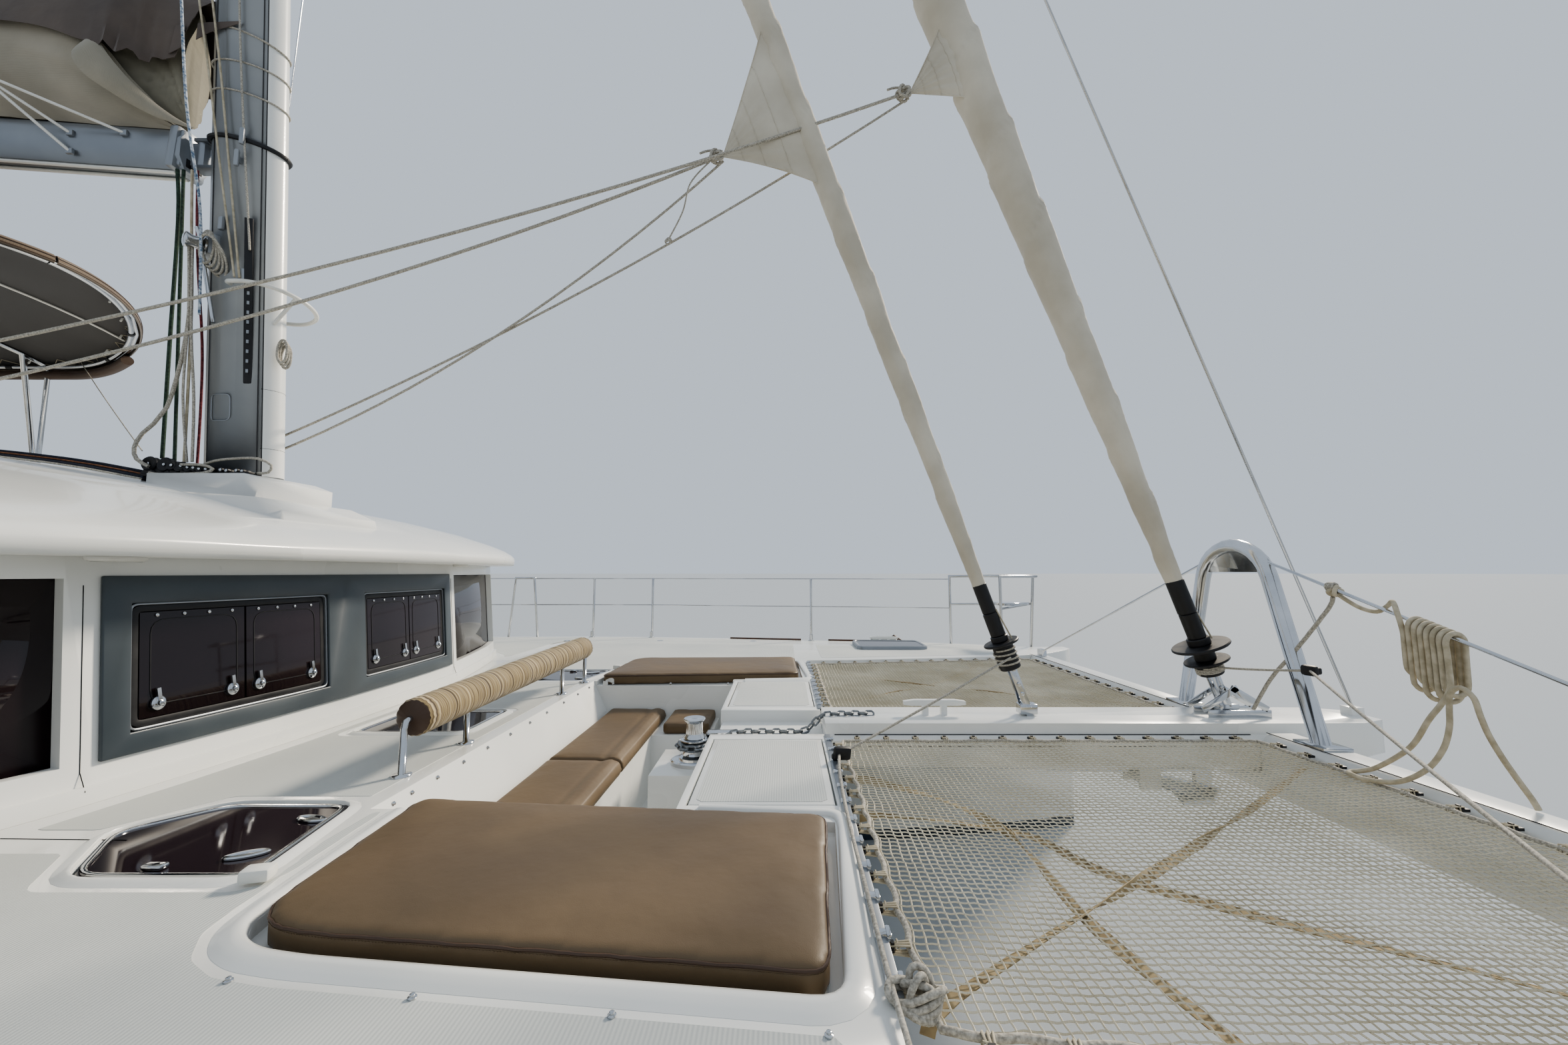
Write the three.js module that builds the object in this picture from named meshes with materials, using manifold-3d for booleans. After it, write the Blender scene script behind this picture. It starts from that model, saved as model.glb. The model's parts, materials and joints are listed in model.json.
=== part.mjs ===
// Sailing catamaran, 13.9 m long, 7.9 m wide and 21.9 m from keel to masthead, in millimetres.
// +X points to the bows, +Y to port and +Z up. The origin lies on the waterline, amidships,
// on the centreline.
import * as THREE from "three";
import { mergeVertices } from "three/addons/utils/BufferGeometryUtils.js";
import Module from "manifold-3d";

const wasm = await Module();
wasm.setup();

// Driving dimensions
const seat = 0.3; // gap between pieces that rest on each other
const run = 6; // clearance round a moving lid or door
const deckZ = 1620; // bridgedeck and inner side decks
const deckFall = 35; // how far the side deck falls to its outer edge
const kneeY = 3000; // where that fall starts
const bridgeHalf = 1900;
const bridgeFrontX = 4420;
const bridgeAftX = -5700;
const wetDeckZ = 800;
const soleZ = 980; // saloon and aft cockpit
const keelY = 2850;
const keelDepth = 1300;
const wallZ = 2390; // top of the coachroof walls, under the roof
const flySoleZ = 2890; // sole of the flybridge, let into the roof
const wallThick = 40;
const mastFootZ = 2802;
const mastFootX = 1513;
const mastHeadZ = 20600;
const mastRake = 0.0642; // aft per unit of height
const mastLong = 180; // half of its fore and aft chord
const mastWide = 100;
const beamAftX = 6365;
const beamFrontX = 6555;

// Finishes: colour, roughness, metalness
const finishes = {
  gelcoat: [0xf2f1ec, 0.25, 0],
  slate: [0x3d4751, 0.45, 0],
  glass: [0x2a2426, 0.1, 0],
  alloy: [0x9da1a6, 0.4, 0.8],
  steel: [0xc9ccd0, 0.2, 1],
  black: [0x1b1c1e, 0.5, 0],
  leather: [0x7b6450, 0.6, 0],
  canvas: [0x6b5a4b, 0.9, 0],
  sailcloth: [0xd9d3c6, 0.9, 0],
  net: [0xb9b09c, 0.9, 0],
  bronze: [0x8a6f3d, 0.4, 1],
  antifoul: [0x39424f, 0.7, 0],
  laminate: [0xb08a62, 0.5, 0],
  engine: [0x6d7478, 0.6, 0.3],
};

const sides = [
  { name: "starboard", sign: -1 },
  { name: "port", sign: 1 },
];

const boat = new THREE.Group();

// Solids from geometries

function solid(geometry) {
  const bare = geometry.clone();
  bare.deleteAttribute("normal");
  bare.deleteAttribute("uv");
  const merged = mergeVertices(bare, 1e-3);
  const corners = merged.index.array;
  const kept = [];
  for (let i = 0; i < corners.length; i += 3) {
    const [a, b, c] = [corners[i], corners[i + 1], corners[i + 2]];
    if (a !== b && b !== c && c !== a) kept.push(a, b, c);
  }
  return new wasm.Manifold(new wasm.Mesh({
    numProp: 3,
    vertProperties: new Float32Array(merged.attributes.position.array),
    triVerts: new Uint32Array(kept),
  }));
}

function geometryOf(shape) {
  const mesh = shape.getMesh();
  const geometry = new THREE.BufferGeometry();
  geometry.setAttribute("position", new THREE.BufferAttribute(mesh.vertProperties, 3));
  geometry.setIndex(new THREE.BufferAttribute(mesh.triVerts, 1));
  return geometry;
}

const join = (first, ...others) => others.reduce((sum, next) => sum.add(next), first);
const cut = (first, ...others) => others.reduce((rest, next) => rest.subtract(next), first);

function moved(shape, x, y, z) {
  return solid(geometryOf(shape).translate(x, y, z));
}

// The same shape on the other side of the centreline, for a starboard piece
function onSide(shape, sign) {
  if (sign > 0) return shape;
  const geometry = geometryOf(shape).scale(1, -1, 1);
  const index = geometry.index.array;
  for (let i = 0; i < index.length; i += 3) [index[i], index[i + 1]] = [index[i + 1], index[i]];
  return solid(geometry);
}

function both(shape) {
  return join(shape, onSide(shape, -1));
}

function box(x0, x1, y0, y1, z0, z1) {
  const geometry = new THREE.BoxGeometry(x1 - x0, y1 - y0, z1 - z0);
  return solid(geometry.translate((x0 + x1) / 2, (y0 + y1) / 2, (z0 + z1) / 2));
}

// An outline pushed along an axis. Its points are (x, y) for z, (x, z) for y and (y, z) for x.
function prism(axis, points, from, to) {
  const shape = Array.isArray(points)
    ? new THREE.Shape(points.map(([u, v]) => new THREE.Vector2(u, v)))
    : points;
  const geometry = new THREE.ExtrudeGeometry(shape, {
    depth: to - from, bevelEnabled: false, curveSegments: 5,
  });
  const [X, Y, Z] = [[1, 0, 0], [0, 1, 0], [0, 0, 1]].map((v) => new THREE.Vector3(...v));
  const turn = new THREE.Matrix4();
  if (axis === "y") turn.makeBasis(X, Z, Y.clone().negate());
  if (axis === "x") turn.makeBasis(Y, Z, X);
  geometry.applyMatrix4(turn);
  if (axis === "z") geometry.translate(0, 0, from);
  if (axis === "y") geometry.translate(0, to, 0);
  if (axis === "x") geometry.translate(from, 0, 0);
  return solid(geometry);
}

// A round bar between two points, [x, y, z]
function rod(a, b, radius, faces = 8, radiusEnd = radius) {
  const [start, end] = [new THREE.Vector3(...a), new THREE.Vector3(...b)];
  const along = end.clone().sub(start);
  const geometry = new THREE.CylinderGeometry(radiusEnd, radius, along.length(), faces);
  geometry.applyQuaternion(new THREE.Quaternion().setFromUnitVectors(
    new THREE.Vector3(0, 1, 0), along.clone().normalize()));
  geometry.translate(...start.add(end).multiplyScalar(0.5).toArray());
  return solid(geometry);
}

// A bar from point to point, mitred at its corners. Its ends are square, or lie in planes whose
// normals are given.
function bars(points, radius, faces = 6, startPlane = null, endPlane = null) {
  const at = points.map((p) => new THREE.Vector3(...p));
  const along = at.slice(1).map((p, i) => p.clone().sub(at[i]).normalize());
  const side = new THREE.Vector3(0.13, 0.31, 0.94).cross(along[0]).normalize();
  const up = along[0].clone().cross(side);
  let ring = [];
  for (let i = 0; i < faces; i += 1) {
    const a = i / faces * Math.PI * 2;
    ring.push(at[0].clone()
      .addScaledVector(side, radius * Math.cos(a))
      .addScaledVector(up, radius * Math.sin(a)));
  }
  const slid = (way, to, plane) => ring.map((v) => v.clone().addScaledVector(way,
    to.clone().sub(v).dot(plane) / way.dot(plane)));
  if (startPlane) ring = slid(along[0], at[0], new THREE.Vector3(...startPlane));
  const rings = [ring];
  for (let i = 1; i < at.length; i += 1) {
    const way = along[i - 1];
    const last = new THREE.Vector3(...(endPlane ?? way));
    const mitre = along[i] ? way.clone().add(along[i]).normalize() : last;
    ring = slid(way, at[i], mitre);
    rings.push(ring);
  }
  return loft(rings.map((r) => r.map((v) => v.toArray())));
}

// A tube along a smooth path through points
function bent(points, radius, faces = 8, steps = 24) {
  const path = new THREE.CatmullRomCurve3(points.map((p) => new THREE.Vector3(...p)), false,
    "centripetal");
  const ring = new THREE.Shape();
  ring.absarc(0, 0, radius, 0, Math.PI * 2);
  const outline = new THREE.Shape(ring.getSpacedPoints(faces).slice(0, faces));
  return solid(new THREE.ExtrudeGeometry(outline, { extrudePath: path, steps }));
}

// A turned piece: profile of [radius, height] from the axis back to the axis, standing on z
function turned(profile, x, y, z, faces = 16) {
  const points = profile.map(([r, h]) => new THREE.Vector2(r, h));
  return solid(new THREE.LatheGeometry(points, faces).rotateX(Math.PI / 2).translate(x, y, z));
}

// A skin over rings of points, each ring [[x, y, z], ...] seen anticlockwise from the last ring
function loft(rings) {
  const count = rings[0].length;
  const triangles = [];
  for (let r = 1; r < rings.length; r += 1) {
    for (let i = 0; i < count; i += 1) {
      const j = (i + 1) % count;
      const [a, b] = [(r - 1) * count + i, (r - 1) * count + j];
      const [c, d] = [r * count + j, r * count + i];
      triangles.push(a, b, c, a, c, d);
    }
  }
  const ends = [[rings[0], 0, true], [rings.at(-1), (rings.length - 1) * count, false]];
  for (const [ring, base, flip] of ends) {
    for (const [a, b, c] of capFaces(ring)) {
      triangles.push(base + a, base + (flip ? c : b), base + (flip ? b : c));
    }
  }
  const geometry = new THREE.BufferGeometry();
  geometry.setAttribute("position", new THREE.Float32BufferAttribute(rings.flat(2), 3));
  geometry.setIndex(triangles);
  return solid(geometry);
}

// Triangles over a flat ring, keeping the ring's own turning sense
function capFaces(ring) {
  const spread = [0, 1, 2].map((k) => {
    const values = ring.map((p) => p[k]);
    return Math.max(...values) - Math.min(...values);
  });
  const thin = spread.indexOf(Math.min(...spread));
  const [u, v] = [[1, 2], [2, 0], [0, 1]][thin];
  const flat = ring.map((p) => new THREE.Vector2(p[u], p[v]));
  const area = THREE.ShapeUtils.area(flat);
  const faces = THREE.ShapeUtils.triangulateShape(flat, []);
  return faces.map(([a, b, c]) => {
    const turnOf = THREE.ShapeUtils.area([flat[a], flat[b], flat[c]]);
    return turnOf * area > 0 ? [a, b, c] : [a, c, b];
  });
}

function add(name, shape, finish) {
  const [color, roughness, metalness] = finishes[finish];
  const material = new THREE.MeshStandardMaterial({ color, roughness, metalness });
  const mesh = new THREE.Mesh(geometryOf(shape), material);
  mesh.name = name;
  boat.add(mesh);
}

// A value read between the rows of a table of [x, value]
function between(rows, x) {
  if (x <= rows[0][0]) return rows[0][1];
  for (let i = 1; i < rows.length; i += 1) {
    const [[x0, v0], [x1, v1]] = [rows[i - 1], rows[i]];
    if (x <= x1) return v0 + (v1 - v0) * (x - x0) / (x1 - x0);
  }
  return rows.at(-1)[1];
}

// Rows read off a smooth curve through the rows of a table whose first column is x. Where the
// table is level, the curve is too.
function smoothed(rows, parts) {
  const rise = (from, to, k) => (to[k] - from[k]) / (to[0] - from[0]);
  const slopeAt = (i, k) => {
    const before = i > 0 ? rise(rows[i - 1], rows[i], k) : null;
    const after = i + 1 < rows.length ? rise(rows[i], rows[i + 1], k) : null;
    if (before === null || after === null) return before ?? after;
    return before * after > 0 ? 2 * before * after / (before + after) : 0;
  };
  const curve = [rows[0]];
  for (let i = 1; i < rows.length; i += 1) {
    const [from, to] = [rows[i - 1], rows[i]];
    const span = to[0] - from[0];
    for (let part = 1; part <= parts; part += 1) {
      const t = part / parts;
      curve.push(from.map((value, k) => value * (2 * t ** 3 - 3 * t ** 2 + 1)
        + to[k] * (3 * t ** 2 - 2 * t ** 3)
        + span * (slopeAt(i - 1, k) * (t ** 3 - 2 * t ** 2 + t) + slopeAt(i, k) * (t ** 3 - t ** 2))));
    }
  }
  return curve;
}

// Hulls

// columns: x, keel height, keel line y, half width at the waterline, outer deck edge, inner deck
// edge, deck height
const hullStations = [
  [-6900, -60, 2850, 540, 3600, 2150, 620],
  [-6000, -260, 2850, 650, 3760, 1960, 1100],
  [-5050, -450, 2850, 740, 3860, bridgeHalf, deckZ],
  [-3000, -660, 2850, 790, 3935, bridgeHalf, deckZ],
  [0, -750, 2850, 810, 3970, bridgeHalf, deckZ],
  [2000, -740, 2850, 750, 3960, bridgeHalf, deckZ],
  [3200, -710, 2840, 650, 3850, bridgeHalf, deckZ],
  [bridgeFrontX, -640, 2820, 520, 3620, bridgeHalf, deckZ],
  [5400, -540, 2790, 380, 3470, 2010, deckZ],
  [6050, -430, 2750, 260, 3320, 2115, deckZ],
  [6500, -330, 2720, 150, 3110, 2260, deckZ],
  [6800, -250, 2700, 60, 2890, 2480, deckZ],
  [6930, -200, 2690, 18, 2760, 2620, deckZ],
];
const hullRows = smoothed(hullStations, 3);
const outerEdge = hullRows.map((row) => [row[0], row[4]]);

// A section of the hull: round bilges from the keel to the waterline, then flared topsides
function hullRing([x, keelZ, lineY, half, outer, inner, top]) {
  const flat = Math.min(50, half * 0.5);
  const knee = Math.min(kneeY, (outer + inner) / 2 + 60);
  const turn = Math.min(90, half * 0.6);
  const flare = outer - lineY - half;
  const chineZ = 70;
  const bilge = [20, 45, 70, 90].map((angle) => {
    const a = angle / 180 * Math.PI;
    return [flat + (half - flat) * Math.sin(a), chineZ - (chineZ - keelZ) * Math.cos(a)];
  });
  const edgeZ = top - deckFall - 90;
  const topside = [[0.3, 0.3], [0.62, 0.56], [0.87, 0.79]].map(([out, up]) => [
    lineY + half + flare * out, chineZ + (edgeZ - chineZ) * up]);
  return [
    [lineY - flat, keelZ], [lineY + flat, keelZ],
    ...bilge.map(([y, z]) => [lineY + y, z]),
    ...topside, [outer, edgeZ], [outer - 12, top - deckFall - 20], [outer - 45, top - deckFall],
    [knee, top], [inner, top],
    [inner, Math.min(wetDeckZ + 20, top * 0.6)], [lineY - half - turn, Math.min(520, top * 0.4)],
    ...bilge.map(([y, z]) => [lineY - y, z]).reverse(),
  ].map(([y, z]) => [x, y, z]);
}

// columns: aft end, fore end, tread height, outer edge of the tread
const sternSteps = [
  [-7000, -6420, 380, 3380],
  [-6420, -5960, 690, 3450],
  [-5960, -5500, 1000, 3520],
  [-5500, -5050, 1310, 3600],
];

const engineBay = { x0: -4930, x1: -4030, y0: 2580, y1: 3120, floor: -120, roof: 1540 };
const legHole = { x0: -4640, x1: -4340, half: 75 };
const rudderStock = { x: -5980, radius: 40, top: 240, bore: 41 };

function keelFin() {
  const foil = (z, aft, fore, half) => [
    [fore, keelY, z], [fore - (fore - aft) * 0.3, keelY + half, z],
    [aft, keelY + 12, z], [aft, keelY - 12, z], [fore - (fore - aft) * 0.3, keelY - half, z],
  ];
  return loft([foil(-keelDepth, -1100, 1350, 70), foil(-600, -1500, 1750, 120)]);
}

function hull() {
  const lid = engineLid();
  return cut(
    join(loft(hullRows.map(hullRing)), keelFin(), ...hullCleats()),
    ...sternSteps.map(([x0, x1, z, y]) => box(x0, x1, 1500, y, z, 2000)),
    box(engineBay.x0, engineBay.x1, engineBay.y0, engineBay.y1, engineBay.floor, engineBay.roof),
    box(engineBay.x0, engineBay.x1, lid.y0 + 30, lid.y1 - 30, engineBay.roof - 10, 2000),
    box(lid.x0 - run, lid.x1 + run, lid.y0 - run, lid.y1 + run, lid.z0 - seat, 2000),
    box(legHole.x0, legHole.x1, keelY - legHole.half, keelY + legHole.half, -900, 0),
    rod([rudderStock.x, keelY, -500], [rudderStock.x, keelY, rudderStock.top + 10],
      rudderStock.bore, 24),
  );
}

// A mooring cleat at each end of the side deck
function hullCleats() {
  return [[-4700, 3740], [5300, 3330]].map(([x, y]) => cleat(x, y, deckZ - deckFall - 5));
}

const cleatHigh = 75;
function cleat(x, y, z) {
  const bar = prism("y", [[-150, 52], [-110, 48], [110, 48], [150, 52], [150, 68], [100, cleatHigh],
    [-100, cleatHigh], [-150, 68]], -14, 14);
  const feet = [-45, 45].map((at) => box(at - 14, at + 14, -14, 14, -30, 60));
  return moved(join(bar, ...feet), x, y, z);
}

function engineLid() {
  return { x0: -4960, x1: -4000, y0: 2450, y1: 2990, z0: deckZ - 45, z1: deckZ };
}

// Bridgedeck with the fore cockpit, saloon sole and aft cockpit

const foreWell = { x0: 2960, x1: 3900, half: 1020, sole: 1050 };
const bench = { x0: 3082, x1: 3445, top: 1380, portY: 620, portX: 3800 };
const pedestal = { x0: 3620, half: 190, top: 1430 };
const lockerLid = { x0: 3930, x1: 4390, y0: 300, y1: 990, thick: 24 };
const hatchThick = 26;

// Trays let into the deck for the sunpads, and the outline of each pad as (x, y)
const tray = { depth: 30, gap: 12 };
const padTop = 1662;
const padOutlines = {
  starboard: [[3107, -1008], [3138, -1520], [3150, -1585], [3185, -1632], [3240, -1662], [3337, -1682],
    [4323, -1789], [4365, -1124]],
  port: [[3000, 1030], [3022, 1690], [3036, 1760], [3075, 1812], [3140, 1838], [4325, 1872], [4345, 1128]],
};

// Outlines of the deck hatches, as (x, y)
const hatches = {
  starboard: [[2545, -1413], [2370, -1180], [2516, -994], [2888, -994], [2964, -1413]],
  middle: [[2290, -200], [2290, 200], [2790, 200], [2790, -200]],
  port: [[2545, 1413], [2964, 1413], [2888, 994], [2516, 994], [2370, 1180]],
};

// An outline moved out by a distance, or in when it is negative
function grown(points, by) {
  const area = THREE.ShapeUtils.area(points.map((p) => new THREE.Vector2(...p)));
  const sense = Math.sign(area);
  return points.map((p, i) => {
    const a = points[(i + points.length - 1) % points.length];
    const b = points[(i + 1) % points.length];
    const n0 = new THREE.Vector2(p[1] - a[1], a[0] - p[0]).normalize();
    const n1 = new THREE.Vector2(b[1] - p[1], p[0] - b[0]).normalize();
    const mid = n0.clone().add(n1).normalize();
    const out = sense * by / Math.max(0.3, mid.dot(n0));
    return [p[0] + mid.x * out, p[1] + mid.y * out];
  });
}

function bridgedeck() {
  const w = bridgeHalf - seat;
  const body = prism("y", [[bridgeAftX, wetDeckZ], [3900, wetDeckZ], [4250, 1000], [bridgeFrontX, 1400],
    [bridgeFrontX, deckZ], [bridgeAftX, deckZ]], -w, w);
  const lockers = both(join(
    box(lockerLid.x0 - run, lockerLid.x1 + run, lockerLid.y0 - run, lockerLid.y1 + run,
      deckZ - lockerLid.thick - seat, 1800),
    box(lockerLid.x0 + 18, lockerLid.x1 - 18, lockerLid.y0 + 18, lockerLid.y1 - 18, 1250, 1800),
  ));
  const wells = Object.values(hatches).map((outline) => join(
    prism("z", grown(outline, run), deckZ - hatchThick - seat, 1800),
    prism("z", grown(outline, -30), deckZ - 260, 1800),
  ));
  const trays = Object.values(padOutlines).map((outline) =>
    prism("z", grown(outline, tray.gap), deckZ - tray.depth, 1800));
  const openSides = both(box(3060, 3890, foreWell.half - 10, 1130, deckZ - tray.depth, 1800));
  return cut(body, ...trays, openSides,
    box(-2480, 1640, -2000, 2000, soleZ, 2000),
    box(-5560, -2400, -1840, 1840, soleZ, 2000),
    both(box(-5800, -5500, 1240, 2000, soleZ + 330, 2000)),
    foreWellSpace(), lockers, ...wells)
    .add(box(-5560, -5080, -1200, 1200, soleZ - 10, 1400));
}

function foreWellSpace() {
  const { x0, x1, half, sole } = foreWell;
  return join(
    cut(box(x0, x1, -half, half, sole, 2000),
      prism("y", [[x0 - 10, bench.top - 10], [bench.x0, bench.top - 10], [x0 + 6, deckZ],
        [x0 - 10, deckZ]], -half - 10, half + 10),
      box(x0 - 10, bench.x1, -half - 10, half + 10, sole - 10, bench.top),
      box(x0 - 10, bench.portX, bench.portY, half + 10, sole - 10, bench.top),
      box(pedestal.x0, x1 + 10, -pedestal.half, pedestal.half, sole - 10, pedestal.top)),
    box(x1 - 10, bridgeFrontX + 10, -pedestal.half - 30, pedestal.half + 30, 1560, 2000),
    box(pedestal.x0 - 10, x1 + 10, -pedestal.half - 30, pedestal.half + 30, pedestal.top, 2000),
  );
}

// Coachroof

const panelHalf = 960;
const paneFrom = 1045;
const wallRake = 0.088; // aft per unit of height
const windowLow = 1745;
const windowHigh = 2320;

// Half of the wall's plan, from the centreline round the corner to the aft bulkhead, as (x, y)
function wallPlan() {
  const bow = [0, 350, 700, panelHalf, paneFrom];
  return [
    ...bow.map((y) => [2100 - 0.065e-3 * y * y, y]),
    [1925, 1480], [1830, 1820], [1710, 2150], [1560, 2290], [1380, 2400], [1100, 2490],
    [600, 2560], [-2450, 2640],
  ];
}

// The shape leaned aft about the height of the window sills
function raked(shape) {
  const geometry = geometryOf(shape);
  const shear = new THREE.Matrix4().makeShear(0, 0, 0, 0, 0, 0);
  shear.elements[8] = -wallRake;
  return solid(geometry.applyMatrix4(shear).translate(1800 * wallRake, 0, 0));
}

// The path moved towards the inside of the boat
function inward(path, by) {
  return path.map((p, i) => {
    const a = path[Math.max(0, i - 1)];
    const b = path[Math.min(path.length - 1, i + 1)];
    const along = new THREE.Vector2(b[0] - a[0], b[1] - a[1]).normalize();
    const first = i === 0 ? new THREE.Vector2(0, 1) : along;
    return [p[0] - first.y * by, p[1] + (i === 0 ? 0 : first.x * by)];
  });
}

// A band that follows the wall between two of its plan points
function wallBand(from, to, out, deep, z0, z1) {
  const edge = (by) => inward(wallPlan(), by).slice(from, to + 1);
  return prism("z", [...edge(out), ...edge(deep).reverse()], z0, z1);
}

const lastPlan = wallPlan().length - 1;

function coachroofWalls(hullSolids) {
  const sideWall = wallBand(0, lastPlan, 0, wallThick, deckZ - 60, wallZ);
  const foot = wallBand(0, lastPlan, -18, 10, deckZ - 60, deckZ + 55);
  const frontWindow = (y0, y1) => box(1700, 2300, y0, y1, 1790, 2245);
  const cornerWindow = wallBand(4, 7, -60, wallThick + 60, windowLow, windowHigh);
  const sideWindow = wallBand(9, 12, -60, wallThick + 60, windowLow, windowHigh)
    .subtract(box(-2600, -2150, 0, 3000, 0, 3000));
  const half = raked(cut(join(sideWall, foot), cornerWindow, sideWindow, frontWindow(100, 900)));
  const bulkhead = cut(
    join(box(-2450, -2400, -1890, 1890, soleZ + seat, 2300),
      prism("x", [[-2630, deckZ - 60], [2630, deckZ - 60], [2630, wallZ], [2290, wallZ],
        [2290, 2600], [1690, 2790], [-1690, 2790], [-2290, 2600], [-2290, wallZ], [-2630, wallZ]],
      -2450, -2400)),
    box(-2500, -2300, door.y0 + 30, door.y1 - 20, soleZ + 60, 2250),
    box(-2500, -2300, -1750, -500, 1250, 2250),
  );
  const walls = join(half, onSide(half, -1), bulkhead);
  const deck = box(-3000, 4000, -bridgeHalf, bridgeHalf, soleZ + 200, deckZ + seat)
    .subtract(box(-2480, 1640 - seat, -1900, 1900, 0, 3000));
  return cut(walls, deck, ...hullSolids.map((h) => moved(h, 0, 0, seat)),
    ...hullSolids.map((h, i) => moved(h, 0, i ? -seat : seat, 0)));
}

function frontSurround() {
  const half = wallBand(0, 3, -14, -seat, 1738, 2328);
  return raked(cut(both(half), both(box(1700, 2300, 117, 885, 1808, 2235))));
}

function frontGlass() {
  const half = wallBand(0, 3, wallThick + seat, wallThick + 8, 1760, 2275);
  return raked(both(half));
}

// The pane from the front mullion round the corner and along the side, inside the wall
function sideGlass() {
  return raked(cut(wallBand(4, 12, wallThick + seat, wallThick + 8, windowLow - 20, windowHigh + 20),
    box(-2700, -2130, 0, 3000, 0, 3000), box(0, 3000, 0, paneFrom - 20, 0, 3000)));
}

const door = { y0: 560, y1: 1480, travel: 900 };
function saloonDoor() {
  const frame = box(-2500, -2456, door.y0, door.y1, soleZ + seat, 2280);
  const handle = box(-2530, -2490, door.y0 + 60, door.y0 + 85, 1750, 2050);
  return join(frame, handle);
}

// Roof with the flybridge

// columns: x, half width, height of the crown
const roofStations = [
  [-5250, 2500, 2880], [-5000, 2620, 2960], [-4000, 2760, 3020], [-1000, 2790, 3010], [0, 2760, 2935],
  [700, 2680, 2862], [1200, 2550, 2772], [1600, 2350, 2688], [1900, 2040, 2602], [2100, 1650, 2540],
  [2230, 1150, 2488], [2300, 560, 2448],
];
const lip = 42;

// A section of the roof: its lip, then a full curve over to the other side
function roofRing([x, half, crown]) {
  const rise = crown - wallZ - lip;
  const upper = [0, 9, 19, 30, 42, 55, 68, 80].map((angle) => {
    const a = angle / 180 * Math.PI;
    return [half * Math.cos(a) ** 0.625, wallZ + lip + rise * Math.sin(a) ** 1.05];
  });
  const left = upper.map(([y, z]) => [-y, z]).reverse();
  const under = [[-half + 12, wallZ + seat], [half - 12, wallZ + seat]];
  return [...under, ...upper, ...left].map(([y, z]) => [x, y, z]);
}

function roof() {
  const ceiling = prism("x", [[-2300, 2300], [2300, 2300], [2300, 2610], [1700, 2800 + seat],
    [-1700, 2800 + seat], [-2300, 2610]], -4850, 2000)
    .intersect(prism("y", [[-4850, 2300], [1750, 2300], [1690, 2410], [900, 2650], [300, 2760],
      [-300, 2802], [-4850, 2802]], -2500, 2500))
    .intersect(prism("z", [[-4850, -2300], [600, -2300], [1550, -1600], [1750, 0], [1550, 1600],
      [600, 2300], [-4850, 2300]], 2200, 3000));
  const plinth = join(
    prism("y", [[1250, 2700], [1800, 2580], [1800, 2766], [1704, mastFootZ - seat],
      [1250, mastFootZ - seat]], -202, 202),
    prism("y", [[1250, 2600], [2010, 2500], [1975, 2618], [1840, 2680], [1250, 2720]], -290, 290));
  const well = box(-4500, -1150, -1500, 1500, flySoleZ, 3300);
  const seatBase = box(-3300, -2750, -1180, 1180, flySoleZ - 10, 3270);
  const backrest = box(-3420, -3300, -1180, 1180, flySoleZ - 10, 3620);
  const posts = both(box(-4900, -4760, 2120, 2330, deckZ + seat, 2500));
  const shell = loft(smoothed(roofStations, 3).map(roofRing));
  return join(cut(shell, ceiling, well), plinth, seatBase, backrest, posts);
}

// Inside the saloon

function saloonTable() {
  return join(box(-500, 600, 900, 1640, 1640, 1675), box(0, 120, 1200, 1320, soleZ + seat, 1660));
}

function saloonSettee() {
  return join(
    box(700, 1300, 300, 1880, soleZ + seat, 1420),
    box(-1300, 1300, 1690, 1880, soleZ + seat, 1420),
    box(1300, 1400, 300, 1880, soleZ + seat, 1800),
  );
}

// Mast, boom and stays

const mastX = (z) => mastFootX - (z - mastFootZ) * mastRake;
// columns: height, length out from the mast, sweep aft, tip to shroud
const spreaders = [[8600, 1400, 760, 1.5], [13700, 1150, 620, 3.5]];
const gooseneck = { z: 4530, reach: 62, pin: 12 };

function mastRing(z, share = 1) {
  const ring = [];
  for (let i = 0; i < 14; i += 1) {
    const a = i / 14 * Math.PI * 2;
    ring.push([mastX(z) + mastLong * share * Math.cos(a), mastWide * share * Math.sin(a), z]);
  }
  return ring;
}

function mast() {
  const tube = loft([mastRing(mastFootZ), mastRing(16500), mastRing(mastHeadZ, 0.7)]);
  const arms = spreaders.map(([z, out, sweep, tip]) => both(cut(
    rod([mastX(z) - 40, 0, z], [mastX(z) - sweep, out, z + 90], 40, 8, 12),
    box(-3000, 3000, out - wire - tip, 3000, 0, 25000))));
  const x = mastX(gooseneck.z) - mastLong - gooseneck.reach;
  const lugs = [-75, 75].map((dz) => box(x - 30, x + 120, -32, 32,
    gooseneck.z + dz - 8, gooseneck.z + dz + 8));
  const pin = rod([x, 0, gooseneck.z - 80], [x, 0, gooseneck.z + 80], gooseneck.pin, 16);
  const tangs = stays.map(({ head }) => {
    const front = tangX(head);
    return box(front - 120, front, -18, 18, head - 50, head + 50);
  });
  const sideTangs = [lowerZ, capZ].map((z) => box(mastX(z) - 60, mastX(z) + 20, -tangY, tangY,
    z - 60, z + 20));
  const headX = mastX(mastHeadZ);
  const crane = box(headX - 330, headX + 60, -40, 40, mastHeadZ - 120, mastHeadZ - 40);
  return join(tube, ...arms, ...lugs, pin, ...tangs, ...sideTangs, crane);
}

const wire = 7;
const tangY = 128;
const lowerZ = 8450;
const capZ = 18350;
const chainplate = { x: -2200, y: 3760 };
const tangX = (z) => mastX(z) + mastLong + 70;

// Foot and head of each stay on the centreline, and the foot's height
const stays = [
  { name: "staysail", footX: 5414, footZ: 1660, head: 14050 },
  { name: "genoa", footX: 6385, footZ: 1660, head: 17700 },
  { name: "sprit", footX: 6990, footZ: 1690, head: 19300 },
];

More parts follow.
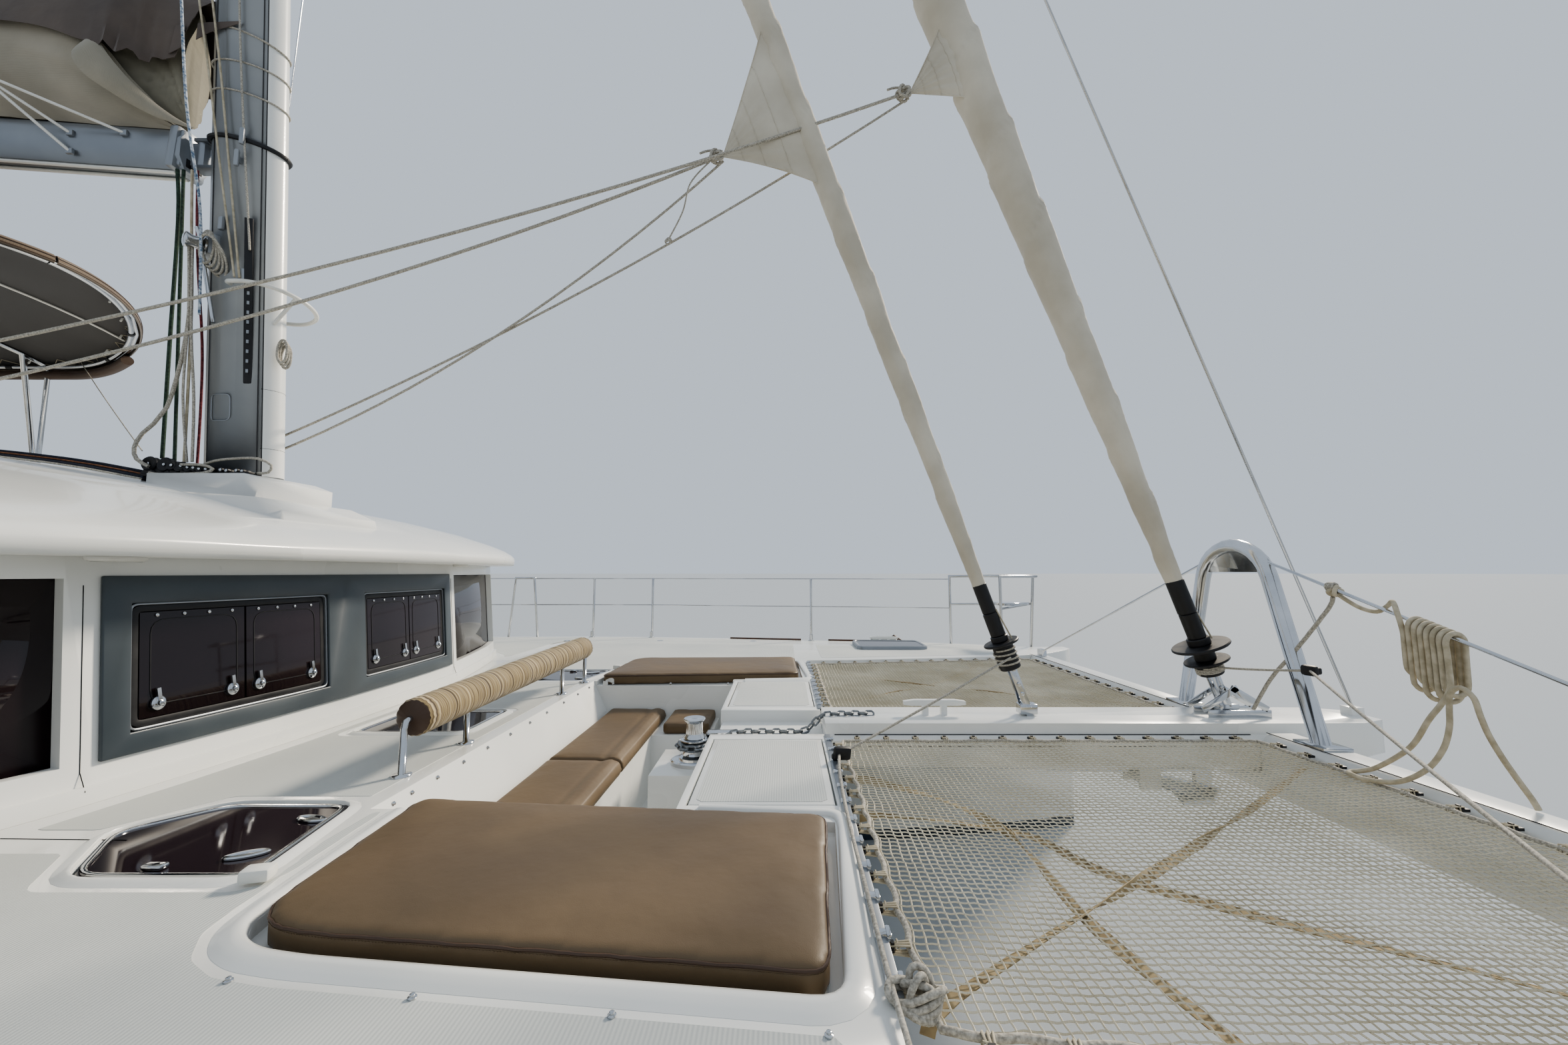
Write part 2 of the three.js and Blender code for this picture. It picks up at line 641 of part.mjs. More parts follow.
function stayAt(stay, z) {
  const share = (z - stay.footZ) / (stay.head - stay.footZ);
  return stay.footX + (tangX(stay.head) - stay.footX) * share;
}

const stayPoint = (stay, z) => [stayAt(stay, z), 0, z];
const level = [0, 0, 1];

// The bare stay from a height up to its tang on the mast
function bareStay(stay, low, radius) {
  const head = [tangX(stay.head) + seat, 0, stay.head];
  return bars([stayPoint(stay, low), head], radius, 8, level, [1, 0, 0]);
}

// A furled sail: its roll is [height, radius] up the stay, with the bare stay above it. Each ring
// is tilted square to the stay.
function furledSail(stay, low, roll) {
  const rings = roll.map(([z, radius]) => {
    const ring = [];
    for (let i = 0; i < 10; i += 1) {
      const a = i / 10 * Math.PI * 2;
      const fore = radius * Math.cos(a);
      ring.push([stayAt(stay, z) + fore * 1.06, radius * Math.sin(a), z + fore * 0.33]);
    }
    return ring;
  });
  return join(loft(rings), bareStay(stay, low, 14));
}

// The drum with its link plates, down to the eye on the foredeck
function furler(stay, low) {
  const at = (z) => stayPoint(stay, z);
  const drum = rod(at(low - 215), at(low - 120), 78, 16);
  const plates = [low - 215, low - 128].map((z) => rod(at(z - 6), at(z + 6), 92, 16));
  const top = bars([at(low - 125), at(low - seat)], 28, 10, null, level);
  const link = bars([at(stay.footZ + 12), at(low - 200)], 15, 8, level);
  return join(drum, ...plates, top, link);
}

// Height of the furler's top on each stay, and the roll above it as [height, radius]
const furlers = { staysail: 2080, genoa: 2100 };
const rolls = {
  staysail: [[2100, 28], [2600, 42], [4200, 62], [6500, 74], [10000, 60], [12800, 34], [13300, 20]],
  genoa: [[2120, 32], [2700, 52], [4200, 92], [5600, 122], [9000, 118], [13000, 80], [16200, 42],
    [16800, 20]],
};

function shrouds() {
  const { x, y } = chainplate;
  const turns = spreaders.map(([z, out, sweep]) => [mastX(z) - sweep, out, z + 90]);
  const athwart = [0, 1, 0];
  const foot = [x, y, 1780];
  const head = (z) => [mastX(z) - 20, tangY + seat, z];
  const cap = bars([foot, ...turns, head(capZ)], wire, 6, null, athwart);
  const lower = bars([foot, head(lowerZ)], wire, 6, null, athwart);
  const plate = box(x - 60, x + 60, y - 10, y + 10, 1500, 1800);
  return join(plate, cap, lower);
}

function spritStay() {
  const stay = stays[2];
  return bareStay(stay, stay.footZ + seat, wire);
}

// The boom rises a little towards its end, as do the sail and the bag on it
const boomRise = 0.075;
const boomLength = 5500;
const boomHigh = 215;
const boomWide = 75;
const pivotX = mastX(gooseneck.z) - mastLong - gooseneck.reach;

function boom() {
  const foreX = pivotX - 50;
  const aftX = pivotX - boomLength;
  const low = (x) => 4425 + (foreX - x) * boomRise;
  const section = (x) => [[-boomWide * 0.6, 0], [boomWide * 0.6, 0], [boomWide, 60], [boomWide, 155],
    [boomWide * 0.6, boomHigh], [-boomWide * 0.6, boomHigh], [-boomWide, 155], [-boomWide, 60]]
    .map(([y, z]) => [x, y, low(x) + z]);
  const spar = loft([section(aftX), section(foreX)]);
  const tongue = box(pivotX - 80, pivotX + 20, -22, 22, gooseneck.z - 60, gooseneck.z + 60);
  const eye = rod([pivotX, 0, gooseneck.z - 64], [pivotX, 0, gooseneck.z + 64], 28, 16);
  const bore = rod([pivotX, 0, gooseneck.z - 90], [pivotX, 0, gooseneck.z + 90], gooseneck.pin + 0.7, 16);
  return cut(join(spar, tongue, eye), bore);
}

// The stowed mainsail in its bag, from [share of the length, half width, height]
function mainsailStack() {
  const foreX = pivotX - 110;
  const table = [[0, 95, 740], [0.05, 175, 850], [0.13, 220, 840], [0.3, 240, 700], [0.6, 210, 540],
    [0.9, 150, 390], [1, 90, 310]];
  const rings = table.map(([share, half, high]) => {
    const x = foreX - share * (boomLength - 260);
    const low = 4425 + (pivotX - 50 - x) * boomRise + boomHigh + seat;
    const section = [[-0.45, 0], [0.45, 0], [0.95, 0.3], [1, 0.62], [0.5, 0.97], [-0.5, 0.97],
      [-1, 0.62], [-0.95, 0.3]];
    return section.map(([w, h]) => [x, half * w, low + high * h]);
  });
  return loft(rings.reverse());
}

// Foredeck

function crossbeam() {
  const section = [
    [beamAftX, 1420], [beamAftX + 40, 1350], [beamFrontX - 40, 1350], [beamFrontX, 1420],
    [beamFrontX, 1570], [beamFrontX - 35, deckZ], [beamAftX + 35, deckZ], [beamAftX, 1570],
  ];
  return prism("y", section, -2300, 2300);
}

// columns: half width, height; the longeron's outline from its underside up
const longeronSide = [[150, 1445], [200, 1475], [200, 1585], [156, 1600], [156, 1650]];
const spritX = 7040;

function longeron() {
  const outline = [...longeronSide, ...longeronSide.map(([y, z]) => [-y, z]).reverse()];
  const beam = prism("x", outline, bridgeFrontX + seat, 6600);
  const tip = prism("z", [[6590, -156], [6900, -150], [spritX, -90], [spritX, 90], [6900, 150],
    [6590, 156]], 1500, 1650);
  const eyes = stays.slice(0, 2).map(({ footX, footZ }) => box(footX - 22, footX + 22, -9, 9,
    1640, footZ + 11.5));
  const ring = box(stays[2].footX - 30, stays[2].footX + 30, -30, 30, 1640, stays[2].footZ);
  const roller = rod([5950, -64, 1355.6], [5950, 64, 1355.6], 30, 12);
  const cheeks = both(box(5900, 6000, 58, 70, 1325, 1460));
  return join(beam, tip, ...eyes, ring, roller, cheeks, cleat(4960, 0, 1648));
}

function beamNotch() {
  return box(beamAftX - 20, beamFrontX + 20, -200 - seat, 200 + seat, 1445 - seat, 2000);
}

// Inverted U on the crossbeam, with the wire over its top down to the beam's ends
const arch = { x: 6460, half: 408, top: 2470, tube: 34, crown: 215, lean: 16 };

function strikerArch() {
  const { x, half, top, tube, crown, lean } = arch;
  const over = [];
  for (let i = 0; i <= 12; i += 1) {
    const a = (lean + i / 12 * (180 - 2 * lean)) / 180 * Math.PI;
    over.push([x, Math.cos(a) * crown, top - crown + Math.sin(a) * crown]);
  }
  const hoop = bars([[x, half, deckZ - 30], ...over, [x, -half, deckZ - 30]], tube, 12);
  const feet = both(box(x - 60, x + 60, half - 75, half + 65, deckZ + seat, deckZ + 12));
  const plate = prism("x", [[-196, 2340], [196, 2340], [182, 2385], [120, 2435], [0, 2462],
    [-120, 2435], [-182, 2385]], x - 3, x + 3);
  const wires = both(rod([x, 165, 2400], [x, 2180, deckZ + 26], 7, 6));
  const ends = both(box(x - 20, x + 20, 2110, 2200, deckZ + seat, deckZ + 56));
  return cut(join(hoop, feet, plate, wires, ends),
    box(6000, 7000, -2500, 2500, 1000, deckZ + seat));
}

// Nets between the longeron, the hulls, the bridgedeck and the beam
function trampoline() {
  const z = 1590;
  return prism("z", [[bridgeFrontX + seat, 201], [beamAftX - seat, 201], [beamAftX - seat, 2150],
    [5400, 2009], [bridgeFrontX + seat, 1899]], z, z + 14);
}

function sunpad(name) {
  return prism("z", padOutlines[name], deckZ - tray.depth + seat, padTop);
}

function benchCushion() {
  const seatPad = box(bench.x0 + 4, bench.x1 - 20, -1015, 1015, bench.top + seat, bench.top + 72);
  const rollX = bench.x1 - 20;
  const roll = rod([rollX, -1015, bench.top + 28], [rollX, 1015, bench.top + 28], 44, 10);
  const under = box(bench.x1 - 400, bench.x1 + seat, -1100, 1100, 1000, bench.top + seat);
  const portSeat = box(bench.x1 - 1, bench.portX + 200, bench.portY - 3, 1200, 1000, 1700);
  return cut(join(seatPad, roll), under, portSeat);
}

function portSeatPad() {
  return box(3495, bench.portX - 5, bench.portY + 5, foreWell.half - 5, bench.top + seat, bench.top + 66);
}

// The backrest roll on its rail: its ends, and the posts under it
const roller = { from: [2876, -715, 1810], to: [2921, 940, 1850], radius: 71, rail: 12, posts: [-356, 610] };

// A point on the roll's centre line, where it crosses y
function onRoller(y) {
  const { from, to } = roller;
  const share = (y - from[1]) / (to[1] - from[1]);
  return from.map((value, k) => value + (to[k] - value) * share);
}

function bolster() {
  const { from, to, radius, rail, posts } = roller;
  const holes = posts.map((y) => rod([onRoller(y)[0], y, 1600], onRoller(y), rail + 0.8, 8));
  const bore = rod(onRoller(from[1] - 40), onRoller(to[1] + 40), rail + 0.8, 12);
  return cut(rod(from, to, radius, 14), bore, ...holes);
}

function bolsterRail() {
  const { from, to, rail, posts } = roller;
  const [startX, , startZ] = from;
  const [endX, , endZ] = to;
  const starboardEnd = [[startX, from[1] - 30, deckZ + 5], [startX, from[1] - 30, startZ - 28],
    [startX, from[1] - 22, startZ - 6], onRoller(from[1] - 4)];
  const portEnd = [onRoller(to[1] + 4), [endX + 1, to[1] + 20, endZ - 6],
    [endX + 1, to[1] + 24, endZ - 28], [endX + 1, to[1] + 24, deckZ + 5]];
  const tube = bars([...starboardEnd, ...portEnd], rail, 12);
  const post = (y) => rod([onRoller(y)[0], y, deckZ + seat], onRoller(y), rail, 8);
  const foot = (x, y) => rod([x, y, deckZ + seat], [x, y, deckZ + 8], 32, 12);
  return join(tube, foot(startX, from[1] - 30), foot(endX + 1, to[1] + 24),
    ...posts.map((y) => join(post(y), foot(onRoller(y)[0], y))));
}

const windlassAt = { x: 3800, y: -20 };
function windlass() {
  const { x, y } = windlassAt;
  const base = turned([[0, 0], [92, 0], [92, 22], [60, 34], [48, 60], [48, 84], [0, 84]], x, y,
    pedestal.top + seat);
  const gypsy = turned([[0, 70], [74, 70], [80, 76], [66, 90], [66, 96], [80, 110], [74, 116],
    [0, 116]], x, y, pedestal.top + seat);
  const chain = bars([[x + 62, y, pedestal.top + 96], [3890, y, 1580], [4330, y, 1580], [4405, y, 1668],
    [4700, 0, 1668]], 14, 6);
  return join(base, gypsy, chain);
}

function capstan() {
  const { x, y } = windlassAt;
  return turned([[0, 0], [52, 0], [40, 22], [38, 60], [50, 84], [50, 92], [0, 96]], x, y,
    pedestal.top + 116 + 2 * seat);
}

function anchor() {
  const shank = prism("y", [[5480, 1400], [5500, 1430], [6200, 1438], [6300, 1400], [6280, 1386],
    [5500, 1386]], -14, 14);
  const fluke = prism("z", [[6330, 0], [6180, 150], [6030, 170], [6090, 0], [6030, -170],
    [6180, -150]], 1290, 1312);
  const neck = box(6200, 6280, -14, 14, 1300, 1420);
  return join(shank, fluke, neck);
}

function lockerCover(sign) {
  const { x0, x1, y0, y1, thick } = lockerLid;
  return onSide(box(x0, x1, y0, y1, deckZ - thick, deckZ), sign);
}

// Rails on each side: bow pulpit, stanchions with two wires, gate and stern rail

const railZ = 2265;
const midZ = 1960;
const uprights = [-5300, -3900, -2500, -1100, 100, 2000, 2700, 4530]
  .map((x) => [x, between(outerEdge, x) - 75]);

function sideRails(hullSolid) {
  const post = ([x, y]) => rod([x, y, 1500], [x, y, railZ + 6], 13, 6);
  const line = (z) => loft([...uprights, [6000, 3270]].map(([x, y]) => [
    [x, y - 4, z - 4], [x, y + 4, z - 4], [x, y + 4, z + 4], [x, y - 4, z + 4]]));
  const gate = bars([[1000, 3895, 1500], [1070, 3890, 2270], [1290, 3885, 2270], [1360, 3880, 1500]], 13, 6);
  const pulpit = join(
    bars([[6000, 3270, 1500], [6000, 3270, 2295], [6380, 3130, 2300], [6700, 2830, 2300],
      [6640, 2620, 2300], [6240, 2480, 2300], [6240, 2480, 1500]], 14, 6),
    bars([[6700, 2830, 2300], [6640, 2800, 1500]], 14, 6),
    bars([[6000, 3270, 2000], [6700, 2830, 2030]], 12, 6),
    bars([[6240, 2480, 2000], [6660, 2810, 2030]], 12, 6),
    prism("z", [[6300, 2640], [6560, 2660], [6640, 2790], [6300, 3010]], 2020, 2045));
  const stern = bars([[-5300, 3770, 1500], [-5300, 3770, 2270], [-6150, 3690, 2270],
    [-6150, 3690, 900]], 14, 6);
  return cut(join(pulpit, gate, stern, ...uprights.map(post), line(railZ), line(midZ)),
    moved(hullSolid, 0, 0, seat));
}

// Under the water

function rudder() {
  const foil = (z, aft, fore, half) => [
    [fore, keelY, z], [fore - (fore - aft) * 0.3, keelY + half, z],
    [aft, keelY + 5, z], [aft, keelY - 5, z], [fore - (fore - aft) * 0.3, keelY - half, z],
  ];
  const blade = loft([foil(-1150, -6230, -5890, 22), foil(-340, -6280, -5790, 34)]);
  const { x, top, radius } = rudderStock;
  return join(blade, rod([x, keelY, -500], [x, keelY, top], radius, 24));
}

const prop = { x: -4790, z: -790, radius: 205 };

function engine() {
  const { floor } = engineBay;
  const block = box(-4800, -4150, keelY - 210, keelY + 210, floor + seat, 560);
  const leg = prism("z", [[-4630, keelY - 20], [-4430, keelY - 50], [-4350, keelY], [-4430, keelY + 50],
    [-4630, keelY + 20]], prop.z, floor + 20);
  const gearcase = rod([prop.x + 60, keelY, prop.z], [-4330, keelY, prop.z], 62, 12, 40);
  const shaft = rod([prop.x - 20, keelY, prop.z], [prop.x + 70, keelY, prop.z], 16, 12);
  return join(block, leg, gearcase, shaft);
}

function propeller() {
  const hub = rod([prop.x - 60, 0, 0], [prop.x + 60 - 1, 0, 0], 44, 12);
  const blades = [0, 1, 2].map((i) => {
    const shape = new THREE.Shape();
    shape.absellipse(0, 118, 62, 88, 0, Math.PI * 2);
    const blade = new THREE.ExtrudeGeometry(shape, {
      depth: 9, bevelEnabled: false, curveSegments: 6,
    });
    blade.translate(0, 0, -4.5).rotateY(Math.PI * 0.32).rotateX(i / 3 * Math.PI * 2);
    return solid(blade.translate(prop.x, 0, 0));
  });
  const whole = cut(join(hub, ...blades), rod([prop.x - 21, 0, 0], [prop.x + 80, 0, 0], 16.7, 12));
  return moved(whole, 0, keelY, prop.z);
}

// Flybridge

const helm = { y: 0, wheelX: -1700, wheelZ: 3420, wheel: 340 };

function helmConsole() {
  const base = flySoleZ + seat;
  const body = prism("y", [[-1620, base], [-1180, base], [-1180, 3480], [-1330, 3620], [-1560, 3560],
    [-1620, 3300]], helm.y - 420, helm.y + 420);
  const shaft = rod([-1500, helm.y, helm.wheelZ], [helm.wheelX + 24, helm.y, helm.wheelZ], 26, 12);
  return join(body, shaft);
}

function steeringWheel() {
  const rim = solid(new THREE.TorusGeometry(helm.wheel, 16, 8, 28).rotateY(Math.PI / 2));
  const spokes = [0, 1, 2].map((i) => {
    const a = i / 3 * Math.PI * 2;
    return rod([0, 0, 0], [0, Math.sin(a) * helm.wheel, Math.cos(a) * helm.wheel], 9, 6);
  });
  const hub = rod([-24, 0, 0], [24 - 2 * seat, 0, 0], 40, 14);
  return moved(join(rim, ...spokes, hub), helm.wheelX, helm.y, helm.wheelZ);
}

// The bimini: straight sides up to a rounded nose, with a tube along its edge and two hoops
const canopy = { half: 1240, aft: -2900, straight: -1000, nose: 1430, power: 1.68, crown: 4000, sag: 165,
  under: 16.5, over: 42 };
const hoops = [-2600, -1180];
const biminiTube = 15;

const noseShare = (x) => Math.max(0, (x - canopy.straight) / canopy.nose);
const canopyHalf = (x) => canopy.half * (1 - noseShare(x) ** canopy.power) ** (1 / canopy.power);

function canopyZ(x, y) {
  const aftDrop = Math.max(0, hoops[0] - x) * 0.12;
  return canopy.crown - canopy.sag * Math.abs(y / canopy.half) ** 2.6 - 40 * noseShare(x) - aftDrop;
}

function canopyRing(x) {
  const across = [1, 0.88, 0.62, 0.3];
  const ys = [...across, ...across.map((share) => -share).reverse()].map((share) => share * canopyHalf(x));
  const low = ys.map((y) => [x, y, canopyZ(x, y) + canopy.under]);
  const high = ys.map((y) => [x, y, canopyZ(x, y) + canopy.over]);
  return [...high, ...low.reverse()];
}

function biminiCanopy() {
  const stations = [canopy.aft, -2600, -1900, -1180, -1000, -700, -400, -120, 120, 280, 380, 422];
  return loft(stations.map(canopyRing));
}

// A point of the edge tube, from the side at 0 to the nose at a quarter turn
function nosePoint(angle) {
  const inset = 10;
  const x = canopy.straight + (canopy.nose - inset) * Math.sin(angle) ** (2 / canopy.power);
  const y = (canopy.half - inset) * Math.cos(angle) ** (2 / canopy.power);
  return [x, y, canopyZ(x, y)];
}

function biminiFrame() {
  const sideY = canopy.half - 10;
  const [aft, middle] = hoops;
  const side = (y) => [[aft, y, canopyZ(aft, y)], [middle, y, canopyZ(middle, y)]];
  const nose = [];
  for (let i = 0; i <= 8; i += 1) nose.push(nosePoint(i / 8 * Math.PI / 2 + 1e-4 * (8 - i)));
  const far = nose.slice(0, -1).map(([x, y, z]) => [x, -y, z]).reverse();
  const edge = bars([...side(sideY), ...nose, ...far, ...side(-sideY).reverse()], biminiTube, 6);
  const acrossAt = (x) => bars([1, 0.88, 0.62, 0.3, -0.3, -0.62, -0.88, -1].map((share) =>
    [x, share * sideY, canopyZ(x, share * sideY)]), biminiTube, 6);
  const low = [middle, sideY, flySoleZ + 110];
  const high = [middle, sideY * 0.88, canopyZ(middle, sideY * 0.88)];
  const legs = both(rod([middle, sideY, flySoleZ + seat], [middle, sideY, canopyZ(middle, sideY)],
    biminiTube, 6));
  const struts = both(bars([[aft, sideY, canopyZ(aft, sideY)], low, high], biminiTube, 6));
  return join(edge, ...hoops.map(acrossAt), legs, struts);
}

// Aft cockpit

function cockpitTable() {
  return join(box(-4500, -3500, -1500, -560, 1640, 1675), box(-4100, -3900, -1100, -960, soleZ + seat, 1660));
}

function aftCushion() {
  return box(-5540, -5090, -1180, 1180, 1400 + seat, 1490);
}

// The whole boat

const hullPort = hull();
const hullStarboard = onSide(hullPort, -1);
add("hull_starboard", hullStarboard, "gelcoat");
add("hull_port", hullPort, "gelcoat");
add("bridgedeck", bridgedeck(), "gelcoat");
add("coachroof_walls", coachroofWalls([hullStarboard, hullPort]), "gelcoat");
add("roof", roof(), "gelcoat");
add("front_window_surround", frontSurround(), "slate");
add("front_glass", frontGlass(), "glass");
add("saloon_door", saloonDoor(), "glass");
add("saloon_table", saloonTable(), "laminate");
add("saloon_settee", saloonSettee(), "leather");
add("mast", mast(), "alloy");
add("boom", boom(), "alloy");
add("mainsail_stack", mainsailStack(), "sailcloth");
add("staysail_furled", furledSail(stays[0], furlers.staysail, rolls.staysail), "sailcloth");
add("genoa_furled", furledSail(stays[1], furlers.genoa, rolls.genoa), "sailcloth");
add("staysail_furler", furler(stays[0], furlers.staysail), "black");
add("genoa_furler", furler(stays[1], furlers.genoa), "black");
add("sprit_stay", spritStay(), "steel");
const netPort = cut(trampoline(), moved(hullPort, 0, -seat, 0));
const beam = cut(crossbeam(), beamNotch(), moved(hullPort, 0, -seat, 0), moved(hullStarboard, 0, seat, 0));
add("crossbeam", beam, "gelcoat");
add("longeron", longeron(), "gelcoat");
add("striker_arch", strikerArch(), "steel");
add("bench_cushion", benchCushion(), "leather");
add("port_seat_pad", portSeatPad(), "leather");
add("bolster", bolster(), "canvas");
add("bolster_rail", bolsterRail(), "steel");
add("windlass", windlass(), "steel");
add("windlass_capstan", capstan(), "steel");
add("anchor", anchor(), "steel");
for (const [place, outline] of Object.entries(hatches)) {
  add(`deck_hatch_${place}`, prism("z", outline, deckZ - hatchThick, deckZ), "glass");
}
for (const { name, sign } of sides) {
  const own = sign > 0 ? hullPort : hullStarboard;
  const lid = engineLid();
  add(`side_glass_${name}`, onSide(sideGlass(), sign), "glass");
  add(`shrouds_${name}`, onSide(cut(shrouds(), moved(hullPort, 0, 0, seat)), sign), "steel");
  add(`trampoline_${name}`, onSide(netPort, sign), "net");
  add(`sunpad_${name}`, sunpad(name), "leather");
  add(`locker_lid_${name}`, lockerCover(sign), "gelcoat");
  add(`side_rails_${name}`, onSide(sideRails(hullPort), sign), "steel");
  add(`rudder_${name}`, onSide(rudder(), sign), "antifoul");
  add(`engine_${name}`, onSide(engine(), sign), "engine");
  add(`propeller_${name}`, onSide(propeller(), sign), "bronze");
  add(`engine_lid_${name}`, onSide(box(lid.x0, lid.x1, lid.y0, lid.y1, lid.z0, lid.z1), sign), "gelcoat");
}
add("helm_console", helmConsole(), "gelcoat");
add("steering_wheel", steeringWheel(), "steel");
add("bimini_frame", biminiFrame(), "steel");
add("bimini_canopy", biminiCanopy(), "canvas");
add("cockpit_table", cockpitTable(), "laminate");
add("aft_cushion", aftCushion(), "leather");

export default boat;
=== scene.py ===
import json
from math import atan2, copysign, cos, degrees, exp, hypot, pi, radians, sin, sqrt

import bmesh
import bpy
import numpy as np
from mathutils import Matrix, Vector, noise
from mathutils.bvhtree import BVHTree

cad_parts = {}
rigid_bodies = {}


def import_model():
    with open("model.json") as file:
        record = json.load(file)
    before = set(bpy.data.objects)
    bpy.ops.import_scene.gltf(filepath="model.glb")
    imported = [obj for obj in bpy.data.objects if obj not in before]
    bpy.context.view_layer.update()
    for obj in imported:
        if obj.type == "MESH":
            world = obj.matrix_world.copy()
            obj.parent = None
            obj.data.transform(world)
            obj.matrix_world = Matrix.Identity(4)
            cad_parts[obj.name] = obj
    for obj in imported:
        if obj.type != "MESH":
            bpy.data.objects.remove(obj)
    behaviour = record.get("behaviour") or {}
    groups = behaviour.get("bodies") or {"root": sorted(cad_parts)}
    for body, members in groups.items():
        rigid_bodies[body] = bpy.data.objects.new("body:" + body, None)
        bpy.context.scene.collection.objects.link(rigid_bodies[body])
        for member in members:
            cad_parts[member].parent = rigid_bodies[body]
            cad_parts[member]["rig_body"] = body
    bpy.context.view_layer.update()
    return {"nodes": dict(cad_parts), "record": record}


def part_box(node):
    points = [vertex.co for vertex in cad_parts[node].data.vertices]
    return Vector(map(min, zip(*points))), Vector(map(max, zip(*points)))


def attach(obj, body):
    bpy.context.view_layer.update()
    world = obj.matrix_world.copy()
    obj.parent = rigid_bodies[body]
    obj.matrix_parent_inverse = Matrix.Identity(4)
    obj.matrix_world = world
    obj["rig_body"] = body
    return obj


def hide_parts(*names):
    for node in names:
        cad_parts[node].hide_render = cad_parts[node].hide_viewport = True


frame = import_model()
slotOf = {part["node"]: part["material_slot"] for part in frame["record"]["subparts"]}
print("frame loaded,", len(frame["nodes"]), "nodes")

# camera, light and floor

camera = {
    "place": (4.23, -2.82, 2.34),
    "lens": 13.0,
    "sensor": 36.0,
    "tilt": 5.009,  # degrees up from level, looking to port
}
light = {
    "sky": "#DCE6F2",
    "skyStrength": 0.72,
    "sunColour": "#FFF3E0",
    "sunStrength": 3.6,
    "sunFrom": (0.87, 0.94, 0.80),
    "sunSoftness": 9.0,  # degrees
    "floor": "#AFB5BB",
    "floorHalf": 900.0,
    "contrast": "AgX - Medium High Contrast",
    "exposure": 0.06,
}


def linear(hexColour):
    channels = [int(hexColour[i:i + 2], 16) / 255 for i in (1, 3, 5)]
    curve = [c / 12.92 if c <= 0.04045 else ((c + 0.055) / 1.055) ** 2.4 for c in channels]
    return (*curve, 1.0)


def addNode(tree, kind, values=None, links=None, **settings):
    node = tree.nodes.new(kind)
    for name, value in settings.items():
        setattr(node, name, value)
    for socket, value in (values or {}).items():
        node.inputs[socket].default_value = value
    for socket, source in (links or {}).items():
        tree.links.new(source, node.inputs[socket])
    return node


def addObject(name, data):
    made = bpy.data.objects.new(name, data)
    bpy.context.scene.collection.objects.link(made)
    return made


def addCamera():
    data = bpy.data.cameras.new("camera")
    data.lens = camera["lens"]
    data.sensor_width = camera["sensor"]
    data.clip_start = 0.05
    data.clip_end = 3000
    made = addObject("camera", data)
    made.location = camera["place"]
    made.rotation_euler = (radians(90 + camera["tilt"]), 0, 0)
    bpy.context.scene.camera = made


def addLight():
    world = bpy.data.worlds.new("studio")
    world.use_nodes = True
    sky = world.node_tree.nodes["Background"]
    sky.inputs["Color"].default_value = linear(light["sky"])
    sky.inputs["Strength"].default_value = light["skyStrength"]
    bpy.context.scene.world = world
    bpy.context.scene.view_settings.look = light["contrast"]
    bpy.context.scene.view_settings.exposure = light["exposure"]
    data = bpy.data.lights.new("sun", "SUN")
    data.energy = light["sunStrength"]
    data.color = linear(light["sunColour"])[:3]
    data.angle = radians(light["sunSoftness"])
    sun = addObject("sun", data)
    sun.rotation_euler = Vector(light["sunFrom"]).to_track_quat("Z", "Y").to_euler()


def addFloor():
    half = light["floorHalf"]
    corners = [(-half, -half, 0), (half, -half, 0), (half, half, 0), (-half, half, 0)]
    data = bpy.data.meshes.new("floor")
    data.from_pydata(corners, [], [(0, 1, 2, 3)])
    material = bpy.data.materials.new("painted_floor")
    material.use_nodes = True
    shader = material.node_tree.nodes["Principled BSDF"]
    shader.inputs["Base Color"].default_value = linear(light["floor"])
    shader.inputs["Roughness"].default_value = 0.9
    shader.inputs["Specular IOR Level"].default_value = 0.1
    data.materials.append(material)
    addObject("floor", data)


addCamera()
addLight()
addFloor()
print("camera, light and floor done")

# finishes

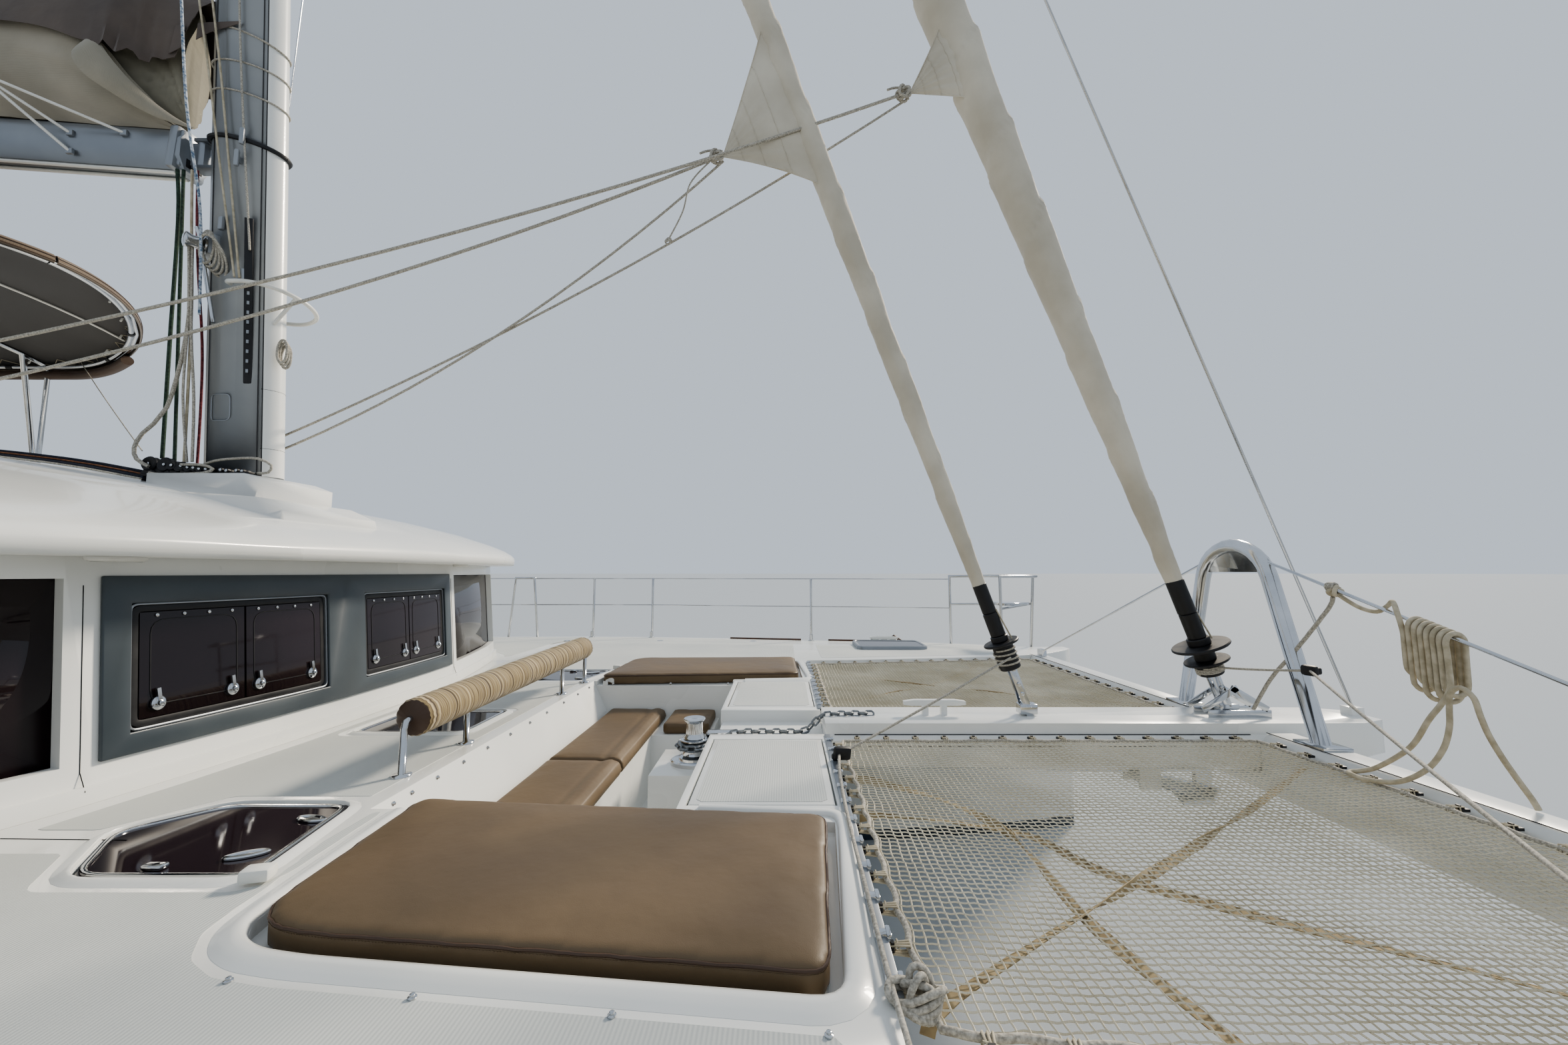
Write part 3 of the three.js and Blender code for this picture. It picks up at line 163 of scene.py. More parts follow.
# columns: both ends of its blotches and their size in m, least and most roughness, size and depth in m
# of its unevenness, and what else the shader needs
finishes = {
    # sprayed polyester gelcoat: white, hard and glossy, with a little orange peel
    "polyester_gelcoat": ("#DFE0DC", "#E9E9E5", 1.1, 0.2, 0.34, 0.04, 0.00008, {"Coat Weight": 0.25}),
    # moulded slate grey gelcoat: satin, with faint streaks of salt
    "slate_gelcoat": ("#3F474D", "#4A5257", 0.5, 0.3, 0.45, 0.05, 0.00006, {}),
    # tinted cast acrylic: near black with a plum cast, a clear mirror at low angles
    "tinted_acrylic": ("#1D1619", "#2C2226", 0.8, 0.03, 0.07, 0.5, 0.00008, {"IOR": 1.49}),
    # anodised aluminium: matt silver grey, slightly streaked
    "anodised_aluminium": ("#8E9399", "#A4A8AC", 0.6, 0.34, 0.46, 0.03, 0.00005, {"Metallic": 0.65}),
    # electropolished stainless steel: bright, with soft smears
    "polished_stainless": ("#BFC2C6", "#D2D4D6", 0.15, 0.08, 0.2, 0.02, 0.00002, {"Metallic": 1.0}),
    # glass filled nylon: black, dulled by the sun
    "black_nylon": ("#131315", "#202023", 0.06, 0.4, 0.6, 0.003, 0.00005, {}),
    # galvanised steel chain: dull grey zinc
    "galvanised_steel": ("#6F7377", "#989B9D", 0.02, 0.35, 0.6, 0.004, 0.0001, {"Metallic": 0.8}),
    # oiled teak strip: dark brown
    "oiled_teak": ("#3E2A1F", "#5D4130", 0.05, 0.5, 0.7, 0.006, 0.0001, {}),
    # manganese bronze of the propellers: yellow brown, cast then polished
    "cast_bronze": ("#7D6430", "#957A45", 0.08, 0.25, 0.45, 0.01, 0.0001, {"Metallic": 1.0}),
    # antifouling paint: matt blue black, rolled on
    "antifouling_paint": ("#2C3540", "#3B4653", 0.3, 0.65, 0.85, 0.02, 0.0002, {}),
    # high pressure laminate of the tables: pale oak print, satin
    "wood_laminate": ("#9C7A55", "#B8946C", 0.12, 0.35, 0.5, 0.01, 0.00004, {}),
    # enamelled engine block: grey, oily
    "engine_enamel": ("#5F666A", "#747B7F", 0.1, 0.4, 0.6, 0.02, 0.0002, {"Metallic": 0.2}),
    # white moulded plastic of lights and vents: smooth, a little yellowed
    "white_plastic": ("#DAD9D2", "#E4E3DD", 0.1, 0.3, 0.42, 0.01, 0.00003, {}),
    # furled polyester sail with its sun strip: warm cream, dulled, gently crumpled
    "polyester_sailcloth": ("#BDB5A4", "#D3CCBC", 0.35, 0.75, 0.9, 0.05, 0.002, {"Sheen Weight": 0.15}),
    # stowed polyester sail: grey brown laminate, creased, its colour darkened as painted shade
    "shaded_stowed_sailcloth": ("#6E6A5C", "#8F8A7A", 0.3, 0.6, 0.8, 0.04, 0.002, {"Sheen Weight": 0.1}),
    # acrylic canvas of the sail cover: dark taupe, matt
    "cover_canvas": ("#4D443F", "#62574F", 0.3, 0.8, 0.95, 0.06, 0.002, {"Sheen Weight": 0.2}),
    # polyester webbing: pale, coarse and dusty
    "polyester_webbing": ("#A99F88", "#C6BDA8", 0.03, 0.8, 0.95, 0.004, 0.0004, {}),
    # webbing under the nets: a darker, browner copy of the pale webbing
    "net_webbing": ("#8F7F62", "#AE9F80", 0.05, 0.8, 0.95, 0.004, 0.0004, {}),
    # braided polyester rope: pale grey with darker flecks, which show as small spots
    "braided_polyester": ("#8F8A80", "#C3BEB2", 0.006, 0.75, 0.9, 0.005, 0.0008, {}),
    # dark braided halyards: green, red and blue covers faded to near black
    "green_braid": ("#1B2C22", "#3C5142", 0.012, 0.75, 0.9, 0.005, 0.0006, {}),
    "red_braid": ("#5A2028", "#8A4A4E", 0.012, 0.75, 0.9, 0.005, 0.0006, {}),
    "blue_braid": ("#4A6480", "#CDD3D8", 0.012, 0.75, 0.9, 0.005, 0.0006, {}),
    # tails of the halyards: navy and rust covers
    "dark_braid": ("#171B26", "#2B3040", 0.012, 0.75, 0.9, 0.005, 0.0006, {}),
    "teak_braid": ("#6E4630", "#94694C", 0.012, 0.75, 0.9, 0.005, 0.0006, {}),
}
slotFinish = {
    "gelcoat": "polyester_gelcoat", "slate": "slate_gelcoat", "glass": "tinted_acrylic",
    "alloy": "anodised_aluminium", "steel": "polished_stainless", "black": "black_nylon",
    "bronze": "cast_bronze", "antifoul": "antifouling_paint", "laminate": "wood_laminate",
    "engine": "engine_enamel",
}


def addBump(tree, height, depth, below=None):
    bump = addNode(tree, "ShaderNodeBump", {"Strength": 1.0, "Distance": depth}, {"Height": height})
    if below:
        tree.links.new(below, bump.inputs["Normal"])
    return bump.outputs["Normal"]


# the common build of a finish: blotched colour, patchy gloss and a soft relief
def makeFinish(name, values=None):
    first, second, blotch, least, most, size, depth, more = values or finishes[name]
    material = bpy.data.materials.new(name)
    material.use_nodes = True
    tree = material.node_tree
    shader = tree.nodes["Principled BSDF"]
    for socket, value in more.items():
        shader.inputs[socket].default_value = value
    place = addNode(tree, "ShaderNodeTexCoord").outputs["Object"]
    blotches = addNode(tree, "ShaderNodeTexNoise", {"Scale": 1 / blotch, "Detail": 4.0}, {"Vector": place})
    ramp = addNode(tree, "ShaderNodeValToRGB", links={"Fac": blotches.outputs["Fac"]})
    for stop, at, colour in zip(ramp.color_ramp.elements, (0.35, 0.65), (first, second)):
        stop.position = at
        stop.color = linear(colour)
    tree.links.new(ramp.outputs["Color"], shader.inputs["Base Color"])
    gloss = addNode(tree, "ShaderNodeMapRange",
        {"From Min": 0.3, "From Max": 0.7, "To Min": least, "To Max": most},
        {"Value": blotches.outputs["Fac"]})
    tree.links.new(gloss.outputs["Result"], shader.inputs["Roughness"])
    relief = addNode(tree, "ShaderNodeTexNoise", {"Scale": 1 / size, "Detail": 3.0}, {"Vector": place})
    tree.links.new(addBump(tree, relief.outputs["Fac"], depth), shader.inputs["Normal"])
    return material


def nodesOf(material):
    tree = material.node_tree
    kinds = {node.bl_idname: node for node in tree.nodes}
    return tree, tree.nodes["Principled BSDF"], kinds["ShaderNodeTexCoord"].outputs["Object"]


# gelcoat of the hulls: white, with antifouling paint up to a hand's breadth over the waterline
def hullFinish():
    material = makeFinish("polyester_gelcoat")
    material.name = "hull_gelcoat"
    tree, shader, place = nodesOf(material)
    height = addNode(tree, "ShaderNodeSeparateXYZ", links={"Vector": place}).outputs["Z"]
    white = shader.inputs["Base Color"].links[0].from_socket
    under = addNode(tree, "ShaderNodeMath", {1: 0.09}, {0: height}, operation="LESS_THAN")
    painted = addNode(tree, "ShaderNodeMix", {7: linear("#333E4A")}, {0: under.outputs[0], 6: white},
        data_type="RGBA")
    tree.links.new(painted.outputs[2], shader.inputs["Base Color"])
    return material


# moulded non-skid: pale grey gelcoat with fine ribs. Their real pitch of 3 mm wouldn't show, so
# they are drawn at 8 mm.
def nonSkidFinish():
    material = makeFinish("nonskid_gelcoat", ("#BFC2BF", "#C9CBC7", 0.7, 0.5, 0.65, 0.02, 0.0001, {}))
    tree, shader, place = nodesOf(material)
    below = shader.inputs["Normal"].links[0].from_socket
    ribs = addNode(tree, "ShaderNodeTexWave", {"Scale": 1 / 0.008 / 3.18, "Distortion": 0.4, "Detail": 1.0},
        {"Vector": place}, bands_direction="X")
    tree.links.new(addBump(tree, ribs.outputs["Fac"], 0.0004, below), shader.inputs["Normal"])
    return material


# coated vinyl of the sunpads: taupe, satin, with a leather grain and long soft creases
def vinylFinish(name, colours, crease):
    material = makeFinish(name, (*colours, 0.45, 0.42, 0.58, 0.11, crease, {}))
    tree, shader, place = nodesOf(material)
    below = shader.inputs["Normal"].links[0].from_socket
    grain = addNode(tree, "ShaderNodeTexVoronoi", {"Scale": 1 / 0.0022}, {"Vector": place})
    tree.links.new(addBump(tree, grain.outputs["Distance"], 0.00012, below), shader.inputs["Normal"])
    return material


# woven acrylic: a plain weave. Its real threads of 0.5 mm wouldn't show, so they are 3 mm here.
def wovenFinish(name, colours, thread):
    material = makeFinish(name, (*colours, 0.4, 0.8, 0.95, 0.12, 0.0015, {"Sheen Weight": 0.25}))
    tree, shader, place = nodesOf(material)
    below = shader.inputs["Normal"].links[0].from_socket
    for direction in ("X", "Y"):
        threads = addNode(tree, "ShaderNodeTexWave", {"Scale": 1 / thread / 3.18}, {"Vector": place},
            bands_direction=direction)
        below = addBump(tree, threads.outputs["Fac"], 0.00025, below)
    tree.links.new(below, shader.inputs["Normal"])
    return material


# ring-striped acrylic of the backrest roll: tan, sand and brown rings across its length, partly the cover's
# stripes and partly painted shade and highlight on its gathers
def stripedFinish():
    material = makeFinish("striped_acrylic_gather_shade", ("#8D795B", "#A08B6B", 0.2, 0.7, 0.85, 0.03, 0.0012,
        {"Sheen Weight": 0.3}))
    tree, shader, place = nodesOf(material)
    tan = shader.inputs["Base Color"].links[0].from_socket
    along = addNode(tree, "ShaderNodeSeparateXYZ", links={"Vector": place}).outputs["Y"]
    onlyY = addNode(tree, "ShaderNodeCombineXYZ", links={"Y": along}).outputs["Vector"]
    below = shader.inputs["Normal"].links[0].from_socket
    bands = addNode(tree, "ShaderNodeTexNoise", {"Scale": 1 / 0.015, "Detail": 2.0, "Roughness": 0.6},
        {"Vector": onlyY})
    ramp = addNode(tree, "ShaderNodeValToRGB", links={"Fac": bands.outputs["Fac"]})
    # the darkest and lightest stops paint shade and highlight on the gathers, whose relief the same bands
    # give below
    stops = [(0.38, "#3E3020"), (0.44, "#7D6A4A"), (0.5, "#A29066"), (0.54, "#6A583C"), (0.6, "#C2B18C")]
    while len(ramp.color_ramp.elements) < len(stops):
        ramp.color_ramp.elements.new(0.5)
    for stop, (at, colour) in zip(ramp.color_ramp.elements, stops):
        stop.position = at
        stop.color = linear(colour)
    striped = addNode(tree, "ShaderNodeMix", {0: 0.9}, {6: tan, 7: ramp.outputs["Color"]}, data_type="RGBA")
    tree.links.new(striped.outputs[2], shader.inputs["Base Color"])
    tree.links.new(addBump(tree, bands.outputs["Fac"], 0.012, below), shader.inputs["Normal"])
    return material


# the bimini's woven acrylic, with painted shade: its colour darkens where it faces down
def awningFinish():
    material = wovenFinish("awning_acrylic_shaded_below", ("#6A5C4E", "#7A6B5B"), 0.003)
    tree, shader, _ = nodesOf(material)
    upper = shader.inputs["Base Color"].links[0].from_socket
    # painted shade: faces that turn down take the dark colour #2E2A27 in place of the cloth's own
    normal = addNode(tree, "ShaderNodeNewGeometry").outputs["True Normal"]
    height = addNode(tree, "ShaderNodeSeparateXYZ", links={"Vector": normal}).outputs["Z"]
    down = addNode(tree, "ShaderNodeMapRange", {"From Min": -0.25, "From Max": -0.75}, {"Value": height})
    both = addNode(tree, "ShaderNodeMix", {7: linear("#2E2A27")}, {0: down.outputs["Result"], 6: upper},
        data_type="RGBA")
    tree.links.new(both.outputs[2], shader.inputs["Base Color"])
    return material


looks = {name: makeFinish(name) for name in finishes}
looks["hull_gelcoat"] = hullFinish()
looks["nonskid_gelcoat"] = nonSkidFinish()
looks["marine_vinyl"] = vinylFinish("marine_vinyl", ("#625038", "#6F5D45"), 0.0035)
looks["shaded_vinyl"] = vinylFinish("shaded_vinyl", ("#46342A", "#544234"), 0.002)
looks["awning_acrylic_shaded_below"] = awningFinish()
looks["bag_acrylic"] = wovenFinish("bag_acrylic", ("#938D7E", "#ABA394"), 0.004)
looks["striped_acrylic_gather_shade"] = stripedFinish()
looks["net_cord"] = wovenFinish("net_cord", ("#C2B89F", "#DDD5C0"), 0.004)
print("finishes done,", len(looks))

# tools for making pieces

# a look and the material slot it goes in
stainless = ("polished_stainless", "steel")
aluminium = ("anodised_aluminium", "alloy")
nylon = ("black_nylon", "black")
braid = ("braided_polyester", "canvas")
bothSides = (("starboard", -1), ("port", 1))


def meshFrom(name, corners, faces, edges=()):
    data = bpy.data.meshes.new(name)
    data.from_pydata([tuple(corner) for corner in corners], list(edges), [tuple(face) for face in faces])
    data.validate()
    return data


# dress a finished mesh as a piece: look, smooth shading and its body
def addPiece(name, data, look, slotName, body="root", angle=35, stands=()):
    piece = addObject(name, data)
    data.materials.clear()
    data.materials.append(looks[look])
    data.shade_smooth()
    data.set_sharp_from_angle(angle=radians(angle))
    for node in stands:
        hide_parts(node)
    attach(piece, body)
    return piece


def evaluated(piece):
    result = bpy.data.meshes.new_from_object(piece.evaluated_get(bpy.context.evaluated_depsgraph_get()))
    piece.modifiers.clear()
    old = piece.data
    piece.data = result
    bpy.data.meshes.remove(old)
    return result


# the mesh of a piece with its modifiers applied, whose object then goes
def finished(piece):
    data = evaluated(piece)
    bpy.data.objects.remove(piece)
    return data


# weld and fill a mesh where asked, and turn its faces outwards
def cleaned(data, weld=0.0, fill=False):
    mesh = bmesh.new()
    mesh.from_mesh(data)
    if weld:
        bmesh.ops.remove_doubles(mesh, verts=mesh.verts, dist=weld)
    if fill:
        bmesh.ops.holes_fill(mesh, edges=[e for e in mesh.edges if e.is_boundary], sides=0)
    bmesh.ops.recalc_face_normals(mesh, faces=mesh.faces)
    mesh.to_mesh(data)
    mesh.free()
    return data


def mergedMesh(node):
    mesh = bmesh.new()
    mesh.from_mesh(frame["nodes"][node].data)
    bmesh.ops.remove_doubles(mesh, verts=mesh.verts, dist=2e-5)
    data = bpy.data.meshes.new(node)
    mesh.to_mesh(data)
    mesh.free()
    return data


# columns: width of the rounding in m, angle in degrees past which an edge stays sharp
rounding = {
    "hull_port": (0.012, 40), "hull_starboard": (0.012, 40), "bridgedeck": (0.014, 40),
    "coachroof_walls": (0.006, 30), "roof": (0.0, 32), "front_window_surround": (0.005, 30),
    "crossbeam": (0.012, 40), "longeron": (0.01, 40), "helm_console": (0.02, 30),
    "locker_lid_port": (0.004, 30), "locker_lid_starboard": (0.004, 30),
    "engine_lid_port": (0.006, 30), "engine_lid_starboard": (0.006, 30),
    "saloon_table": (0.006, 30), "cockpit_table": (0.006, 30), "anchor": (0.004, 30),
    "boom": (0.01, 40), "engine_port": (0.012, 40), "engine_starboard": (0.012, 40),
    "saloon_door": (0.004, 30),
}


def dressNode(node, look=None):
    width, angle = rounding.get(node, (0.0, 40))
    piece = addObject(node + "_skin", mergedMesh(node))
    if width:
        flat = bmesh.new()
        flat.from_mesh(piece.data)
        bmesh.ops.dissolve_limit(flat, angle_limit=radians(0.6), verts=flat.verts, edges=flat.edges)
        flat.to_mesh(piece.data)
        flat.free()
        bevel = piece.modifiers.new("rounding", "BEVEL")
        bevel.width = width
        bevel.segments = 2
        bevel.limit_method = "ANGLE"
        bevel.angle_limit = radians(50)
        evaluated(piece)
    data = piece.data
    bpy.data.objects.remove(piece)
    slotName = slotOf[node]
    return addPiece(node + "_skin", data, look or slotFinish[slotName], slotName,
        frame["nodes"][node]["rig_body"], angle, [node])


softNodes = ["bench_cushion", "port_seat_pad", "bolster", "aft_cushion", "saloon_settee", "sunpad_port",
             "sunpad_starboard", "trampoline_port", "trampoline_starboard", "staysail_furled",
             "genoa_furled", "mainsail_stack", "bimini_canopy", "windlass", "windlass_capstan",
             "staysail_furler", "genoa_furler"]
for node in frame["nodes"]:
    if node in softNodes:
        continue
    dressNode(node, "hull_gelcoat" if node.startswith("hull_") else None)
print("hard nodes dressed")


def placed(data, at, zAxis=(0, 0, 1), xAxis=(1, 0, 0)):
    z = Vector(zAxis).normalized()
    x = Vector(xAxis)
    x = (x - z * x.dot(z))
    x = x.normalized() if x.length > 1e-6 else z.orthogonal().normalized()
    turn = Matrix((x, z.cross(x), z)).transposed().to_4x4()
    data.transform(Matrix.Translation(Vector(at)) @ turn)
    return data


def joinedMesh(name, meshes):
    whole = bmesh.new()
    for data in meshes:
        whole.from_mesh(data)
    bmesh.ops.recalc_face_normals(whole, faces=whole.faces)
    data = bpy.data.meshes.new(name)
    whole.to_mesh(data)
    whole.free()
    return data


def softBox(name, size, at, radius=0.004, zAxis=(0, 0, 1), xAxis=(1, 0, 0)):
    x, y, z = (s / 2 for s in size)
    piece = addObject(name, boxMesh(name, (-x, x, -y, y, -z, z)))
    bevel = piece.modifiers.new("rounding", "BEVEL")
    bevel.width = min(radius, 0.45 * min(size))
    bevel.segments = 2
    return placed(finished(piece), at, zAxis, xAxis)


# a line from a to b, hanging a little below the straight
def taut(a, b, sag=0.0, steps=16):
    a, b = Vector(a), Vector(b)
    return [a.lerp(b, i / steps) - Vector((0, 0, 4 * sag * i / steps * (1 - i / steps)))
        for i in range(steps + 1)]


def smoothPath(points, step=0.02):
    points = [Vector(p) for p in points]
    result = []
    for i in range(len(points) - 1):
        p0 = points[max(0, i - 1)]
        p1, p2 = points[i], points[i + 1]
        p3 = points[min(len(points) - 1, i + 2)]
        count = max(2, round((p2 - p1).length / step))
        for k in range(count):
            t = k / count
            result.append(0.5 * ((2 * p1) + (p2 - p0) * t + (2 * p0 - 5 * p1 + 4 * p2 - p3) * t ** 2
                + (3 * p1 - p0 - 3 * p2 + p3) * t ** 3))
    return result + [points[-1]]


# turns of rope tangled round a point, as a knot
def knotPath(at, size, turns=3, seed=0.0):
    points = []
    for i in range(turns * 16 + 1):
        a = i / 16 * 2 * pi
        points.append(Vector(at) + size * Vector((cos(a) * (0.75 + 0.25 * cos(a * 0.66 + seed)),
            0.7 * sin(a * 0.66 + seed), sin(a) * (0.7 + 0.3 * sin(a * 0.5 + seed)))))
    return points


# padded pieces

padding = {
    "voxel": 0.0135,
    "pressure": 4.0,
    "frames": 20,
    "weltRadius": 0.0035,
    "stitch": 0.007,
}


# the closed form between a level outline and the same outline higher up
def slab(outline, low, high):
    count = len(outline)
    corners = [(x, y, low) for x, y in outline] + [(x, y, high) for x, y in outline]
    faces = [tuple(range(count))[::-1], tuple(range(count, 2 * count))]
    faces += [(i, (i + 1) % count, count + (i + 1) % count, count + i) for i in range(count)]
    return corners, faces


def outlineOf(node):
    mesh = frame["nodes"][node].data
    top = max(vertex.co.z for vertex in mesh.vertices)
    points = {(round(v.co.x, 4), round(v.co.y, 4)) for v in mesh.vertices if v.co.z > top - 1e-4}
    middle = sum((Vector(p) for p in points), Vector((0, 0))) / len(points)
    return sorted(points, key=lambda p: atan2(p[1] - middle.y, p[0] - middle.x))


# remesh, blow up as cloth with its movement capped, and smooth once
def plump(name, corners, faces, cap, voxel, floorZ=None):
    piece = addObject(name, cleaned(meshFrom(name, corners, faces)))
    remesh = piece.modifiers.new("voxels", "REMESH")
    remesh.mode = "VOXEL"
    remesh.voxel_size = voxel
    evaluated(piece)
    count = len(piece.data.vertices)
    rest = np.empty(count * 3)
    piece.data.vertices.foreach_get("co", rest)
    rest = rest.reshape(-1, 3)
    cloth = piece.modifiers.new("filling", "CLOTH")
    cloth.settings.use_pressure = True
    cloth.settings.uniform_pressure_force = padding["pressure"]
    cloth.settings.effector_weights.gravity = 0
    cloth.settings.quality = 3
    for step in range(1, padding["frames"] + 1):
        bpy.context.scene.frame_set(step)
    evaluated(piece)
    bpy.context.scene.frame_set(1)
    swollen = np.empty(count * 3)
    piece.data.vertices.foreach_get("co", swollen)
    shift = swollen.reshape(-1, 3) - rest
    far = np.linalg.norm(shift, axis=1, keepdims=True)
    place = rest + shift * np.minimum(1.0, cap / np.maximum(far, 1e-9))
    if floorZ is not None:
        place[:, 2] = np.maximum(place[:, 2], floorZ)
    piece.data.vertices.foreach_set("co", place.ravel())
    finer = piece.modifiers.new("finer", "SUBSURF")
    finer.levels = 1
    finer.render_levels = 1
    return finished(piece)


def shrunk(outline, by):
    points = [Vector(p) for p in outline]
    area = sum(a.x * b.y - b.x * a.y for a, b in zip(points, points[1:] + points[:1]))
    sense = 1 if area > 0 else -1
    result = []
    for i, point in enumerate(points):
        before = (point - points[i - 1]).normalized()
        after = (points[(i + 1) % len(points)] - point).normalized()
        normal = (Vector((-before.y, before.x)) + Vector((-after.y, after.x))).normalized()
        normal *= sense * by / max(0.35, normal.dot(Vector((-after.y, after.x))))
        result.append(tuple(point + normal))
    return result


def rounded(outline, radius, steps=4):
    points = [Vector(p) for p in outline]
    result = []
    for i, point in enumerate(points):
        before = points[i - 1] - point
        after = points[(i + 1) % len(points)] - point
        reach = min(radius, before.length * 0.45, after.length * 0.45)
        start = point + before.normalized() * reach
        end = point + after.normalized() * reach
        for step in range(steps + 1):
            t = step / steps
            result.append(tuple(start * (1 - t) ** 2 + point * 2 * t * (1 - t) + end * t ** 2))
    return result


def ellipse(halfX, halfY, count, x=0.0, y=0.0):
    angles = [i / count * 2 * pi for i in range(count)]
    return [(x + halfX * cos(a), y + halfY * sin(a)) for a in angles]


# a low closed form: the same outline at several heights, drawn in as far as each one says
def stepped(name, outline, steps):
    rows = [[(x, y, z) for x, y in (shrunk(outline, by) if by else outline)] for by, z in steps]
    return gridMesh(name, rows, around=True, caps=True)


# points every so often along a path of corners
def spaced(points, step, closed=False):
    points = [Vector(p) for p in points]
    if closed:
        points.append(points[0])
    result = []
    for a, b in zip(points, points[1:]):
        count = max(1, round((b - a).length / step))
        result += [a.lerp(b, i / count) for i in range(count)]
    return result if closed else result + [points[-1]]


# tubes and repeated shapes, by Geometry Nodes


# starts a group: its tree, its sockets' identifiers by name, and the outputs of its input node
def startGroup(name, sockets):
    tree = bpy.data.node_groups.new(name, "GeometryNodeTree")
    tree.is_modifier = True
    inputs = {}
    for label, kind, default in (*sockets, ("Material", "Material", None)):
        socket = tree.interface.new_socket(name=label, in_out="INPUT", socket_type="NodeSocket" + kind)
        if default is not None:
            socket.default_value = default
        inputs[label] = socket.identifier
    tree.interface.new_socket(name="Mesh", in_out="OUTPUT", socket_type="NodeSocketGeometry")
    return tree, inputs, addNode(tree, "NodeGroupInput").outputs


def endGroup(tree, geometry, material):
    real = addNode(tree, "GeometryNodeRealizeInstances", links={"Geometry": geometry})
    dressed = addNode(tree, "GeometryNodeSetMaterial",
        links={"Geometry": real.outputs["Geometry"], "Material": material})
    addNode(tree, "NodeGroupOutput", links={"Mesh": dressed.outputs["Geometry"]})


def attribute(tree, name, kind):
    node = addNode(tree, "GeometryNodeInputNamedAttribute", {"Name": name}, data_type=kind)
    return node.outputs["Attribute"]


# a tube along every line of a mesh, as thick as its "radius" attribute, with a little unevenness
def tubeGroup():
    tree, inputs, source = startGroup("tube_along_lines",
        [("Lines", "Geometry", None), ("Sides", "Int", 8), ("Wobble", "Float", 0.0),
        ("Wave length", "Float", 0.2)])
    place = addNode(tree, "GeometryNodeInputPosition").outputs["Position"]
    scale = addNode(tree, "ShaderNodeMath", {0: 1.0}, {1: source["Wave length"]}, operation="DIVIDE")
    waves = addNode(tree, "ShaderNodeTexNoise", {"Detail": 1.0}, {"Vector": place, "Scale": scale.outputs[0]})
    centred = addNode(tree, "ShaderNodeVectorMath", {1: (0.5, 0.5, 0.5)}, {0: waves.outputs["Color"]},
        operation="SUBTRACT")
    shift = addNode(tree, "ShaderNodeVectorMath", links={0: centred.outputs[0], "Scale": source["Wobble"]},
        operation="SCALE")
    moved = addNode(tree, "GeometryNodeSetPosition",
        links={"Geometry": source["Lines"], "Offset": shift.outputs[0]})
    curve = addNode(tree, "GeometryNodeMeshToCurve", links={"Mesh": moved.outputs["Geometry"]})
    radius = attribute(tree, "radius", "FLOAT")
    thick = addNode(tree, "GeometryNodeSetCurveRadius",
        links={"Curve": curve.outputs["Curve"], "Radius": radius})
    ring = addNode(tree, "GeometryNodeCurvePrimitiveCircle", {"Radius": 1.0}, {"Resolution": source["Sides"]})
    tube = addNode(tree, "GeometryNodeCurveToMesh", {"Fill Caps": True},
        {"Curve": thick.outputs["Curve"], "Profile Curve": ring.outputs["Curve"]})
    if "Scale" in tube.inputs:
        tree.links.new(radius, tube.inputs["Scale"])
    endGroup(tree, tube.outputs["Mesh"], source["Material"])
    return tree, inputs


# a small shape at every point of a mesh, turned by its "turn" attribute and sized by its "size"
def scatterGroup():
    tree, inputs, source = startGroup("shape_at_points",
        [("Points", "Geometry", None), ("Shape", "Object", None)])
    shape = addNode(tree, "GeometryNodeObjectInfo", links={"Object": source["Shape"]})
    rotation = addNode(tree, "FunctionNodeEulerToRotation",
        links={"Euler": attribute(tree, "turn", "FLOAT_VECTOR")})
    copies = addNode(tree, "GeometryNodeInstanceOnPoints",
        links={"Points": source["Points"], "Instance": shape.outputs["Geometry"],
        "Rotation": rotation.outputs["Rotation"], "Scale": attribute(tree, "size", "FLOAT_VECTOR")})
    endGroup(tree, copies.outputs["Instances"], source["Material"])
    return tree, inputs


tubes = tubeGroup()
scatter = scatterGroup()


def throughGroup(piece, group, look, values):
    tree, inputs = group
    modifier = piece.modifiers.new("nodes", "NODES")
    modifier.node_group = tree
    for label, value in {**values, "Material": looks[look]}.items():
        modifier[inputs[label]] = value
    return finished(piece)


# lines: [(points, radius)], where a radius is a number or one for each point
def tubeMesh(name, lines, look, sides=8, wobble=0.0, wave=0.2, closed=False):
    corners, edges, radii = [], [], []
    for points, radius in lines:
        first = len(corners)
        corners += [tuple(point) for point in points]
        radii += list(radius) if hasattr(radius, "__len__") else [radius] * len(points)
        edges += [(i, i + 1) for i in range(first, len(corners) - 1)]
        if closed:
            edges.append((len(corners) - 1, first))
    data = meshFrom(name, corners, [], edges)
    data.attributes.new("radius", "FLOAT", "POINT").data.foreach_set("value", radii)
    return throughGroup(addObject(name, data), tubes, look,
        {"Sides": sides, "Wobble": wobble, "Wave length": wave})


def addTubes(name, lines, look, slotName, body="root", stands=(), **more):
    return addPiece(name, tubeMesh(name, lines, look, **more), look, slotName, body, 60, stands)


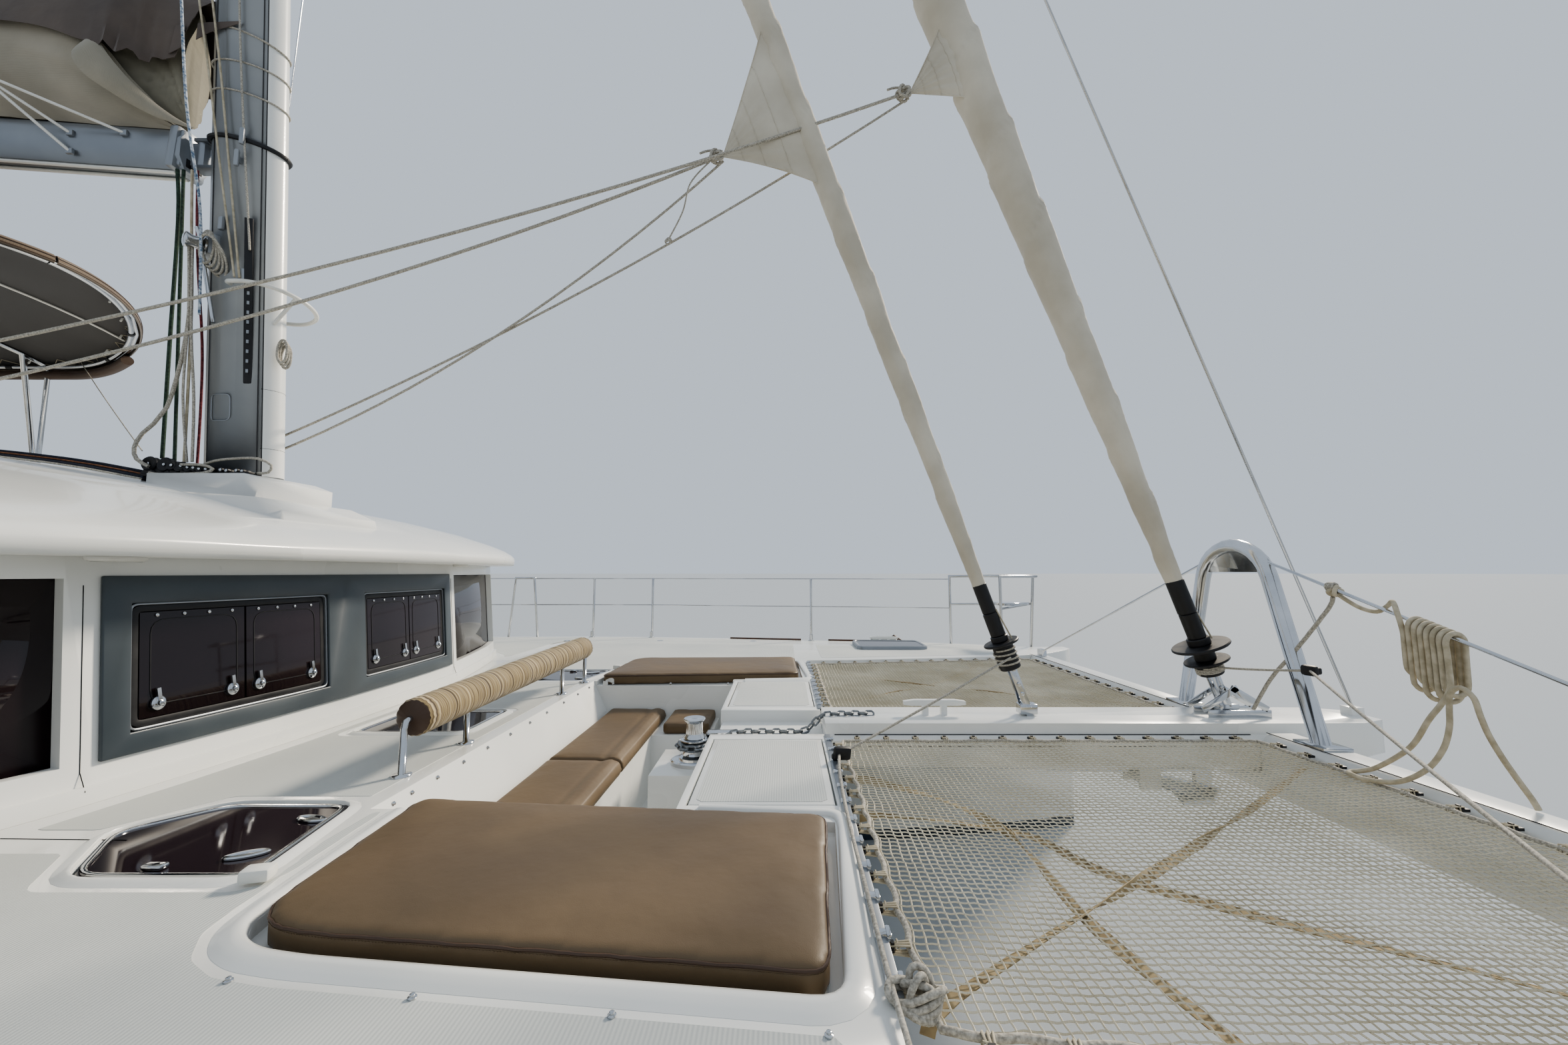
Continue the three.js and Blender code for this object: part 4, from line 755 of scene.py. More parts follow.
# spots: [(point, x axis, z axis)] or with a size as fourth
def scatterMesh(name, shape, spots, look):
    data = meshFrom(name, [spot[0] for spot in spots], [])
    turns, sizes = [], []
    for spot in spots:
        xAxis = Vector(spot[1]).normalized()
        zAxis = Vector(spot[2])
        zAxis = (zAxis - xAxis * zAxis.dot(xAxis)).normalized()
        turn = Matrix((xAxis, zAxis.cross(xAxis), zAxis)).transposed()
        turns += list(turn.to_euler("XYZ"))
        sizes += [spot[3] if len(spot) > 3 else 1.0] * 3
    data.attributes.new("turn", "FLOAT_VECTOR", "POINT").data.foreach_set("vector", turns)
    data.attributes.new("size", "FLOAT_VECTOR", "POINT").data.foreach_set("vector", sizes)
    pattern = addObject(name + "_pattern", shape)
    mesh = throughGroup(addObject(name, data), scatter, look, {"Shape": pattern})
    bpy.data.objects.remove(pattern)
    return mesh


def addCopies(name, shape, spots, look, slotName, body="root", angle=35):
    return addPiece(name, scatterMesh(name, shape, spots, look), look, slotName, body, angle)


# a turned shape about z: profile of (radius, height) from bottom to top
def turnedMesh(name, profile, sides=12):
    corners, faces = [], []
    for radius, height in profile:
        for i in range(sides):
            a = i / sides * 2 * pi
            corners.append((radius * cos(a), radius * sin(a), height))
    for row in range(len(profile) - 1):
        for i in range(sides):
            j = (i + 1) % sides
            faces.append((row * sides + i, row * sides + j, (row + 1) * sides + j, (row + 1) * sides + i))
    faces.append(tuple(range(sides))[::-1])
    faces.append(tuple(range((len(profile) - 1) * sides, len(profile) * sides)))
    return meshFrom(name, corners, faces)


def boxMesh(name, *sizes):
    corners, faces = [], []
    for (x0, x1, y0, y1, z0, z1) in sizes:
        first = len(corners)
        corners += [(x, y, z) for x in (x0, x1) for y in (y0, y1) for z in (z0, z1)]
        faces += [tuple(first + i for i in face)
            for face in ((0, 1, 3, 2), (4, 6, 7, 5), (0, 4, 5, 1), (2, 3, 7, 6), (0, 2, 6, 4), (1, 5, 7, 3))]
    return meshFrom(name, corners, faces)


# sunpads and seat cushions

sunpad = {
    "shrink": 0.006,
    "corner": 0.05,
    "cap": 0.009,
    "seamDrop": 0.012,  # the welt under the top edge
}


def addWelts(name, outline, height, surface):
    path = []
    for point in spaced([(x, y, height) for x, y in outline], 0.02, closed=True):
        hit = surface.find_nearest(point)
        path.append(hit[0] + hit[1] * 0.001)
    addTubes(name + "_welt", [(path + [path[0]], padding["weltRadius"])], "shaded_vinyl", "leather", sides=6)
    spots = []
    for point in spaced([(x, y, height - 0.009) for x, y in outline], padding["stitch"], closed=True):
        hit = surface.find_nearest(point)
        along = Vector((-hit[1].y, hit[1].x, 0))
        spots.append((hit[0] + hit[1] * 0.0004, along, hit[1]))
    shape = boxMesh("stitch", (-0.0025, 0.0025, -0.0007, 0.0007, -0.0004, 0.0006))
    addCopies(name + "_stitches", shape, spots, "marine_vinyl", "leather")


def surfaceOf(data):
    return BVHTree.FromPolygons([v.co for v in data.vertices], [tuple(p.vertices) for p in data.polygons])


for side in ("starboard", "port"):
    node = "sunpad_" + side
    low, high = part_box(node)
    outline = rounded(shrunk(outlineOf(node), sunpad["shrink"]), sunpad["corner"])
    body = slab(outline, low.z + 0.002, high.z - 0.005)
    data = plump(node, *body, cap=sunpad["cap"], voxel=padding["voxel"], floorZ=low.z)
    surface = surfaceOf(data)
    pad = addPiece(node + "_cushion", data, "marine_vinyl", "leather", angle=180, stands=[node])
    addWelts(node, outline, high.z - sunpad["seamDrop"], surface)
print("sunpads done")

bench = {
    # the seat's section as (x, z), with its rolled front edge
    "section": [(3.092, 1.383), (3.09, 1.44), (3.1, 1.449), (3.34, 1.448), (3.362, 1.441), (3.385, 1.449),
                (3.42, 1.45), (3.45, 1.437), (3.463, 1.41), (3.458, 1.385), (3.449, 1.373), (3.447, 1.383)],
    "splits": [-1.01, -0.012, 1.01],
    "cap": 0.006,
}


def addBench():
    section = bench["section"]
    for i, (start, end) in enumerate(zip(bench["splits"], bench["splits"][1:])):
        corners = [(x, start + 0.005, z) for x, z in section] + [(x, end - 0.005, z) for x, z in section]
        count = len(section)
        faces = [tuple(range(count)), tuple(range(count, 2 * count))[::-1]]
        faces += [(i + count, (i + 1) % count + count, (i + 1) % count, i) for i in range(count)]
        data = plump("bench_%d" % i, corners, faces, cap=bench["cap"], voxel=0.0115)
        pad = addPiece("bench_pad_%d" % i, data, "marine_vinyl", "leather", angle=180,
            stands=["bench_cushion"])


def addBoxPad(node, name, cap, voxel):
    low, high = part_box(node)
    shrink = 0.006
    outline = rounded([(low.x + shrink, low.y + shrink), (high.x - shrink, low.y + shrink),
        (high.x - shrink, high.y - shrink), (low.x + shrink, high.y - shrink)], 0.04)
    data = plump(name, *slab(outline, low.z + 0.002, high.z - shrink), cap=cap, voxel=voxel, floorZ=low.z)
    pad = addPiece(name, data, "marine_vinyl", "leather", angle=180, stands=[node])


def addSettee():
    low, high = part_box("saloon_settee")
    seat = rounded([(0.706, 0.306), (1.294, 0.306), (1.294, 1.874), (-1.294, 1.874), (-1.294, 1.696),
        (0.706, 1.696)], 0.03)
    back = rounded([(1.306, 0.306), (1.394, 0.306), (1.394, 1.874), (1.306, 1.874)], 0.03)
    shapes = [plump("seat", *slab(seat, low.z + 0.002, 1.415), cap=0.012, voxel=0.05, floorZ=low.z),
        plump("back", *slab(back, low.z + 0.002, high.z - 0.006), cap=0.012, voxel=0.05, floorZ=low.z)]
    settee = addPiece("saloon_settee_pads", joinedMesh("settee", shapes), "marine_vinyl", "leather",
        angle=180, stands=["saloon_settee"])


addBench()
addSettee()
addBoxPad("port_seat_pad", "port_seat_cushion", 0.007, 0.01)
addBoxPad("aft_cushion", "aft_seat_cushion", 0.012, 0.03)
print("seat cushions done")

# surfaces made from rows of points


# rows of equal length; around joins each row's ends, caps closes the first and the last row
def gridMesh(name, rows, around=False, caps=False):
    wide = len(rows[0])
    corners = [tuple(point) for row in rows for point in row]
    faces = []
    for row in range(len(rows) - 1):
        for i in range(wide if around else wide - 1):
            j = (i + 1) % wide
            faces.append((row * wide + i, row * wide + j, (row + 1) * wide + j, (row + 1) * wide + i))
    if caps:
        faces.append(tuple(range(wide))[::-1])
        faces.append(tuple(range((len(rows) - 1) * wide, len(rows) * wide)))
    return cleaned(meshFrom(name, corners, faces))


def thickened(name, rows, thickness, offset=0):
    piece = addObject(name, gridMesh(name, rows))
    wall = piece.modifiers.new("wall", "SOLIDIFY")
    wall.thickness = thickness
    wall.offset = offset
    return finished(piece)


def rough(x, y, z, size=1.0):
    return noise.noise(Vector((x, y, z)) / size)


# a frame across a direction: two unit vectors square to it
def across(direction, up=(0, 0, 1)):
    along = Vector(direction).normalized()
    side = along.cross(Vector(up)).normalized()
    return side, side.cross(along).normalized()


# backrest roll

roll = {
    "start": (2.876, -0.715, 1.810),
    "end": (2.921, 0.940, 1.850),
    "radius": 0.0685,
    "gather": 0.03,  # over which its cover is drawn in
    "pleats": 17,
    "endBand": 0.018,
}


def rollRows(low, high, step, around=44):
    start, end = Vector(roll["start"]), Vector(roll["end"])
    length = (end - start).length
    side, up = across(end - start)
    rows = []
    count = max(2, round((high - low) / step))
    for k in range(count + 1):
        at = low + (high - low) * k / count
        fromEnd = min(at, length - at)
        draw = max(0.0, 1 - fromEnd / roll["gather"])
        near = max(0.0, 1 - fromEnd / 0.1)
        middle = start.lerp(end, at / length)
        row = []
        for i in range(around):
            a = i / around * 2 * pi
            radius = roll["radius"] * sqrt(max(0.05, 1 - draw ** 2.2))
            radius += 0.0022 * near * cos(roll["pleats"] * a + 2 * sin(a))
            radius += 0.0016 * rough(at, cos(a) * 0.05, sin(a) * 0.05, 0.022)
            radius += 0.0009 * sin(at / 0.0125 * 2 * pi + 0.6 * sin(2 * a))
            row.append(middle + side * radius * cos(a) + up * radius * sin(a))
        rows.append(row)
    return rows


def addRoll():
    length = (Vector(roll["end"]) - Vector(roll["start"])).length
    band = roll["endBand"]
    data = gridMesh("roll", rollRows(band, length - band, 0.0042), around=True, caps=True)
    pad = addPiece("backrest_roll", data, "striped_acrylic_gather_shade", "canvas", angle=60, stands=["bolster"])
    for name, low, high in (("near", 0.0, band), ("far", length - band, length)):
        data = gridMesh("roll_" + name, rollRows(low, high, 0.003), around=True, caps=True)
        addPiece("backrest_roll_end_" + name, data, "shaded_vinyl", "canvas", angle=60)


addRoll()
print("backrest roll done")

# flybridge canopy

canopy = {
    "half": 1.24,
    "aft": -2.9,
    "straight": -1.0,
    "nose": 1.43,
    "power": 1.68,
    "crown": 4.0,
    "sag": 0.165,
    "hoops": (-2.6, -1.18),
    "lift": 0.026,  # of the cloth over the frame's middle lines
    "thickness": 0.003,
}


def canopyHalf(x):
    share = max(0.0, (x - canopy["straight"]) / canopy["nose"])
    return canopy["half"] * max(0.0, 1 - share ** canopy["power"]) ** (1 / canopy["power"])


def canopyZ(x, y):
    share = max(0.0, (x - canopy["straight"]) / canopy["nose"])
    aftDrop = max(0.0, canopy["hoops"][0] - x) * 0.12
    return canopy["crown"] - canopy["sag"] * abs(y / canopy["half"]) ** 2.6 - 0.04 * share - aftDrop


def canopyRow(x):
    half = canopyHalf(x)
    row = []
    dip = 0.014 * max(0.0, sin((x - canopy["hoops"][0]) / 1.42 * pi)) ** 2
    for i in range(61):
        share = sin((i / 60 * 2 - 1) * pi / 2)
        y = share * half
        z = canopyZ(x, y) + canopy["lift"] - dip * (1 - share ** 2)
        z += 0.004 * rough(x, y, 0, 0.35) * (1 - share ** 4)
        row.append(Vector((x, y, z)))
    # the hem, hanging outside the edge tube along the outline
    slope = (half - canopyHalf(x - 0.002)) / 0.002
    for sense, edge in ((-1, row[0]), (1, row[-1])):
        outward = Vector((-slope, sense, 0)).normalized()
        steps = [(0.006, -0.008), (0.010, -0.020), (0.011, -0.031), (0.009, -0.040), (0.004, -0.046)]
        hem = [edge + outward * out + Vector((0, 0, drop + 0.002 * rough(x, out, sense, 0.08))) for out,
            drop in steps]
        row = hem[::-1] + row if sense < 0 else row + hem
    return row


# a point beside the canopy's edge: share runs along it from aft to the nose
def edgePoint(side, share, out, up):
    nose = canopy["straight"] + canopy["nose"]
    x = canopy["aft"] + (nose - canopy["aft"] - 0.0001) * sin(share * pi / 2)
    half = canopyHalf(x)
    slope = (half - canopyHalf(x - 0.002)) / 0.002
    outward = Vector((-slope, 1, 0)).normalized()
    point = Vector((x, half, canopyZ(x, half) + canopy["lift"] + up)) + outward * out
    return Vector((point.x, side * point.y, point.z))


edgeShares = [i / 90 for i in range(91)]


def addCanopy():
    nose = canopy["straight"] + canopy["nose"]
    stations = [canopy["aft"] + i * 0.05 for i in range(39)]
    stations += [canopy["straight"] + (nose - 0.0001 - canopy["straight"]) * sin(i / 30 * pi / 2)
        for i in range(1, 31)]
    rows = [canopyRow(x) for x in stations]
    aftEdge = rows[0]
    for shift, drop in ((-0.006, 0.013), (0.02, 0.033)):
        rows.insert(0, [point + Vector((shift, 0, -drop)) for point in aftEdge])
    data = thickened("canopy", rows, canopy["thickness"])
    cover = addPiece("bimini_cover", data, "awning_acrylic_shaded_below", "canvas", angle=60, stands=["bimini_canopy"])
    piping = []
    for y, down in ((-1, 0.014), (-1, 0.034), (1, 0.014), (1, 0.034)):
        piping.append(([edgePoint(y, share, 0.0125, -down) for share in edgeShares], 0.0022))
    seams = addTubes("bimini_piping", piping, "shaded_vinyl", "canvas", sides=5)
    # lacing from the cloth's underside down to the edge tube, with a toggle at every third turn
    lines, toggles = [], []
    for y in (-1, 1):
        line = []
        for k, share in enumerate(edgeShares[4:-8:2]):
            up = k % 2
            point = edgePoint(y, share, -0.075 if up else -0.012, 0.014 if up else -0.014)
            line.append(point)
            if k % 4 == 1:
                toggles.append(softBox("toggle", (0.012, 0.01, 0.034), point - Vector((0, 0, 0.016)), 0.004,
                    (0.3, 0.2 * y, 1)))
        lines.append((line, 0.0022))
    lacing = addTubes("bimini_lacing", lines, "polyester_webbing", "canvas", sides=5)
    addPiece("bimini_toggles", joinedMesh("toggles", toggles), "white_plastic", "canvas")
    # a second tube inside the edge, with its clamps
    rail = [[edgePoint(y, share, -0.038, -0.030) for share in edgeShares] for y in (-1, 1)]
    addTubes("bimini_inner_rail", [(path, 0.014) for path in rail], *stainless, sides=12)
    clamps = [([path[k].lerp(path[k + 1], t) for t in (0.0, 0.8)], 0.0175) for path in rail
        for k in (26, 44, 58)]
    addTubes("bimini_clamps", clamps, *nylon, sides=12)
    # a side curtain, rolled up along the far edge, and a batten across under the cloth
    roll = [edgePoint(1, share, -0.004 + 0.004 * rough(share, 0, 3, 0.1), -0.078)
        for share in edgeShares[:50]]
    addTubes("bimini_rolled_curtain", [(roll, 0.033)], "shaded_vinyl", "canvas", sides=12, wobble=0.004,
        wave=0.2)
    batten = [Vector((-0.28, 0.93 * (i / 7.5 - 1), 0)) for i in range(16)]
    batten = [Vector((p.x, p.y, canopyZ(p.x, p.y) + canopy["lift"] - 0.012)) for p in batten]
    addTubes("bimini_batten", [(batten, 0.007)], "white_plastic", "canvas", sides=8)


addCanopy()
print("canopy done")

# furled sails

# stay: foot x, foot z, head z and the x of its tang. roll: columns height, radius.
# clew: the corner that stands out of the roll, as tip and the heights that it leaves the roll at
sails = {
    "staysail": {
        "foot": (5.414, 1.66), "head": 14.05, "wrap": 0.46, "seed": 3.0,
        "roll": [(2.10, 0.026), (2.35, 0.034), (2.6, 0.042), (3.2, 0.05), (4.2, 0.062), (6.5, 0.074),
                 (10.0, 0.060), (12.8, 0.034), (13.3, 0.02)],
        "clew": ((3.907, 0.0, 4.533), 4.33, 5.30), "flat": (0.55, 1.02), "area": 0.27},
    "genoa": {
        "foot": (6.385, 1.66), "head": 17.7, "wrap": 0.5, "seed": 8.0,
        "roll": [(2.12, 0.030), (2.4, 0.042), (2.7, 0.053), (3.3, 0.07), (4.2, 0.093), (5.6, 0.122),
                 (9.0, 0.118), (13.0, 0.08), (16.2, 0.042), (16.8, 0.02)],
        "clew": ((4.902, 0.0, 4.893), 4.78, 5.34), "flat": (0.4, 0.6), "area": 0.13},
}


def mastX(z):
    return 1.513 - (z - 2.802) * 0.0642


def stayAt(sail, z):
    footX, footZ = sail["foot"]
    tang = mastX(sail["head"]) + 0.25
    return Vector((footX + (tang - footX) * (z - footZ) / (sail["head"] - footZ), 0, z))


def rollRadius(sail, z):
    for (z0, r0), (z1, r1) in zip(sail["roll"], sail["roll"][1:]):
        if z <= z1:
            t = (z - z0) / (z1 - z0)
            t = t * t * (3 - 2 * t) * 0.5 + t * 0.5
            return r0 + (r1 - r0) * t
    return sail["roll"][-1][1]


def addFurledSail(name):
    sail = sails[name]
    low, high = sail["roll"][0][0], sail["roll"][-1][0]
    axis = (stayAt(sail, high) - stayAt(sail, low)).normalized()
    side, up = across(axis, (0, 1, 0))
    around = 40
    rows = []
    z = low
    while z < high:
        radius = rollRadius(sail, z)
        row = []
        turn = z / sail["wrap"] + 0.12 * rough(z, sail["seed"], 0, 0.9)
        for i in range(around):
            a = i / around
            step = (a + turn) % 1.0
            # a spiral, whose outer edge stands proud where it ends, and folds that run with it
            r = radius * (1 + 0.1 * (step - 0.5))
            r += 0.006 * rough(cos(a * 6.28) * 0.09, sin(a * 6.28) * 0.09, z * 0.32, 0.07)
            r += 0.0022 * rough(step * 1.3, z * 0.5, sail["seed"], 0.045)
            r += 0.0025 * exp(-((step - 0.93) / 0.035) ** 2)
            row.append(stayAt(sail, z) + side * r * cos(a * 2 * pi) + up * r * sin(a * 2 * pi))
        rows.append(row)
        z += 0.024 if z < 6.5 else 0.07
    data = gridMesh(name, rows, around=True, caps=True)
    addPiece(name + "_roll", data, "polyester_sailcloth", "sailcloth", "root", 55, [name + "_furled"])
    stay = [stayAt(sail, high - 0.02), stayAt(sail, sail["head"])]
    addTubes(name + "_stay_top", [(stay, 0.012)], *aluminium, sides=10)
    addClew(name)


# the sail's corner between two heights of the roll and its tip, with a hem along both free edges
def addClew(name):
    sail = sails[name]
    tip, low, high = sail["clew"]
    tip = Vector(tip)
    rows = []
    for i in range(25):
        v = i / 24
        z = low + (high - low) * v
        root = stayAt(sail, z) + Vector((0, -rollRadius(sail, z) * 0.6, 0))
        row = []
        for k in range(25):
            u = k / 24
            point = root.lerp(tip, u)
            belly = sin(u * pi) * (0.03 * sin(v * pi))
            folds = 0.008 * rough(point.x, point.z, sail["seed"], 0.16) * (1 - u)
            creases = 0.004 * sin(atan2(point.z - tip.z, point.x - tip.x) * 26) * sin(u * pi)
            row.append(point + Vector((0.0, -belly + folds + creases, 0.0)))
        rows.append(row)
    # the two free edges hollow a little towards the roll
    for row, sense in ((rows[0], 1), (rows[-1], -1)):
        for k, point in enumerate(row):
            point.z += sense * 0.02 * sin(k / 24 * pi)
    data = thickened(name + "_clew", rows, 0.0022)
    patch = addPiece(name + "_clew", data, "polyester_sailcloth", "sailcloth", angle=60)
    hems = [([p + Vector((0, -0.001, 0)) for p in row], 0.0035) for row in (rows[0], rows[-1])]
    patches = [([row[round(24 * share)] + Vector((0, -0.0022, 0)) for row in rows], 0.0016)
        for share in (0.35, 0.6, 0.8)]
    seams = addTubes(name + "_clew_hems", hems + patches, "polyester_sailcloth", "sailcloth", sides=6)


for name in sails:
    addFurledSail(name)
print("furled sails done")

# stowed mainsail

boom = {
    "pivotX": 1.1602,
    "rise": 0.075,
    "high": 0.215,
    "body": "boom_body",
}
# the bag: columns share of the length, half width, height of its sides, height of the sail in it
bag = {
    "start": 0.11,
    "run": 5.24,
    "rows": [(0.0, 0.05, 0.02, 0.72), (0.02, 0.085, 0.13, 0.80), (0.034, 0.13, 0.21, 0.83),
             (0.05, 0.175, 0.33, 0.84), (0.08, 0.2, 0.42, 0.84), (0.13, 0.215, 0.45, 0.82),
             (0.3, 0.23, 0.45, 0.68), (0.6, 0.2, 0.37, 0.52), (0.9, 0.14, 0.28, 0.37),
             (1.0, 0.085, 0.22, 0.30)],
    # lower edge of the dark flap: columns share, height
    "flap": [(0.0, 0.36), (0.02, 0.32), (0.05, 0.32), (0.09, 0.345), (0.15, 0.375), (0.3, 0.385), (0.6, 0.33),
             (0.9, 0.255), (1.0, 0.2)],
    # the panel's corner folded back near the mast, starboard side: fold line and free edge, (x, y, z)
    "fold": [(1.135, -0.04, 4.662), (1.07, -0.085, 4.690), (1.00, -0.135, 4.742), (0.935, -0.185, 4.812),
             (0.86, -0.205, 4.905), (0.80, -0.205, 4.985), (0.765, -0.195, 5.01)],
    "lapel": [(1.125, -0.05, 4.652), (1.03, -0.115, 4.655), (0.955, -0.16, 4.680), (0.885, -0.215, 4.715),
              (0.80, -0.255, 4.775), (0.745, -0.262, 4.868), (0.750, -0.225, 4.975)],
    # the corner's lower and upper edge, from the bag to the mast's side
    "corner": [[(1.06, -0.125, 5.0), (1.24, -0.105, 5.14), (1.40, -0.118, 5.175)],
               [(1.07, -0.115, 5.17), (1.24, -0.112, 5.19), (1.40, -0.118, 5.19)]],
    "wall": 0.0025,
}


def tableAt(rows, share):
    for low, high in zip(rows, rows[1:]):
        if share <= high[0]:
            t = (share - low[0]) / (high[0] - low[0])
            return [a + (b - a) * t for a, b in zip(low[1:], high[1:])]
    return list(rows[-1][1:])


def boomTop(x):
    return 4.425 + (boom["pivotX"] - 0.05 - x) * boom["rise"] + boom["high"]


def bagX(share):
    return boom["pivotX"] - bag["start"] - share * bag["run"]


# a side panel: from the boom's top edge out and up, its front edge rising aft from the gooseneck
def bagSide(sense):
    rows = []
    for i in range(110):
        share = (i / 109) ** 1.5
        half, high, _ = tableAt(bag["rows"], share)
        x = bagX(share)
        base = boomTop(x)
        row = []
        for k in range(30):
            t = k / 29
            out = 0.045 + (half - 0.045) * sin(min(1.0, t * 1.25) * pi / 2) ** 0.85
            sagging = 0.012 * rough(x, t * 0.4, sense, 0.3) + 0.004 * rough(x * 0.6, t * 0.5, sense + 4, 0.06)
            # tension folds that run from the tack up and aft
            pull = 0.006 * sin((t - 0.35 * share * 6) * 21) * exp(-share / 0.12) * sin(t * pi)
            row.append(Vector((x, sense * (out + sagging + pull), base + 0.006 + high * t)))
        rows.append(row)
    return rows


# the corner of a side panel, folded outwards and back along the fold line
def bagLapel():
    inner, outer = smoothPath(bag["fold"], 0.012), smoothPath(bag["lapel"], 0.012)
    rows = []
    for i in range(40):
        a = inner[round(i / 39 * (len(inner) - 1))]
        b = outer[round(i / 39 * (len(outer) - 1))]
        wide = (a - b).length
        row = []
        for k in range(16):
            t = k / 15
            bulge = 0.24 * wide * sin(t * pi) ** 0.8 * (1 - 0.4 * t)
            row.append(a.lerp(b, t) + Vector((0.25, -0.85, -0.35)) * bulge)
        rows.append(row)
    return rows


# the dark flap over the top, from one side's edge across to the other's
def bagTop():
    rows = []
    for i in range(110):
        share = (i / 109) ** 1.5
        half, _, top = tableAt(bag["rows"], share)
        low = tableAt(bag["flap"], share)[0]
        x = bagX(share) + 0.03
        base = boomTop(x)
        wide = half * 0.95 + 0.03 + 0.03 * exp(-share / 0.03)
        row = []
        for k in range(49):
            t = k / 48 * 2 - 1
            y = wide * sin(t * pi / 2) * (1 + 0.05 * abs(t) ** 6)
            z = low + (top + 0.03 - low) * (1 - abs(t) ** 2.4)
            z += 0.012 * rough(x, t, 2.0, 0.22) + 0.006 * rough(x * 0.5, t * 3, 6.0, 0.11)
            z -= 0.012 * abs(t) ** 4 * (1 + sin(x * 9.0))
            # near the mast its edge is tucked into folds
            gather = exp(-((share - 0.035) / 0.02) ** 2) * abs(t) ** 3
            y += 0.03 * gather * copysign(sin(x * 60 + t * 5), t)
            z += 0.03 * gather * cos(x * 75)
            row.append(Vector((x + 0.11 * exp(-share / 0.012) * (1 - abs(t) ** 2), y, base + z)))
        rows.append(row)
    return rows


# the folded sail inside: creased layers, widest low down
def sailFolds():
    rows = []
    for i in range(110):
        share = (i / 109) ** 1.6
        half, _, top = tableAt(bag["rows"], share)
        x = bagX(share) + 0.03
        base = boomTop(x)
        row = []
        for k in range(72):
            a = k / 72 * 2 * pi
            wide = (0.74 * half + 0.005) * cos(a)
            lift = top * (0.5 + 0.46 * sin(a))
            wide *= 1 - 0.3 * max(0.0, sin(a))
            # layers that fan out from the tack near the mast and lie level further aft
            fan = atan2(lift + 0.02, share * 5.2 + 0.05) * 11 - 0.5 * lift / 0.1
            flat = lift * 74
            blend = min(1.0, share / 0.12)
            phase = fan * 1.9 * (1 - blend) + flat * blend + 2.5 * rough(x, lift, 0, 0.3)
            crease = (0.014 + 0.012 * (1 - blend)) * sin(phase) * abs(cos(a))
            row.append(Vector((x, wide + copysign(crease, wide), base + 0.02 + lift)))
        rows.append(row)
    return rows


def addStowedMainsail():
    # the folds take the darker sailcloth, which paints their shade
    folds = gridMesh("folds", sailFolds(), around=True, caps=True)
    addPiece("mainsail_folds", folds, "shaded_stowed_sailcloth", "sailcloth", boom["body"], 60, ["mainsail_stack"])
    for name, sense in bothSides:
        side = thickened("bag_" + name, bagSide(sense), bag["wall"])
        if sense < 0:
            side = joinedMesh("bag_" + name, [side, thickened("lapel", bagLapel(), bag["wall"])])
        panel = addPiece("sail_bag_" + name, side, "bag_acrylic", "canvas", boom["body"], 60,
            ["mainsail_stack"])
    top = thickened("bag_top", bagTop(), bag["wall"])
    flap = addPiece("sail_bag_flap", top, "cover_canvas", "canvas", boom["body"], 60, ["mainsail_stack"])
    # the bag's corner is in two parts: one swings with the boom, the other is lashed to the mast
    lower, upper = [[Vector(p) for p in edge] for edge in bag["corner"]]
    for name, start, stop, body in (("sail_bag_corner", 0.0, 0.3, boom["body"]),
            ("sail_bag_lashed", 0.66, 1.0, "root")):
        corner = []
        for i in range(9):
            aft, fore, end = [a.lerp(b, i / 8) for a, b in zip(lower, upper)]
            ways = [aft.lerp(fore, t) for t in (start, (start + stop) / 2, stop)]
            if body == "root":
                ways.append(end)
            corner.append(smoothPath(ways, 0.02))
        addPiece(name, thickened(name, corner, bag["wall"]), "cover_canvas", "canvas", body, 60)


addStowedMainsail()
print("stowed mainsail done")

# nets of the foredeck

net = {
    "pitch": 0.0215,
    "radius": 0.0021,
    "height": 1.598,
    "sag": 0.022,
    "lash": 0.13,  # between two lashings
    "rope": 0.007,
    "cover": 1.9,  # the cords fill about half of the net's 3.1 square metres
    # inside line of the opening, as (x, y) on the port side
    "outline": [(4.49, 0.262), (6.305, 0.262), (6.305, 2.075), (5.4, 1.937), (4.49, 1.83)],
    # edge of the deck that each side of the outline is lashed to
    "anchors": [(0.0, -0.052), (0.052, 0.0), (-0.008, 0.055), (-0.005, 0.055), (-0.06, 0.0)],
}


def edgeDistance(x, y, outline):
    nearest = 1e9
    for i, a in enumerate(outline):
        b = outline[(i + 1) % len(outline)]
        dx, dy = b[0] - a[0], b[1] - a[1]
        t = max(0.0, min(1.0, ((x - a[0]) * dx + (y - a[1]) * dy) / (dx * dx + dy * dy)))
        nearest = min(nearest, hypot(x - a[0] - dx * t, y - a[1] - dy * t))
    return nearest


def lashPoints(outline):
    points = []
    for i, a in enumerate(outline):
        b = outline[(i + 1) % len(outline)]
        length = hypot(b[0] - a[0], b[1] - a[1])
        count = round(length / net["lash"])
        for k in range(count):
            t = (k + 0.5) / count
            points.append((a[0] + (b[0] - a[0]) * t, a[1] + (b[1] - a[1]) * t, *net["anchors"][i]))
    return points


